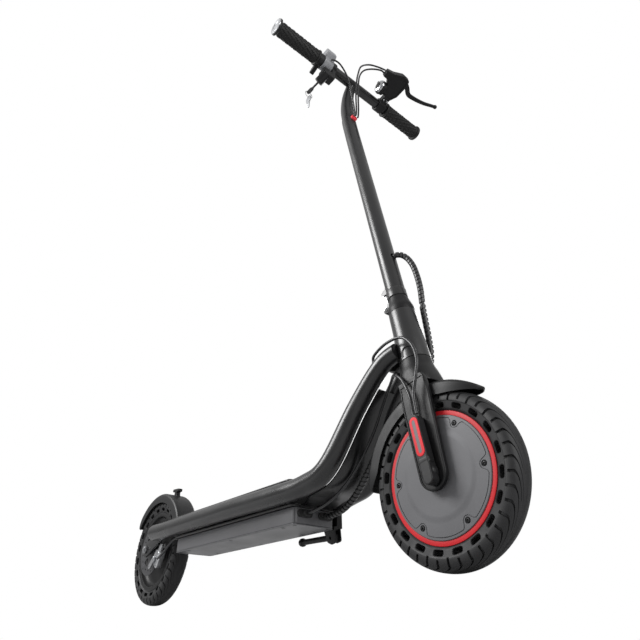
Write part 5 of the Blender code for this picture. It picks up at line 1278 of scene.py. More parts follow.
@dataclass
class Fork:
    """Cast fork, its covers with reflectors, and the embossed line of each blade."""

    blade_inside: float = 0.0265
    blade_outside: float = 0.035
    end_radius: float = 0.0245
    crown_low: float = 0.1475
    crown_top: float = 0.201
    rim_width: float = 0.0034
    rim_height: float = 0.0012
    steerer_radius: float = 0.0143
    steerer_top: float = 0.315
    axle_bore: float = 0.0063
    cover_middle: float = 0.003
    cover_half: float = 0.0085
    cover_low: float = -0.02
    cover_high: float = 0.088
    cover_face: float = 0.0515
    foot_radius: float = 0.013
    strip_low: float = 0.0215
    strip_high: float = 0.083
    strip_half: float = 0.0076
    strip_border: float = 0.0046

    def blade(self) -> Outline:
        """Outline of a blade as (forward, up) points.

        Returns:
            The outline, front edge first.
        """
        low, reach = self.crown_low, self.end_radius
        front = curve_through([(reach, 0), (0.0262, 0.028), (0.0285, 0.06), (0.0305, 0.092),
            (0.0325, low - 0.026), (0.0318, low), (0.027, low + 0.011)], 6)
        back = curve_through([(-0.023, low + 0.011), (-0.0215, low - 0.004), (-0.0235, low - 0.024),
            (-reach, 0.06), (-reach, 0)], 6)
        turns = [pi + pi * k / 28 for k in range(1, 28)]
        return [*front, *back, *[(reach * cos(a), reach * sin(a)) for a in turns]]

    def casting(self) -> Object:
        """Crown, blades and steerer melted into one casting, then bored and embossed.

        Returns:
            The fork's object.
        """
        low, top = self.crown_low, self.crown_top
        sections = [(low, 0.033, 0.0346, 0.0306, 3.0), (low + 0.012, 0.033, 0.0346, 0.03, 2.8),
            (low + 0.026, 0.0312, 0.0332, 0.0292, 2.4), (top - 0.014, 0.0288, 0.0298, 0.0282, 2.1),
            (top, 0.028, 0.028, 0.028, 2.0)]
        shape = loft([oval_ring(*section) for section in curve_through(sections, 4)])
        shape.add(spun([(self.steerer_radius, top - 0.01), (self.steerer_radius, self.steerer_top)]))
        shape.add(disc(0.008, 0.1425, low + 0.004))
        outline = mirrored(self.blade())
        for side in Side:
            shape.add(plate(outline, self.blade_inside, self.blade_outside, 0.0014), flank(Matrix(), side))
        item = cast_together(build_mesh("fork_casting", shape, STEERING), 0.0009, 7)
        bore = disc(self.axle_bore, -0.05, 0.05)
        cut(item, bore, STEERING @ ALONG_Y)
        field_shape = [(x, y) for x, y in inset(outline, self.rim_width) if y > -low - 0.004]
        for side in Side:
            recess = plate(field_shape, self.blade_outside - self.rim_height, self.blade_outside + 0.003)
            cut(item, recess, flank(STEERING, side))
        return item

    def build(self) -> None:
        """Makes every piece of the fork."""
        dress(self.casting(), BLACK_CAST, Body.STEERING, "fork")
        inner = self.blade_outside + GAP
        low, high = -self.cover_low - self.cover_half, -self.cover_high + self.cover_half
        shell = stadium((self.cover_middle, low), (self.cover_middle, high), self.cover_half)
        strip = stadium((self.cover_middle, -self.strip_low - self.strip_half),
            (self.cover_middle, -self.strip_high + self.strip_half), self.strip_half)
        seat = self.cover_face - 0.0007
        for side in Side:
            place = flank(STEERING, side)
            cover = plate(shell, inner, self.cover_face, 0.0014, 6)
            block = rounded(mm((-8.5, -11, 2), (13.5, -11, 2), (11.8, -20.6, 3), (-5.8, -20.6, 3)))
            cover.add(plate(block, inner, self.cover_face + 0.0002, 0.003, 1))
            cover.add(spun([(self.foot_radius, inner), (self.foot_radius, inner + 0.006),
                (0.0122, inner + 0.0098), (0.01, inner + 0.0128), (0.006, inner + 0.0144),
                (0.002, inner + 0.0148)]))
            item = cast_together(build_mesh(side.word + "_cover_housing", cover, place), 0.0006, 2)
            cut(item, plate(inset(strip, -GAP), seat, self.cover_face + 0.004), place)
            cut(item, disc(0.0103, inner - 0.002, 0.0425), place)
            dress(item, BLACK_ABS, Body.STEERING, side.word + "_fork_cover")
            lens = build_mesh(side.word + "_lens", plate(strip, seat + GAP, seat + 0.0014, 0.0004), place)
            window = inset(strip, self.strip_border)
            cut(lens, plate(window, seat + 0.0011, seat + 0.004), place)
            dress(lens, RED_PRISM, Body.STEERING, side.word + "_reflector")
            make(side.word + "_lens_insert", plate(inset(window, 0.0001), seat + 0.001, seat + 0.0013,
                0.0001), place, GREY_INSERT, Body.STEERING)


@dataclass
class Mudguard:
    """Arched mudguard with rounded shoulders and skirts that run out towards its ends."""

    start: float
    end: float
    half_width: float
    front_taper: float
    rear_taper: float
    tip: float
    radius: float = 0.1422
    thickness: float = 0.0018
    skirt: float = 0.023
    corner: float = 0.007
    steps: int = 110

    def skin(self) -> Skin:
        """Channel section carried round the wheel from its front tip to its rear edge.

        Returns:
            The closed skin.
        """
        rings = []
        for k in range(self.steps + 1):
            share = k / self.steps
            angle = self.start + (self.end - self.start) * share
            away = 1.0 - min(1.0, share / self.front_taper, (1.0 - share) / self.rear_taper)
            ease = sqrt(1.0 - away * away)
            narrow = self.tip if share < 0.5 else 0.72
            width = self.half_width * (narrow + (1 - narrow) * ease)
            corner = min(self.corner * (0.45 + 0.55 * ease), width * 0.8)
            depth = corner + 0.001 + (self.skirt - corner - 0.001) * sin(pi / 2 * (1.0 - away))
            half = [(-width, self.radius - depth), (-width, self.radius - (depth + corner) / 2)]
            half += [(-width + corner - corner * cos(a), self.radius - corner + corner * sin(a))
                for a in (pi / 2 * j / 6 for j in range(7))]
            half += [(-(width - corner) * t, self.radius) for t in (0.6, 0.2)]
            outer = half + [(-w, r) for w, r in reversed(half)]
            low = self.radius - depth + 1e-6
            thin = self.thickness
            inner = [(w * (width - thin) / width, r - thin * (r > low)) for w, r in outer]
            direction = Vector((cos(angle), 0, sin(angle)))
            rings.append([direction * r + Vector((0, w, 0)) for w, r in outer + inner[::-1]])
        return loft(rings)


@dataclass
class Fenders:
    """Front mudguard on the fork, rear mudguard with the catch for the folded handlebar."""

    front: Mudguard = field(default_factory=lambda: Mudguard(radians(53.0) - RAKE, radians(179.0) - RAKE,
        0.0252, 0.24, 0.12, 0.06))
    rear: Mudguard = field(default_factory=lambda: Mudguard(radians(9.5), radians(151.0), 0.028, 0.02, 0.12,
        0.72))
    tab_height: float = 0.025

    def build(self) -> None:
        """Makes both mudguards."""
        make("front_guard", self.front.skin(), STEERING, BLACK_ABS, Body.STEERING, "front_fender")
        rear = build_mesh("rear_guard", self.rear.skin(), REAR_HUB)
        top = self.rear.radius
        hook = rounded([(0.041, top - 0.015, 0), (0.06, top - 0.019, 0), (0.0545, top - 0.006, 0.003),
            (0.053, top, 0.002), (0.064, top + 0.0008, 0.002), (0.064, top + 0.0078, 0.002),
            (0.031, top + 0.0106, 0.003), (0.03, top + 0.003, 0.003), (0.0425, top + 0.002, 0.003)])
        place = REAR_HUB @ ALONG_Y
        join(rear, plate(mirrored(hook), -0.006, 0.006, 0.0012), place)
        tab = rounded([(0.1345, self.tab_height, 0), (0.1797, self.tab_height, 0),
            (0.1797, self.tab_height + 0.003, 0), (0.1345, self.tab_height + 0.003, 0)])
        join(rear, plate(mirrored(tab), -0.02, 0.02, 0.0005), place)
        dress(rear, BLACK_ABS, Body.FRAME, "rear_fender")


@dataclass
class FrameTubes:
    """The two swept deck tubes with their dropouts, and the head tube that joins them."""

    spread: float = 0.0606
    level: float = 0.155
    radius: float = 0.019
    head_low_radius: float = 0.028
    head_high_radius: float = 0.0243
    head_low: float = 0.2016
    head_top: float = 0.3085
    bearing_seat: float = 0.0216
    head_bore: float = 0.017
    bearing_depth: float = 0.0091
    gusset_half: float = 0.0082
    dropout_inside: float = 0.038
    dropout_outside: float = 0.044
    cable_hole: tuple[float, float, float] = (0.369, -0.0315, 0.336)
    cable_hole_radius: float = 0.0033

    def path(self, side: Side, spans: int) -> tuple[list[Vector], list[float]]:
        """Centre line and radii of one tube, from its rear end to the head.

        Args:
            side: Which tube.
            spans: Pieces between two knots.

        Returns:
            The centres and the radii.
        """
        rear, front, y, z = -WHEELBASE / 2, WHEELBASE / 2, self.spread, self.level
        knots = [(rear + 0.084, y, z + 0.001, self.radius), (rear + 0.15, y, z, self.radius),
            (rear + 0.3, y, z, self.radius), (rear + 0.45, y, z, self.radius),
            (front - 0.346, y - 0.0016, z - 0.001, self.radius),
            (front - 0.266, y - 0.0053, z + 0.0029, 0.0186), (front - 0.206, y - 0.0083, z + 0.0242,
            0.018), (front - 0.146, y - 0.0253, z + 0.1169, 0.017),
            (front - 0.086, y - 0.0321, z + 0.1775, 0.0162), (front - 0.04, y - 0.04, z + 0.196, 0.016)]
        marks = curve_through(knots, spans)
        return [Vector((p[0], p[1] * side.value, p[2])) for p in marks], [p[3] for p in marks]

    def head_profile(self) -> Outline:
        """Outer (radius, height) points of the head tube.

        Returns:
            The points, from the bottom up.
        """
        low = self.head_low
        knots = [(self.head_low_radius, low), (self.head_low_radius - 0.0006, low + 0.032),
            (self.head_high_radius + 0.001, self.head_top - 0.042), (self.head_high_radius, self.head_top)]
        return curve_through(knots, 6)

    def tube(self, side: Side) -> Object:
        """One tube with its domed end and dropout, cut to fit the head.

        Args:
            side: Which tube.

        Returns:
            The tube's object.
        """
        centres, radii = self.path(side, 10)
        ahead = (centres[1] - centres[0]).normalized()
        turns = [pi / 2 * (k + 0.35) / 8 for k in range(8)]
        dome = [centres[0] - ahead * radii[0] * cos(a) for a in turns]
        skin = sweep(dome + centres, [radii[0] * sin(a) for a in turns] + radii, 48)
        item = build_mesh(side.word + "_tube", skin, sharp=45.0)
        arm = rounded(mm((0, 17, 4), (-12, 14, 6), (-18, 0, 8), (-12, -14, 6), (0, -18, 8), (16, -13, 6),
            (78, 13, 4), (100, 16, 3), (100, 36, 3), (60, 40, 4)))
        join(item, plate(mirrored(arm), self.dropout_inside, self.dropout_outside, 0.001),
            flank(REAR_HUB, side))
        cut(item, disc(0.0063, -0.06, 0.06), REAR_HUB @ ALONG_Y)
        head = spun([(r + GAP, h) for r, h in self.head_profile()], 96)
        cut(item, head, STEERING)
        beyond = plate(mm((-13, -60), (60, -60), (60, 60), (-13, 60)), 0.15, 0.34)
        cut(item, beyond, STEERING)
        if side is Side.RIGHT:
            hole = disc(self.cable_hole_radius, -0.014, 0.014, steps=24)
            cut(item, hole, Matrix.Translation(self.cable_hole))
        return item

    def head(self) -> Object:
        """Head tube with its bearing seats and gusset, and the raised line round its lower right side.

        Returns:
            The head tube's object.
        """
        low, top, seat, depth = self.head_low, self.head_top, self.bearing_seat, self.bearing_depth
        profile = self.head_profile() + [(seat, top), (seat, top - depth), (self.head_bore, top - depth),
            (self.head_bore, low + depth), (seat, low + depth), (seat, low)]
        web = rounded(mm((-23.5, 208, 0), (-40, 206, 4), (-60, 218, 6), (-52, 244, 6), (-23.5, 264, 0)))
        item = build_mesh("head_casting", lathe(profile, 128), STEERING)
        join(item, plate(mirrored(web), -self.gusset_half, self.gusset_half, 0.002), STEERING @ ALONG_Y)
        ridge = []
        for turn, height in ((-94, 0.0045), (-92, 0.012), (-86, 0.0178), (-76, 0.0205), (-64, 0.0205),
                (-54, 0.0178), (-48, 0.012), (-46, 0.0045)):
            angle = radians(turn)
            ridge.append((self.head_low_radius * cos(angle), self.head_low_radius * sin(angle),
                low + height))
        return join(item, sweep(curve_through(ridge, 6), 0.0015, 12), STEERING)

    def build(self) -> None:
        """Makes both tubes and the head."""
        for side in Side:
            dress(self.tube(side), BLACK_COAT, Body.FRAME, side.word + "_frame_tube")
        dress(self.head(), BLACK_COAT, Body.FRAME, "head_tube")


@dataclass
class FoldJoint:
    """Slotted fold base with its pin, and the lever on the back of the stem."""

    low: float = 0.3091
    seam: float = 0.3454
    pin_back: float = -0.02
    pin_height: float = 0.327
    knuckle: float = 0.0062
    cheek_half: float = 0.016
    tongue_half: float = 0.008
    lever_back: float = -0.025
    lever_height: float = 0.374
    lever_half: float = 0.0062

    def base(self) -> Object:
        """Casting on the steerer: an oval block with two cheeks round the tongue's slot.

        Returns:
            The base's object.
        """
        sections = [(self.low, 0.0243, 0.0243, 0.0243, 2.0),
            (self.low + 0.01, 0.0245, 0.02385, 0.0232, 2.0), (self.seam - 0.014, 0.0215, 0.02075, 0.02,
            2.0), (self.seam - 0.0003, 0.0184, 0.0183, 0.0182, 2.0)]
        shape = loft([oval_ring(*section) for section in curve_through(sections, 5)])
        cheeks = disc(self.knuckle + 0.0004, -self.cheek_half, self.cheek_half, 0.001, x=self.pin_back,
            y=-self.pin_height)
        shape.add(cheeks, ALONG_Y)
        item = cast_together(build_mesh("fold_casting", shape, STEERING), 0.0006, 2)
        back = self.pin_back + self.knuckle + 0.0016
        half = self.tongue_half + GAP
        slot = plate([(-0.04, -half), (back, -half), (back, half), (-0.04, half)],
            self.pin_height - self.knuckle - 0.0005, self.seam + 0.004)
        cut(item, slot, STEERING)
        cut(item, disc(0.0146, self.low - 0.002, 0.3153), STEERING)
        pin = disc(0.003, -self.cheek_half - 0.001, self.cheek_half + 0.001, 0.0005, x=self.pin_back,
            y=-self.pin_height, steps=32)
        return join(item, pin, STEERING @ ALONG_Y)

    def lever(self) -> Object:
        """Pressed lever: round eye, flat blade and curled tip.

        Returns:
            The lever's object.
        """
        eye, back, top = 0.0038, self.lever_back, self.lever_height
        arc = [(back + eye * cos(a), top + eye * sin(a)) for a in (pi * k / 16 for k in range(17))]
        blade = curve_through([(back - eye, top), (back - eye - 0.0004, top - 0.01),
            (back - eye - 0.0006, top - 0.025), (back - eye - 0.004, top - 0.033),
            (back - eye - 0.002, top - 0.035), (back - eye + 0.002, top - 0.031),
            (back + 0.0049, top - 0.024), (back + 0.0049, top - 0.01), (back + eye, top)], 5)[1:-1]
        outline = arc + blade
        item = build_mesh("lever_pressing", plate(mirrored(outline), -self.lever_half, self.lever_half,
            0.0008), STEERING @ ALONG_Y)
        return cut(item, disc(0.0019, -0.02, 0.02, x=back, y=-top, steps=24), STEERING @ ALONG_Y)

    def build(self) -> None:
        """Makes the base and the lever."""
        dress(self.base(), BLACK_CAST, Body.STEERING, "fold_base")
        dress(self.lever(), BRIGHT_CAST, Body.FOLD_LEVER, "fold_lever")


@dataclass
class Stem:
    """Stem tube with its collar, tongue, lever ears, swan neck and cable grommet."""

    radius: float = 0.018
    foot: float = 0.346
    collar_top: float = 0.366
    bar_seat: float = 0.0128
    loom_exit: float = 0.4475
    loom_hole: float = 0.0073
    grommet_height: float = 0.96
    grommet_radius: float = 0.0092
    joint: FoldJoint = field(default_factory=FoldJoint)

    def body(self) -> Object:
        """The stem as one welded and filed piece.

        Returns:
            The stem's object.
        """
        top = BAR_HEIGHT
        knots = [(0.0, self.foot, self.radius), (0.0, 0.64, self.radius), (0.0, 0.93, self.radius),
            (0.0026, top - 0.12, 0.018), (0.005, top - 0.084, 0.0176), (0.0122, top - 0.052, 0.0166),
            (0.0215, top - 0.027, 0.015), (0.034, top - 0.008, 0.013), (0.045, top + 0.002, 0.012)]
        marks = curve_through(knots, 8)
        skin = sweep([Vector((f, 0, s)) for f, s, _ in marks], [p[2] for p in marks], 72)
        item = build_mesh("stem_tube", skin, STEERING, 45.0)
        for height, radius in ((self.loom_exit, self.loom_hole),
                (self.grommet_height, self.grommet_radius)):
            hole = disc(radius, 0.008, 0.03, steps=40)
            cut(item, hole, facing_front(height), "MANIFOLD")
        collar = [(self.radius + out, s) for out, s in ((0.0002, self.foot), (0.0012, self.foot + 0.0014),
            (0.0012, self.collar_top - 0.003), (0.0002, self.collar_top))]
        join(item, spun(collar, 72), STEERING)
        cut(item, disc(self.bar_seat, -0.06, 0.06, x=BAR_FORWARD, y=-BAR_HEIGHT, steps=64),
            STEERING @ ALONG_Y)
        joint = self.joint
        back, height, knuckle = joint.pin_back, joint.pin_height, joint.knuckle
        tongue = [(back + knuckle, height), (back + knuckle, joint.seam + 0.004),
            (back - knuckle + 0.0035, joint.seam + 0.004)]
        tongue += [(back + knuckle * cos(a), height + knuckle * sin(a))
            for a in (pi + pi * k / 20 for k in range(20))]
        join(item, plate(mirrored(tongue), -joint.tongue_half, joint.tongue_half), STEERING @ ALONG_Y)
        cut(item, disc(0.0033, -0.02, 0.02, x=back, y=-height, steps=24), STEERING @ ALONG_Y)
        pivot, level = joint.lever_back, joint.lever_height
        ear = rounded([(-0.015, level - 0.006, 0), (pivot, level - 0.0045, 0.003),
            (pivot - 0.0042, level, 0.003), (pivot, level + 0.0045, 0.003), (-0.015, level + 0.01, 0)])
        ears = Skin()
        for side in Side:
            ears.add(plate(mirrored(ear), joint.lever_half + GAP, joint.lever_half + 0.0028, 0.0004),
                flank(Matrix(), side))
        ears.add(disc(0.0016, -joint.lever_half - 0.002, joint.lever_half + 0.002, x=pivot, y=-level,
            steps=20), ALONG_Y)
        return join(item, ears, STEERING)

    def build(self) -> None:
        """Makes the stem and the grommet where the control cables go in."""
        dress(self.body(), BLACK_COAT, Body.STEM, "stem")
        reach = self.grommet_radius - GAP
        plug = spun([(reach, 0.014), (reach, 0.02), (reach - 0.0004, 0.0209), (reach - 0.0015, 0.0216),
            (reach - 0.0042, 0.0218)])
        make("grommet_plug", plug, facing_front(self.grommet_height) @ at(0, 0, 0.0015), RED_RUBBER,
            Body.STEM, "cable_grommet")


@dataclass
class Handlebar:
    """Bar, ribbed grips and end caps."""

    bar_radius: float = 0.0125
    bar_half: float = 0.248
    grip_start: float = 0.122
    grip_end: float = 0.251
    grip_radius: float = 0.0167
    flange: float = 0.0213
    cap_radius: float = 0.0205
    cap_face: float = 0.254
    rib_rows: int = 9
    rib_count: int = 14
    rib_pitch: float = 0.0125
    rib_length: float = 0.0117
    rib_wave: float = 0.0014
    rib_radius: float = 0.0016

    def rib(self) -> Skin:
        """One short wavy rib beside the grip's axis.

        Returns:
            The rib's skin.
        """
        path = []
        for k in range(11):
            share = k / 10
            path.append(Vector((self.grip_radius + 0.0001, self.rib_wave * sin(tau * share),
                self.rib_length * share)))
        sizes = [self.rib_radius * min(1.0, 0.45 + 2.5 * min(k, 10 - k) / 10) for k in range(11)]
        return sweep(path, sizes, 8)

    def build(self) -> None:
        """Makes every piece of the handlebar."""
        inner = self.bar_radius - 0.0022
        tube = lathe([(self.bar_radius, -self.bar_half), (self.bar_radius, self.bar_half),
            (inner, self.bar_half), (inner, -self.bar_half)], 72)
        make("bar_tube", tube, BAR @ ALONG_Y, BLACK_COAT, Body.STEM, "handlebar")
        bore, start, end = self.bar_radius + GAP, self.grip_start, self.grip_end
        for side in Side:
            place = flank(BAR, side)
            profile = rounded([(bore, start, 0), (self.flange - 0.001, start, 0.001),
                (self.flange - 0.001, start + 0.0045, 0.0015), (self.grip_radius, start + 0.0062, 0.0015),
                (self.grip_radius, end - 0.007, 0.0015), (self.flange, end - 0.0045, 0.0015),
                (self.flange, end, 0.0008), (bore, end, 0)], 4)
            make(side.word + "_grip_sleeve", lathe(profile, 72), place, SOFT_RUBBER, Body.STEM,
                side.word + "_grip")
            ribs = repeated(side.word + "_grip_ribs", self.rib(), self.rib_count, SOFT_RUBBER,
                place @ at(0, 0, start + 0.0068), self.rib_rows, self.rib_pitch, 0.5)
            dress(ribs, SOFT_RUBBER, Body.STEM)
            seat = end + GAP
            cap = spun([(inner - GAP, self.bar_half - 0.012), (inner - GAP, seat),
                (self.cap_radius - 0.0004, seat), (self.cap_radius, seat + 0.0004),
                (self.cap_radius, self.cap_face - 0.0012), (self.cap_radius - 0.0006,
                self.cap_face - 0.0003), (self.cap_radius - 0.0018, self.cap_face), (0.012, self.cap_face),
                (0.0112, self.cap_face - 0.0007), (0.003, self.cap_face - 0.0007)], 72)
            finish = BRIGHT_CAST if side is Side.RIGHT else BLACK_ABS
            make(side.word + "_cap", cap, place, finish, Body.STEM, side.word + "_end_cap")


@dataclass
class BrakeLever:
    """Lever body clamped on the left of the bar, dog-leg lever, bell and striker."""

    pivot: tuple[float, float] = (0.094, 0.108)
    half: float = 0.0034
    body_half: float = 0.0085
    clamp_radius: float = 0.0175
    bell_forward: float = 0.042
    bell_radius: float = 0.0185

    def body(self) -> Object:
        """Cast body: clamp ring, lever arm and bell mount with soft fillets.

        Returns:
            The body's object.
        """
        corners = [(0.015, 0.092, 0.0), (0.03, 0.092, 0.004), (0.052, 0.08, 0.008), (0.07, 0.066, 0.006),
            (0.07, 0.05, 0.002), (0.089, 0.05, 0.002), (0.093, 0.07, 0.01), (0.104, 0.095, 0.01),
            (0.103, 0.12, 0.008), (0.08, 0.124, 0.006), (0.05, 0.123, 0.008), (0.03, 0.113, 0.008),
            (0.015, 0.113, 0.0)]
        shape = plate(rounded(corners), -self.body_half, self.body_half, 0.0024)
        shape.add(disc(self.clamp_radius, 0.091, 0.114, 0.001), ALONG_Y)
        mount = spun(mm((15, 72.5), (16.5, 73.5), (16.5, 80), (11, 83), (10, 96)))
        shape.add(mount, at(self.bell_forward, 0, 0) @ ALONG_Y)
        item = cast_together(build_mesh("lever_casting", shape, LEVER), 0.0007, 2)
        panel = rounded(mm((34, 96, 3), (56, 85, 4), (74.5, 70, 3), (88, 70, 4), (98.5, 98, 6),
            (97.5, 116, 4), (50, 118, 4), (34, 109, 3)))
        cut(item, plate(panel, -self.body_half - 0.003, -self.body_half + 0.001), LEVER)
        gap = self.half + GAP
        slot = plate(mm((60, 96), (130, 96), (130, 150), (60, 150)), -gap, gap)
        cut(item, slot, LEVER)
        cut(item, disc(0.0128, 0.08, 0.12), LEVER @ ALONG_Y)
        pin = plate(circle(*self.pivot, 0.0025, 24), -self.body_half - 0.0002, self.body_half + 0.0002,
            0.0004)
        return join(item, pin, LEVER)

    def lever(self) -> Object:
        """Forged dog-leg lever, rounded all over, with a ball tip.

        Returns:
            The lever's object.
        """
        marks = curve_through([(*self.pivot, 0.007), (0.085, 0.129, 0.0066), (0.0735, 0.146, 0.0062),
            (0.0735, 0.166, 0.0056), (0.08, 0.2, 0.0048), (0.0885, 0.225, 0.0044),
            (0.0925, 0.237, 0.0042)], 8)
        path = [Vector((x, y)) for x, y, _ in marks]
        left, right = [], []
        for i, spot in enumerate(path):
            ahead = (path[min(i + 1, len(path) - 1)] - path[max(i - 1, 0)]).normalized()
            across = Vector((-ahead.y, ahead.x)) * marks[i][2]
            left.append(spot + across)
            right.append(spot - across)
        start = (path[0] - path[1]).normalized() * marks[0][2]
        turns = [pi * k / 12 for k in range(1, 12)]
        cap = [path[0] + start * sin(a) + (left[0] - path[0]) * cos(a) for a in turns]
        outline = right + left[::-1] + cap
        shape = plate(outline, -self.half, self.half, 0.0026, 6)
        tip = path[-1] + (path[-1] - path[-2]).normalized() * 0.0012
        ball = spun([(0.0058 * sin(a), -0.0058 * cos(a)) for a in (pi * (k + 0.3) / 16.6
            for k in range(17))], 32)
        shape.add(ball, at(tip.x, tip.y, 0))
        item = cast_together(build_mesh("lever_forging", shape, LEVER), 0.0006, 2)
        return cut(item, plate(circle(*self.pivot, 0.0028, 24), -0.02, 0.02), LEVER)

    def build(self) -> None:
        """Makes the lever, the bell and their screws."""
        dress(self.body(), BLACK_CAST, Body.STEM, "brake_lever_body")
        dress(self.lever(), BLACK_CAST, Body.BRAKE_LEVER, "brake_lever")
        for k, y in enumerate((0.097, 0.108)):
            bolt = button_screw(0.0028, 0.0022, 0.0013)
            make("clamp_bolt_%d" % k, bolt, LEVER @ at(0.0235, y, -0.0083) @ turned(pi, "X"), ZINC_PLATE,
                Body.STEM)
        place = LEVER @ at(self.bell_forward, 0, 0) @ ALONG_Y
        crown = curve_through(mm((18, 65), (16.6, 62.2), (14, 60), (9, 58.4), (3, 57.8)), 4)
        cup = spun([*mm((15, 65.5), (17.6, 65.2)), *crown], 72)
        make("bell_dome", cup, place, BRIGHT_CAST, Body.STEM, "bell_cup")
        barrel = spun([(0.0174, 0.0721), (0.0183, 0.0716), (self.bell_radius, 0.07),
            (self.bell_radius, 0.0672), (0.0182, 0.0662), (0.0176, 0.0658)], 72)
        make("bell_barrel", barrel, place, BLACK_ABS, Body.STEM)
        button = spun(mm((9.2, 59.2), (9.2, 58.2), (8.6, 57.6), (7, 57.2)), 48)
        make("bell_button", button, place, BLACK_ABS, Body.STEM)
        knob = plate(rounded(both_halves(mm((3.5, -20.5, 0), (2.8, -26.5, 1.5)), (-1, 1))), 0.064, 0.077,
            0.0009)
        striker = build_mesh("striker_knob", knob, place)
        arm = plate(mm((-3, -17), (3, -17), (3, -26.2), (-3, -26.2)), 0.074, 0.0795, 0.0006)
        dress(join(striker, arm, place), BLACK_ABS, Body.BELL, "bell_striker")


@dataclass
class Throttle:
    """Throttle housing with its key block, thumb paddle, key lock and both keys."""

    bore: float = 0.0128
    low: float = 0.079
    high: float = 0.1072
    paddle_low: float = 0.1078
    paddle_high: float = 0.1212
    lock_radius: float = 0.0115
    lock_face: float = 0.02
    key_length: float = 0.027
    ring_radius: float = 0.0108

    def across(self, name: str, shape: Skin, cell: float = 0.0006) -> Object:
        """Moulding round the bar, melted together and bored for it."""
        item = cast_together(build_mesh(name, shape, BAR), cell, 2)
        return cut(item, disc(self.bore, -0.13, -0.05), BAR @ ALONG_Y)

    def lock_place(self) -> Matrix:
        """Frame of the lock, with Z along the key and X as level as it can be.

        Returns:
            The lock's place, seen from the bar.
        """
        axis = Vector((-0.83, -0.25, -0.5)).normalized()
        across = axis.cross(Vector((0, 0, 1.0))).normalized()
        up = across.cross(axis).normalized()
        return at(-0.008, -0.094, -0.042) @ Matrix((across, -up, axis)).transposed().to_4x4()

    def build(self) -> None:
        """Makes the controls on the right side of the bar."""
        block = rounded(mm((0, -15, 0), (-8, -32, 4), (24, -32, 6), (30, -12, 6), (18, 0, 4)))
        shape = disc(0.019, -self.high, -self.low, 0.0016).moved(ALONG_Y)
        shape.add(plate(block, -self.high + 0.0005, -self.low - 0.0005, 0.002), ALONG_Y)
        dress(self.across("throttle_shell", shape), GREY_SHELL, Body.STEM, "throttle_housing")
        tab = rounded(mm((-10, 8, 0), (-15, 4, 3), (-37, 15, 3), (-34, 21.5, 3), (-12, 14.5, 3)))
        shape = disc(0.017, -self.paddle_high, -self.paddle_low, 0.0012).moved(ALONG_Y)
        shape.add(plate(tab, -self.paddle_high + 0.001, -self.paddle_low - 0.001, 0.0014), ALONG_Y)
        dress(self.across("thumb_paddle", shape), BLACK_ABS, Body.THROTTLE, "throttle_paddle")
        self.build_lock()

    def build_lock(self) -> None:
        """Makes the lock, its key, and the split ring with the spare key."""
        strap = rounded(mm((-12, 10, 0), (10, 12, 0), (6, 42, 4), (-20, 42, 4)))
        pod = rounded(mm((-19, 22.8, 3), (7, 22.8, 3), (6.5, 44, 4), (-20, 44, 4)))
        place = self.lock_place()
        shape = disc(0.0165, -0.0785, -0.066, 0.0012).moved(ALONG_Y)
        shape.add(plate(strap, -0.078, -0.0665, 0.0014), ALONG_Y)
        shape.add(plate(pod, -0.102, -0.067, 0.0016), ALONG_Y)
        shape.add(disc(self.lock_radius, -0.012, self.lock_face, 0.0014), place)
        lock = self.across("lock_shell", shape)
        cut(lock, disc(0.0042, self.lock_face - 0.006, self.lock_face + 0.004, steps=32), BAR @ place)
        dress(lock, BLACK_ABS, Body.STEM, "ignition_lock")
        tip, bow = self.lock_face - 0.0055, self.lock_face + self.key_length
        blank = rounded(both_halves([(0.0038, tip, 0.0006), (0.0038, bow - 0.009, 0.002),
            (0.0085, bow - 0.004, 0.003), (0.0085, bow + 0.008, 0.003), (0.0045, bow + 0.012, 0.003)],
            (-1, 1)))
        flat = BAR @ place @ turned(pi / 2, "Z") @ turned(pi / 2, "X")
        key = build_mesh("key_blank", plate(blank, -0.001, 0.001, 0.0003), flat)
        cut(key, disc(0.0022, -0.01, 0.01, y=bow + 0.007, steps=24), flat)
        cut(key, plate(stadium((0, tip), (0, bow - 0.01), 0.0008), 0.0006, 0.01), flat)
        dress(key, BLACK_OXIDE, Body.KEY, "ignition_key")
        hang = flat @ Vector((0, bow + 0.007, 0))
        centre = hang - Vector((0, 0, self.ring_radius))
        rings = []
        for i in range(64):
            out = Vector((0, cos(tau * i / 64), sin(tau * i / 64)))
            rings.append([centre + out * self.ring_radius + 0.0008 * (cos(tau * k / 10) * out
                + sin(tau * k / 10) * Vector((1.0, 0, 0))) for k in range(10)])
        spare = build_mesh("spare_key_set", loft(rings, loop=True))
        top = -self.ring_radius
        half = [(0.003, top - 0.038, 0.001), (0.0035, top - 0.02, 0.002), (0.0095, top - 0.014, 0.003),
            (0.0095, top - 0.003, 0.003), (0.004, top + 0.004, 0.001)]
        blank = rounded([(0, top - 0.041, 0.001), *both_halves(half, (-1, 1))])
        join(spare, plate(mirrored(blank), -0.0011, 0.0011, 0.0003), Matrix.Translation(centre) @ ALONG_Y)
        dress(spare, BRUSHED_STEEL, Body.SPARE_KEY, "spare_key")


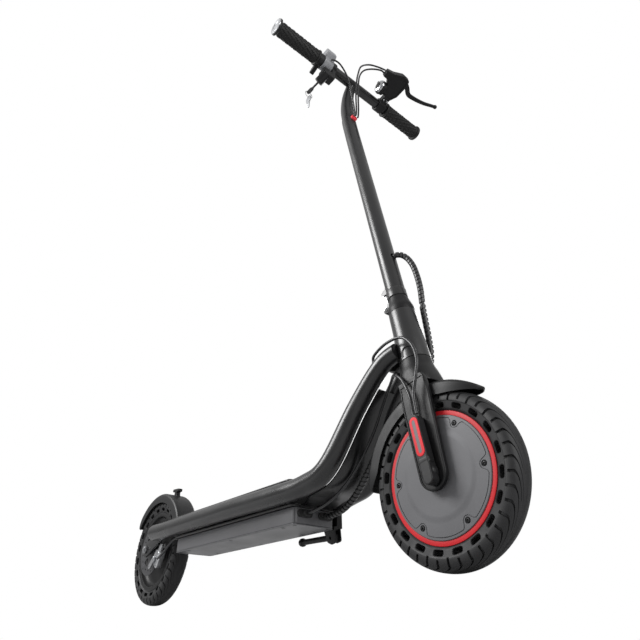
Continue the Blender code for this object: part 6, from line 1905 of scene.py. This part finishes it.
@dataclass
class Deck:
    """Foot board, mat, base plate with its rising panel, battery box, cover, gland and charging port."""

    rear: float = -0.293
    front: float = 0.167
    box_half: float = 0.047
    box_low: float = 0.103
    box_high: float = 0.1307
    corner: float = 0.009
    flange_half: float = 0.054
    flange_high: float = 0.1357
    well_half: float = 0.039
    board_half: float = 0.06
    board_low: float = 0.1743
    board_rear: float = -0.325
    mat_low: float = 0.1776
    mat_high: float = 0.1801
    mat_rib: float = 0.0008
    panel_offset: float = -0.0142
    panel_thickness: float = 0.0022
    panel_end: float = 0.355
    cover_thickness: float = 0.002
    cover_screws: tuple[float, ...] = (-0.283, -0.2415, -0.06, 0.122, 0.157)
    socket_x: float = -0.223
    socket_radius: float = 0.0095
    nose_spread: float = 0.024
    nose_height: float = 0.1205

    def outline(self, half: float, rear: float, front: float) -> Outline:
        """Rectangle with round corners between two places along the deck."""
        return rounded(both_halves([(rear, -half, self.corner), (front, -half, self.corner)]), 8)

    def panel(self) -> Skin:
        """Thin panel between the tubes that leaves the base plate and follows their sweep upwards.

        Returns:
            The panel's skin.
        """
        centres, radii = FrameTubes().path(Side.LEFT, 10)
        level = self.box_high + GAP + 0.003
        marks = [(Vector((self.front - 0.006, 0, level)), Vector((0, 0, 1.0)), 0.034),
            (Vector((self.front + 0.012, 0, level)), Vector((0, 0, 1.0)), 0.034)]
        for i, (centre, radius) in enumerate(zip(centres, radii)):
            ahead = centres[min(i + 1, len(centres) - 1)] - centres[max(i - 1, 0)]
            up = Vector((-ahead.z, 0, ahead.x)).normalized()
            middle = Vector((centre.x, 0, centre.z)) + up * (self.panel_offset + self.panel_thickness / 2)
            if middle.x < self.front + 0.03 or centre.x > self.panel_end + 0.004:
                continue
            chord = sqrt(max(radius ** 2 - (abs(self.panel_offset) - self.panel_thickness) ** 2, 0.0))
            marks.append((middle, up, centre.y - chord - 0.0012))
        rings = []
        for middle, up, half in marks:
            thick, side = up * self.panel_thickness / 2, Vector((0, half, 0))
            rings.append([middle + side + thick, middle - side + thick, middle - side - thick,
                middle + side - thick])
        return loft(rings)

    def build_board(self) -> None:
        """Makes the foot board and the ribbed mat."""
        half, rear, front = self.board_half, self.board_rear, self.front
        board = rounded(both_halves([(rear, -half + 0.012, 0.01), (rear + 0.02, -half, 0.012),
            (front - 0.004, -half, 0.01), (front + 0.004, -0.036, 0.004)]))
        make("board_plate", plate(board, self.board_low, self.board_low + 0.003, 0.001), Matrix(),
            BLACK_COAT, Body.FRAME, "deck_board")
        shape = plate(inset(board, 0.004), self.mat_low, self.mat_high - self.mat_rib, 0.0005)
        for k in range(-8, 9):
            y = 0.006 * k
            short = 0.012 if abs(k) > 6 else 0.008
            bar = stadium((rear + short + 0.006, y), (front - short - 0.002, y), 0.0017, 8)
            shape.add(plate(bar, self.mat_low + 0.0004, self.mat_high, 0.0004, 2))
        make("grip_mat", shape, Matrix(), SOFT_RUBBER, Body.FRAME, "deck_mat")

    def build(self) -> None:
        """Makes every piece of the deck."""
        self.build_board()
        low = self.box_high + GAP
        base = build_mesh("base_plate", plate(self.outline(self.flange_half, self.rear - 0.002,
            self.front + 0.002), low, self.flange_high, 0.0012))
        join(base, plate(self.outline(self.well_half, self.rear, self.front - 0.03), low + 0.001,
            self.board_low - GAP))
        join(base, self.panel())
        dress(base, BLACK_COAT, Body.FRAME, "deck_base")
        box = build_mesh("box_shell", plate(self.outline(self.box_half, self.rear, self.front),
            self.box_low, self.box_high, 0.0012))
        port = at(self.socket_x, 0, (self.box_low + self.box_high) / 2) @ ALONG_Y
        reach = self.box_half
        cut(box, disc(self.socket_radius - 0.001, reach - 0.01, reach + 0.01), port)
        ring = lathe([(self.socket_radius, reach - 0.004), (self.socket_radius, reach + 0.002),
            (self.socket_radius - 0.003, reach + 0.002), (self.socket_radius - 0.003, reach - 0.004)], 64)
        join(box, ring, port)
        for side in Side:
            turn = turned(radians(45.0 * side.value), "Z")
            corner = at(self.front - self.corner, (reach - self.corner) * side.value, 0) @ turn
            groove = plate([(self.corner - 0.0012, -0.0008), (self.corner + 0.002, -0.0008),
                (self.corner + 0.002, 0.0008), (self.corner - 0.0012, 0.0008)], self.box_low - 0.01,
                self.box_high + 0.01)
            cut(box, groove, corner)
        dress(box, BOX_COAT, Body.FRAME, "battery_box")
        face = self.box_low - GAP
        lid = plate(self.outline(self.box_half, self.rear, self.front), face - self.cover_thickness, face,
            0.0008)
        lid_item = build_mesh("lid_plate", lid)
        heads = Skin()
        sinks = Skin()
        under = face - self.cover_thickness
        for x in self.cover_screws:
            for side in Side:
                spot = at(x, 0.0375 * side.value, under) @ turned(pi, "X")
                sinks.add(disc(0.0041, -0.0016, 0.002, steps=32), spot)
                heads.add(button_screw(0.0031, 0.0014, 0.0013).moved(at(0, 0, -0.0014)), spot)
        dress(cut(lid_item, sinks), BOX_COAT, Body.FRAME, "bottom_cover")
        make("lid_screws", heads, Matrix(), BLACK_OXIDE, Body.FRAME)
        self.build_port(port)
        self.build_gland()

    def build_port(self, port: Matrix) -> None:
        """Makes the hinged cap over the charging socket.

        Args:
            port: Place of the socket, with Z outwards.
        """
        low = self.box_half + 0.002 + GAP
        edge = self.socket_radius + 0.0005
        cap = build_mesh("port_cap", spun([(edge, low), (edge, low + 0.0014), (edge - 0.0003, low + 0.0021),
            (edge - 0.0012, low + 0.0026), (0.004, low + 0.0026)], 64), port)
        join(cap, spun([(self.socket_radius - 0.004, low - 0.003),
            (self.socket_radius - 0.004, low + 0.001)], 48), port)
        strap = rounded([(-0.004, -self.socket_radius - 0.003, 0.001),
            (0.004, -self.socket_radius - 0.003, 0.001), (0.004, 0, 0), (-0.004, 0, 0)])
        dress(join(cap, plate(strap, low, low + 0.0016, 0.0003), port), SOFT_RUBBER, Body.CHARGE_CAP,
            "charge_cap")

    def build_gland(self) -> None:
        """Makes the rubber gland where the loom and the motor cable go into the box."""
        turn = Matrix(((0.0, 0.0, 1.0, 0.0), (1.0, 0.0, 0.0, 0.0), (0.0, 1.0, 0.0, 0.0),
            (0.0, 0.0, 0.0, 1.0)))
        place = at(self.front + GAP, 0, 0) @ turn
        shape = Skin()
        for side in Side:
            y = self.nose_spread * side.value
            collar = stadium((y - 0.01, self.nose_height), (y + 0.01, self.nose_height), 0.0068)
            nose = stadium((y - 0.003, self.nose_height), (y + 0.003, self.nose_height), 0.0055)
            shape.add(plate(collar, 0.0, 0.0042, 0.0014))
            shape.add(plate(nose, 0.001, 0.01, 0.0014))
        gland = cast_together(build_mesh("gland_moulding", shape, place), 0.0005, 2)
        dress(gland, SOFT_RUBBER, Body.FRAME, "cable_gland")


@dataclass
class Kickstand:
    """Bracket under the left tube and the leg that is folded back along the deck."""

    place: Matrix = field(default_factory=lambda: at(0.149, 0.06, 0.091) @ turned(radians(15.0), "X"))
    length: float = 0.096
    radius: float = 0.0055
    foot_radius: float = 0.0078

    def build(self) -> None:
        """Makes the bracket and the leg."""
        side = rounded(mm((-15, -18, 0), (17, -18, 0), (12, 10, 5), (0, 12, 5), (-10.5, 7, 5)))
        across = self.place @ ALONG_Y
        bracket = build_mesh("stand_bracket", plate(side, -0.0086, 0.0086, 0.001), across)
        block = rounded(mm((134, 54.6, 2), (166, 54.6, 2), (166, 68.6, 2), (134, 68.6, 2)))
        join(bracket, plate(block, 0.1045, 0.1344, 0.001))
        room = plate(mm((-60, 30), (30, 30), (30, -12), (-60, -12)), -0.006, 0.006)
        cut(bracket, room, across)
        join(bracket, disc(0.003, -0.0094, 0.0094, 0.0005, steps=32), across)
        dress(bracket, BLACK_CAST, Body.FRAME, "kickstand_bracket")
        shape = disc(0.009, -0.0056, 0.0056, 0.001).moved(ALONG_Y)
        foot, reach = self.length, self.foot_radius
        knots = [(0.0042, 0.002), (self.radius, 0.012), (self.radius, foot - 0.014), (reach, foot - 0.006),
            (reach, foot), (reach - 0.002, foot + 0.004), (reach - 0.0045, foot + 0.005)]
        leg = spun(curve_through(knots, 4), 40)
        shape.add(leg, turned(radians(-89.0), "Y"))
        item = cast_together(build_mesh("stand_leg", shape, self.place), 0.0006, 2)
        cut(item, disc(0.0033, -0.02, 0.02, steps=24), across)
        dress(item, BLACK_CAST, Body.STAND, "kickstand_leg")


@dataclass
class RearWheel:
    """Tyre, dished rim, brake disc, axle, caliper and its arm."""

    rim_radius: float = 0.0963
    rim_half: float = 0.0178
    hub_radius: float = 0.018
    hub_half: float = 0.028
    bore: float = 0.0063
    disc_radius: float = 0.06
    disc_high: float = -0.0283
    disc_low: float = -0.0303
    caliper_turn: float = radians(-25.0)
    caliper_radius: float = 0.054

    def rim(self) -> Skin:
        """Dished rim and hub in one turned profile.

        Returns:
            The rim's skin.
        """
        left = curve_through([(self.hub_radius, 0.0085), (0.03, 0.0062), (0.056, 0.0048), (0.074, 0.0056),
            (0.082, 0.011), (0.0855, self.rim_half - 0.0006)], 6)
        right = curve_through([(0.0855, -self.rim_half + 0.0006), (0.0815, -0.009), (0.074, -0.004),
            (0.056, -0.0016), (0.03, -0.001), (self.hub_radius, -0.007)], 6)
        outer = rounded(both_halves([(0.0862, self.rim_half, 0.0003),
            (self.rim_radius, self.rim_half, 0.001), (0.091, 0.013, 0.001)]), 4)
        hub = [(self.hub_radius, -self.hub_half + 0.001), (self.hub_radius - 0.001, -self.hub_half),
            (self.bore, -self.hub_half), (self.bore, self.hub_half),
            (self.hub_radius - 0.001, self.hub_half), (self.hub_radius, self.hub_half - 0.001)]
        return lathe([*left, *outer, *right, *hub], 144)

    def caliper_place(self) -> Matrix:
        """Frame at the caliper: X outwards from the axle, Y along the disc's edge, Z to the left.

        Returns:
            The caliper's place.
        """
        out = Vector((cos(self.caliper_turn), 0, sin(self.caliper_turn)))
        side = Vector((0, 1.0, 0))
        turn = Matrix((out, side.cross(out), side)).transposed().to_4x4()
        return REAR_HUB @ Matrix.Translation(out * self.caliper_radius) @ turn

    def build(self) -> None:
        """Makes every piece of the rear wheel and its brake."""
        Tyre().build("rear_tyre", REAR_HUB, Body.REAR_WHEEL)
        place = REAR_HUB @ ALONG_Y
        make("dished_rim", self.rim(), place, BLACK_CAST, Body.REAR_WHEEL, "rear_rim")
        rotor = build_mesh("disc_rotor", lathe(rounded([(0.012, self.disc_low, 0.0002),
            (self.disc_radius, self.disc_low, 0.0003), (self.disc_radius, self.disc_high, 0.0003),
            (0.012, self.disc_high, 0.0002)], 2), 144), place)
        holes = Skin()
        window = rounded(both_halves(mm((22, -4.5, 1.5), (38.5, -12, 2))))
        for k in range(6):
            holes.add(plate(window, self.disc_low - 0.003, self.disc_high + 0.003),
                turned(tau * k / 6, "Z"))
        for k in range(18):
            reach = 0.047 if k % 3 else 0.053
            holes.add(disc(0.0019, self.disc_low - 0.003, self.disc_high + 0.003, x=reach, steps=16),
                turned(tau * (k + 0.5) / 18, "Z"))
        dress(cut(rotor, holes, place), DISC_STEEL, Body.REAR_WHEEL, "brake_disc")
        self.build_axle(place)
        self.build_caliper()

    def build_axle(self, place: Matrix) -> None:
        """Makes the axle with its spacers and hexagon nuts.

        Args:
            place: Place of the wheel, with Z along the axle.
        """
        rod = disc(0.006, -0.0515, 0.0515, 0.0008)
        item = build_mesh("axle_rod", rod, place)
        join(item, disc(0.01, 0.0283, 0.0377, 0.0004), place)
        join(item, disc(0.01, -0.0377, -0.0309, 0.0004), place)
        for side in Side:
            join(item, hexagon_nut(0.0178, 0.0443, 0.0496), flank(REAR_HUB, side))
        dress(item, ZINC_PLATE, Body.FRAME, "rear_axle")

    def build_caliper(self) -> None:
        """Makes the cast caliper over the disc and its actuating arm."""
        place = self.caliper_place()
        half, low, high = 0.021, -0.036, -0.0205
        outline = rounded(both_halves([(-0.015, -half + 0.004, 0.005), (0.018, -half, 0.005)]))
        shape = plate(outline, low, high, 0.002)
        lug = rounded([(0.01, -half + 0.002, 0), (0.0165, -half + 0.002, 0), (0.0165, -half - 0.016, 0.002),
            (0.004, -half - 0.016, 0.002), (0.004, -half + 0.002, 0)])
        shape.add(plate(lug, -0.0376, -0.031, 0.0008))
        shape.add(disc(0.003, -0.0412, low + 0.002, 0.0003, x=-0.003, y=0.004, steps=32))
        shape.add(disc(0.0055, low - 0.0012, low + 0.002, 0.0006, x=0.006, y=-0.011, steps=32))
        item = cast_together(build_mesh("caliper_casting", shape, place), 0.0005, 2)
        slot = plate(mm((-40, -40), (8, -40), (8, 40), (-40, 40)), -0.0306, -0.028)
        cut(item, slot, place)
        for spot in ((0.0125, 0.015), (0.006, -0.011)):
            cut(item, plate(circle(*spot, 0.0022, 6), low - 0.004, low + 0.0018), place)
        dress(item, BRIGHT_CAST, Body.FRAME, "brake_caliper")
        arm = build_mesh("caliper_lever", plate(stadium((-0.003, 0.004), (-0.011, 0.026), 0.0058), -0.0412,
            -0.0366, 0.0008), place)
        cut(arm, disc(0.0033, -0.05, -0.02, x=-0.003, y=0.004, steps=24), place)
        cut(arm, disc(0.0016, -0.05, -0.02, x=-0.011, y=0.026, steps=24), place)
        dress(arm, BRIGHT_CAST, Body.CALIPER_ARM, "caliper_arm")


@dataclass
class Cable:
    """Cable held by the scooter along its whole route; one that crosses a joint is left in place on no body.
    """

    node: str
    route: list[tuple[float, float, float]]
    body: Body
    radius: float = 0.0026
    bends_to: Body | None = None
    wrapped: bool = False
    origin: float = WHEELBASE / 2
    sides: int = 14
    turn_pitch: float = 0.0086
    band_width: float = 0.0058
    band_thickness: float = 0.0014

    def build(self) -> None:
        """Makes the cable and, on a loom, the spiral wrap round it."""
        route = [(x + self.origin, y, z) for x, y, z in self.route]
        path = curve_through(route, 10)
        core = self.radius - 0.0008 if self.wrapped else self.radius
        pieces = [build_mesh(self.node + "_sheath", sweep(path, core, self.sides), sharp=60.0)]
        if self.wrapped:
            pieces.append(self.wrap(path))
        for item, finish in zip(pieces, (CABLE_JACKET, WRAP_NYLON)):
            item.data.materials.clear()
            item.data.materials.append(finish.build())
            if self.bends_to is None:
                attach(item, self.body.value)
            else:
                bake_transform(item)
        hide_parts(self.node)
        LOG.info("%s: %.0f mm long", self.node, 1000 * sum((b - a).length for a, b in zip(path, path[1:])))

    def wrap(self, path: Sequence[Vector]) -> Object:
        """Flat nylon band wound round the cores.

        Args:
            path: Centre line of the loom.

        Returns:
            The wound band with its thickness.
        """
        curve = bpy.data.curves.new(self.node + "_path", "CURVE")
        curve.dimensions = "3D"
        line = curve.splines.new("POLY")
        line.points.add(len(path) - 1)
        for spot, point in zip(line.points, path):
            spot.co = (*point, 1.0)
        holder = bpy.data.objects.new(self.node + "_path", curve)
        bpy.context.scene.collection.objects.link(holder)
        length = sum((b - a).length for a, b in zip(path, path[1:]))
        turns = length / self.turn_pitch
        mesh = run_tree(holder, spiral_band_tree(), {"Radius": self.radius, "Turns": turns,
            "Width": self.band_width, "Steps": int(turns * 22), "Material": WRAP_NYLON.build()})
        item = bpy.data.objects.new(self.node + "_wrap", mesh)
        bpy.context.scene.collection.objects.link(item)
        thick = item.modifiers.new("thickness", "SOLIDIFY")
        thick.thickness = self.band_thickness
        thick.offset = 0.0
        return bake(item, 50.0)


def cables() -> list[Cable]:
    """The eight cables, with their routes measured from the ground under their axle.

    Returns:
        The cables, ready to build.
    """
    steering, stem, body = Body.STEERING, Body.STEM, Body.FRAME
    return [Cable("rear_brake_cable", mm((177.7, -44, 133.5), (160, -45, 132.5), (140, -46.2, 123),
        (120, -46.2, 112), (98, -45.5, 104), (80, -44, 98.5)), body, origin=-WHEELBASE / 2),
        Cable("fork_cable", mm((-104, -31.5, 334.5), (-104, -31.5, 344.5), (-98.5, -33.5, 355),
        (-66, -38.5, 362.5), (-30, -41, 359), (-6, -43, 336), (3, -44, 305), (-1, -45, 280),
        (-9, -45.5, 250), (-8.5, -45.5, 230), (-7.2, -45.5, 215.5)), body, bends_to=steering),
        Cable("motor_cable", mm((-295.2, -24, 120.5), (-280, -23, 121.5), (-248, -18.5, 130),
        (-212, -13, 150), (-176, -8.5, 183), (-140, -5.5, 228), (-119, -4, 264), (-103, -3, 292),
        (-84, -11, 305), (-66, -25, 305.5), (-50, -37, 297), (-33, -42, 281), (-20, -43, 250),
        (-17.5, -42, 225), (-16, -42, 214)), body, bends_to=steering),
        Cable("upper_loom", mm((-20, 18, 446), (-19, 16.5, 476), (-22, 16, 505), (-28, 15, 534),
        (-37, 12.5, 556), (-46.5, 7, 568), (-55.5, 1.6, 571), (-61.8, 0, 570.5)), steering, 0.005, stem,
        True), Cable("lower_loom", mm((-295.2, 24, 120.5), (-278, 23.8, 121), (-244, 21.5, 128),
        (-208, 16.5, 146), (-172, 12.5, 178), (-134, 10, 218), (-101, 11, 256), (-80, 18, 280),
        (-58, 30, 297), (-40, 37.5, 320), (-30, 37.5, 350), (-26, 32, 382), (-22.5, 24, 412),
        (-20.3, 18.6, 435), (-20, 18.1, 445.6)), body, 0.005, steering, True),
        Cable("throttle_cable", mm((-127.8, -93, 1208), (-123.5, -85, 1207.8), (-119.5, -74, 1202),
        (-118, -62, 1190), (-120, -45, 1170), (-128.5, -26, 1134), (-134.5, -13, 1100),
        (-139.6, -6, 1075.7), (-142.4, -5.2, 1074.8)), stem, 0.0022),
        Cable("brake_control_cable", mm((-67.2, 47, 1227), (-76, 28, 1233), (-90, 8, 1240),
        (-104, -8, 1233), (-114, -11, 1210), (-122, -10, 1186), (-132, -5.5, 1144), (-137.6, -1, 1101),
        (-140.4, 0, 1080.2), (-143.2, 0, 1079.2)), stem, 0.0022),
        Cable("brake_switch_cable", mm((-74.5, 47.4, 1226.2), (-79, 39, 1233.6), (-96, 25, 1244.8),
        (-111, 11, 1243), (-119, 2, 1224), (-124, -0.5, 1196), (-130.5, 1.5, 1148), (-136, 5, 1100),
        (-139.6, 5.8, 1075.7), (-142.4, 5.2, 1074.8)), stem, 0.0022)]


@dataclass
class Stage:
    """Camera at the photograph's angle, plain floor and soft studio lamps."""

    azimuth: float = radians(50.35)
    elevation: float = radians(-31.36)
    roll: float = radians(-0.19)
    camera_place: tuple[float, float, float] = (0.9503, -0.6352, -0.0753)
    focal_pixels: float = 526.17
    image_pixels: float = 640.0
    sensor: float = 36.0
    world_below: float = 0.2
    world_above: float = 0.75
    floor_colour: str = "#f4f4f5"
    floor_clear: float = 0.8
    floor_end: float = 2.2
    floor_half: float = 6.0
    floor_hidden: float = 0.55
    aim: Corner = (0.1, 0.0, 0.5)
    lamps: tuple[tuple[str, Corner, float, float], ...] = (("key_softbox", (-1.3, -2.2, 2.1), 1.5, 125.0),
        ("front_softbox", (2.8, -0.2, 1.1), 1.3, 46.0), ("back_softbox", (-1.0, 2.6, 1.6), 1.6, 45.0))

    def camera(self) -> None:
        """Camera that looks up at the scooter from in front of its right wheel."""
        data = bpy.data.cameras.new("photo_camera")
        data.sensor_width = self.sensor
        data.lens = self.focal_pixels / self.image_pixels * self.sensor
        data.clip_start = 0.01
        item = bpy.data.objects.new("photo_camera", data)
        back = Vector((sin(self.azimuth) * cos(self.elevation), -cos(self.azimuth) * cos(self.elevation),
            sin(self.elevation)))
        right = Vector((cos(self.azimuth), sin(self.azimuth), 0))
        up = back.cross(right)
        turn = Matrix((right, up, back)).transposed().to_4x4() @ turned(self.roll, "Z")
        item.matrix_world = Matrix.Translation(self.camera_place) @ turn
        bpy.context.scene.collection.objects.link(item)
        bpy.context.scene.camera = item

    def lamp(self, name: str, place: Sequence[float], size: float, power: float) -> None:
        """Square softbox that faces the scooter.

        Args:
            name: The lamp's name.
            place: Where it stands.
            size: Length of its side.
            power: Its power in watts.
        """
        data = bpy.data.lights.new(name, "AREA")
        data.size = size
        data.energy = power
        item = bpy.data.objects.new(name, data)
        item.location = place
        item.rotation_euler = (Vector(self.aim) - Vector(place)).to_track_quat("-Z", "Y").to_euler()
        bpy.context.scene.collection.objects.link(item)

    def world(self) -> None:
        """White surroundings where they are seen, and light that is stronger from above than from below."""
        world = bpy.data.worlds.new("studio")
        bpy.context.scene.world = world
        world.use_nodes = True
        tree = world.node_tree
        tree.nodes.clear()
        path = add_node(tree, "ShaderNodeLightPath")
        seen = add_node(tree, "ShaderNodeMath", {0: path.outputs["Is Camera Ray"],
            1: path.outputs["Is Transmission Ray"]}, operation="MAXIMUM")
        toward = add_node(tree, "ShaderNodeTexCoord").outputs["Generated"]
        height = add_node(tree, "ShaderNodeSeparateXYZ", {0: toward}).outputs["Z"]
        soft = add_node(tree, "ShaderNodeMapRange", {"Value": height, "From Min": -0.6, "From Max": 0.7,
            "To Min": self.world_below, "To Max": self.world_above})
        level = add_node(tree, "ShaderNodeMapRange", {"Value": seen, "To Min": soft.outputs["Result"],
            "To Max": 1.0})
        light = add_node(tree, "ShaderNodeBackground", {"Color": (1.0, 1.0, 1.0, 1.0),
            "Strength": level.outputs["Result"]})
        add_node(tree, "ShaderNodeOutputWorld", {"Surface": light})

    def floor(self) -> None:
        """Pale floor that is clear from below, where the photograph was taken."""
        size = self.floor_half
        mesh = bpy.data.meshes.new("studio_floor")
        mesh.from_pydata([(-size, -size, 0.0), (size, -size, 0.0), (size, size, 0.0), (-size, size, 0.0)],
            [], [(0, 1, 2, 3)])
        item = bpy.data.objects.new("studio_floor", mesh)
        bpy.context.scene.collection.objects.link(item)
        material = bpy.data.materials.new("pale_studio_floor")
        material.use_nodes = True
        tree = material.node_tree
        shader = tree.nodes["Principled BSDF"]
        shader.inputs["Base Color"].default_value = linear(self.floor_colour)
        shader.inputs["Roughness"].default_value = 0.7
        below = add_node(tree, "ShaderNodeNewGeometry").outputs["Backfacing"]
        reach = add_node(tree, "ShaderNodeVectorMath", {0: add_node(tree,
            "ShaderNodeTexCoord").outputs["Object"]}, operation="LENGTH").outputs["Value"]
        fade = add_node(tree, "ShaderNodeMapRange", {"Value": reach, "From Min": self.floor_clear,
            "From Max": self.floor_end}, interpolation_type="SMOOTHSTEP")
        seen = add_node(tree, "ShaderNodeLightPath").outputs["Is Camera Ray"]
        hidden = add_node(tree, "ShaderNodeMath", {0: seen, 1: -self.floor_hidden, 2: self.floor_hidden},
            operation="MULTIPLY_ADD")
        clear_side = add_node(tree, "ShaderNodeMath", {0: below, 1: hidden}, operation="MAXIMUM")
        share = add_node(tree, "ShaderNodeMath", {0: clear_side, 1: fade.outputs["Result"]},
            operation="MAXIMUM")
        clear = add_node(tree, "ShaderNodeBsdfTransparent")
        mix = add_node(tree, "ShaderNodeMixShader", {0: share, 1: shader, 2: clear})
        tree.links.new(mix.outputs[0], tree.nodes["Material Output"].inputs["Surface"])
        mesh.materials.append(material)

    def build(self) -> None:
        """Sets up the whole studio."""
        bpy.context.scene.view_settings.view_transform = "Standard"
        self.camera()
        self.world()
        self.floor()
        for name, place, size, power in self.lamps:
            self.lamp(name, place, size, power)


def plain_finishes() -> None:
    """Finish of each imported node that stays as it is, by its slot in the record."""
    by_slot = {finish.slot: finish for finish in (BLACK_COAT, BLACK_ABS, SOFT_RUBBER, CABLE_JACKET,
        TYRE_RUBBER, BOX_COAT, MOTOR_LACQUER, RED_ENAMEL, RED_PRISM, BRIGHT_CAST, BRUSHED_STEEL)}
    for part in frame["record"]["subparts"]:
        item = frame["nodes"][part["node"]]
        item.data.materials.clear()
        item.data.materials.append(by_slot[part["material_slot"]].build())


def main() -> None:
    """Builds the scooter piece by piece and reports each."""
    logging.basicConfig(level=logging.INFO, format="%(message)s")
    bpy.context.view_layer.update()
    plain_finishes()
    Stage().build()
    assemblies = (FrontWheel(), Fork(), Fenders(), FrameTubes(), FoldJoint(), Stem(), Handlebar(),
        BrakeLever(), Throttle(), Deck(), Kickstand(), RearWheel(), *cables())
    for assembly in assemblies:
        LOG.info("building %s", type(assembly).__name__)
        assembly.build()


if __name__ == "__main__":
    main()
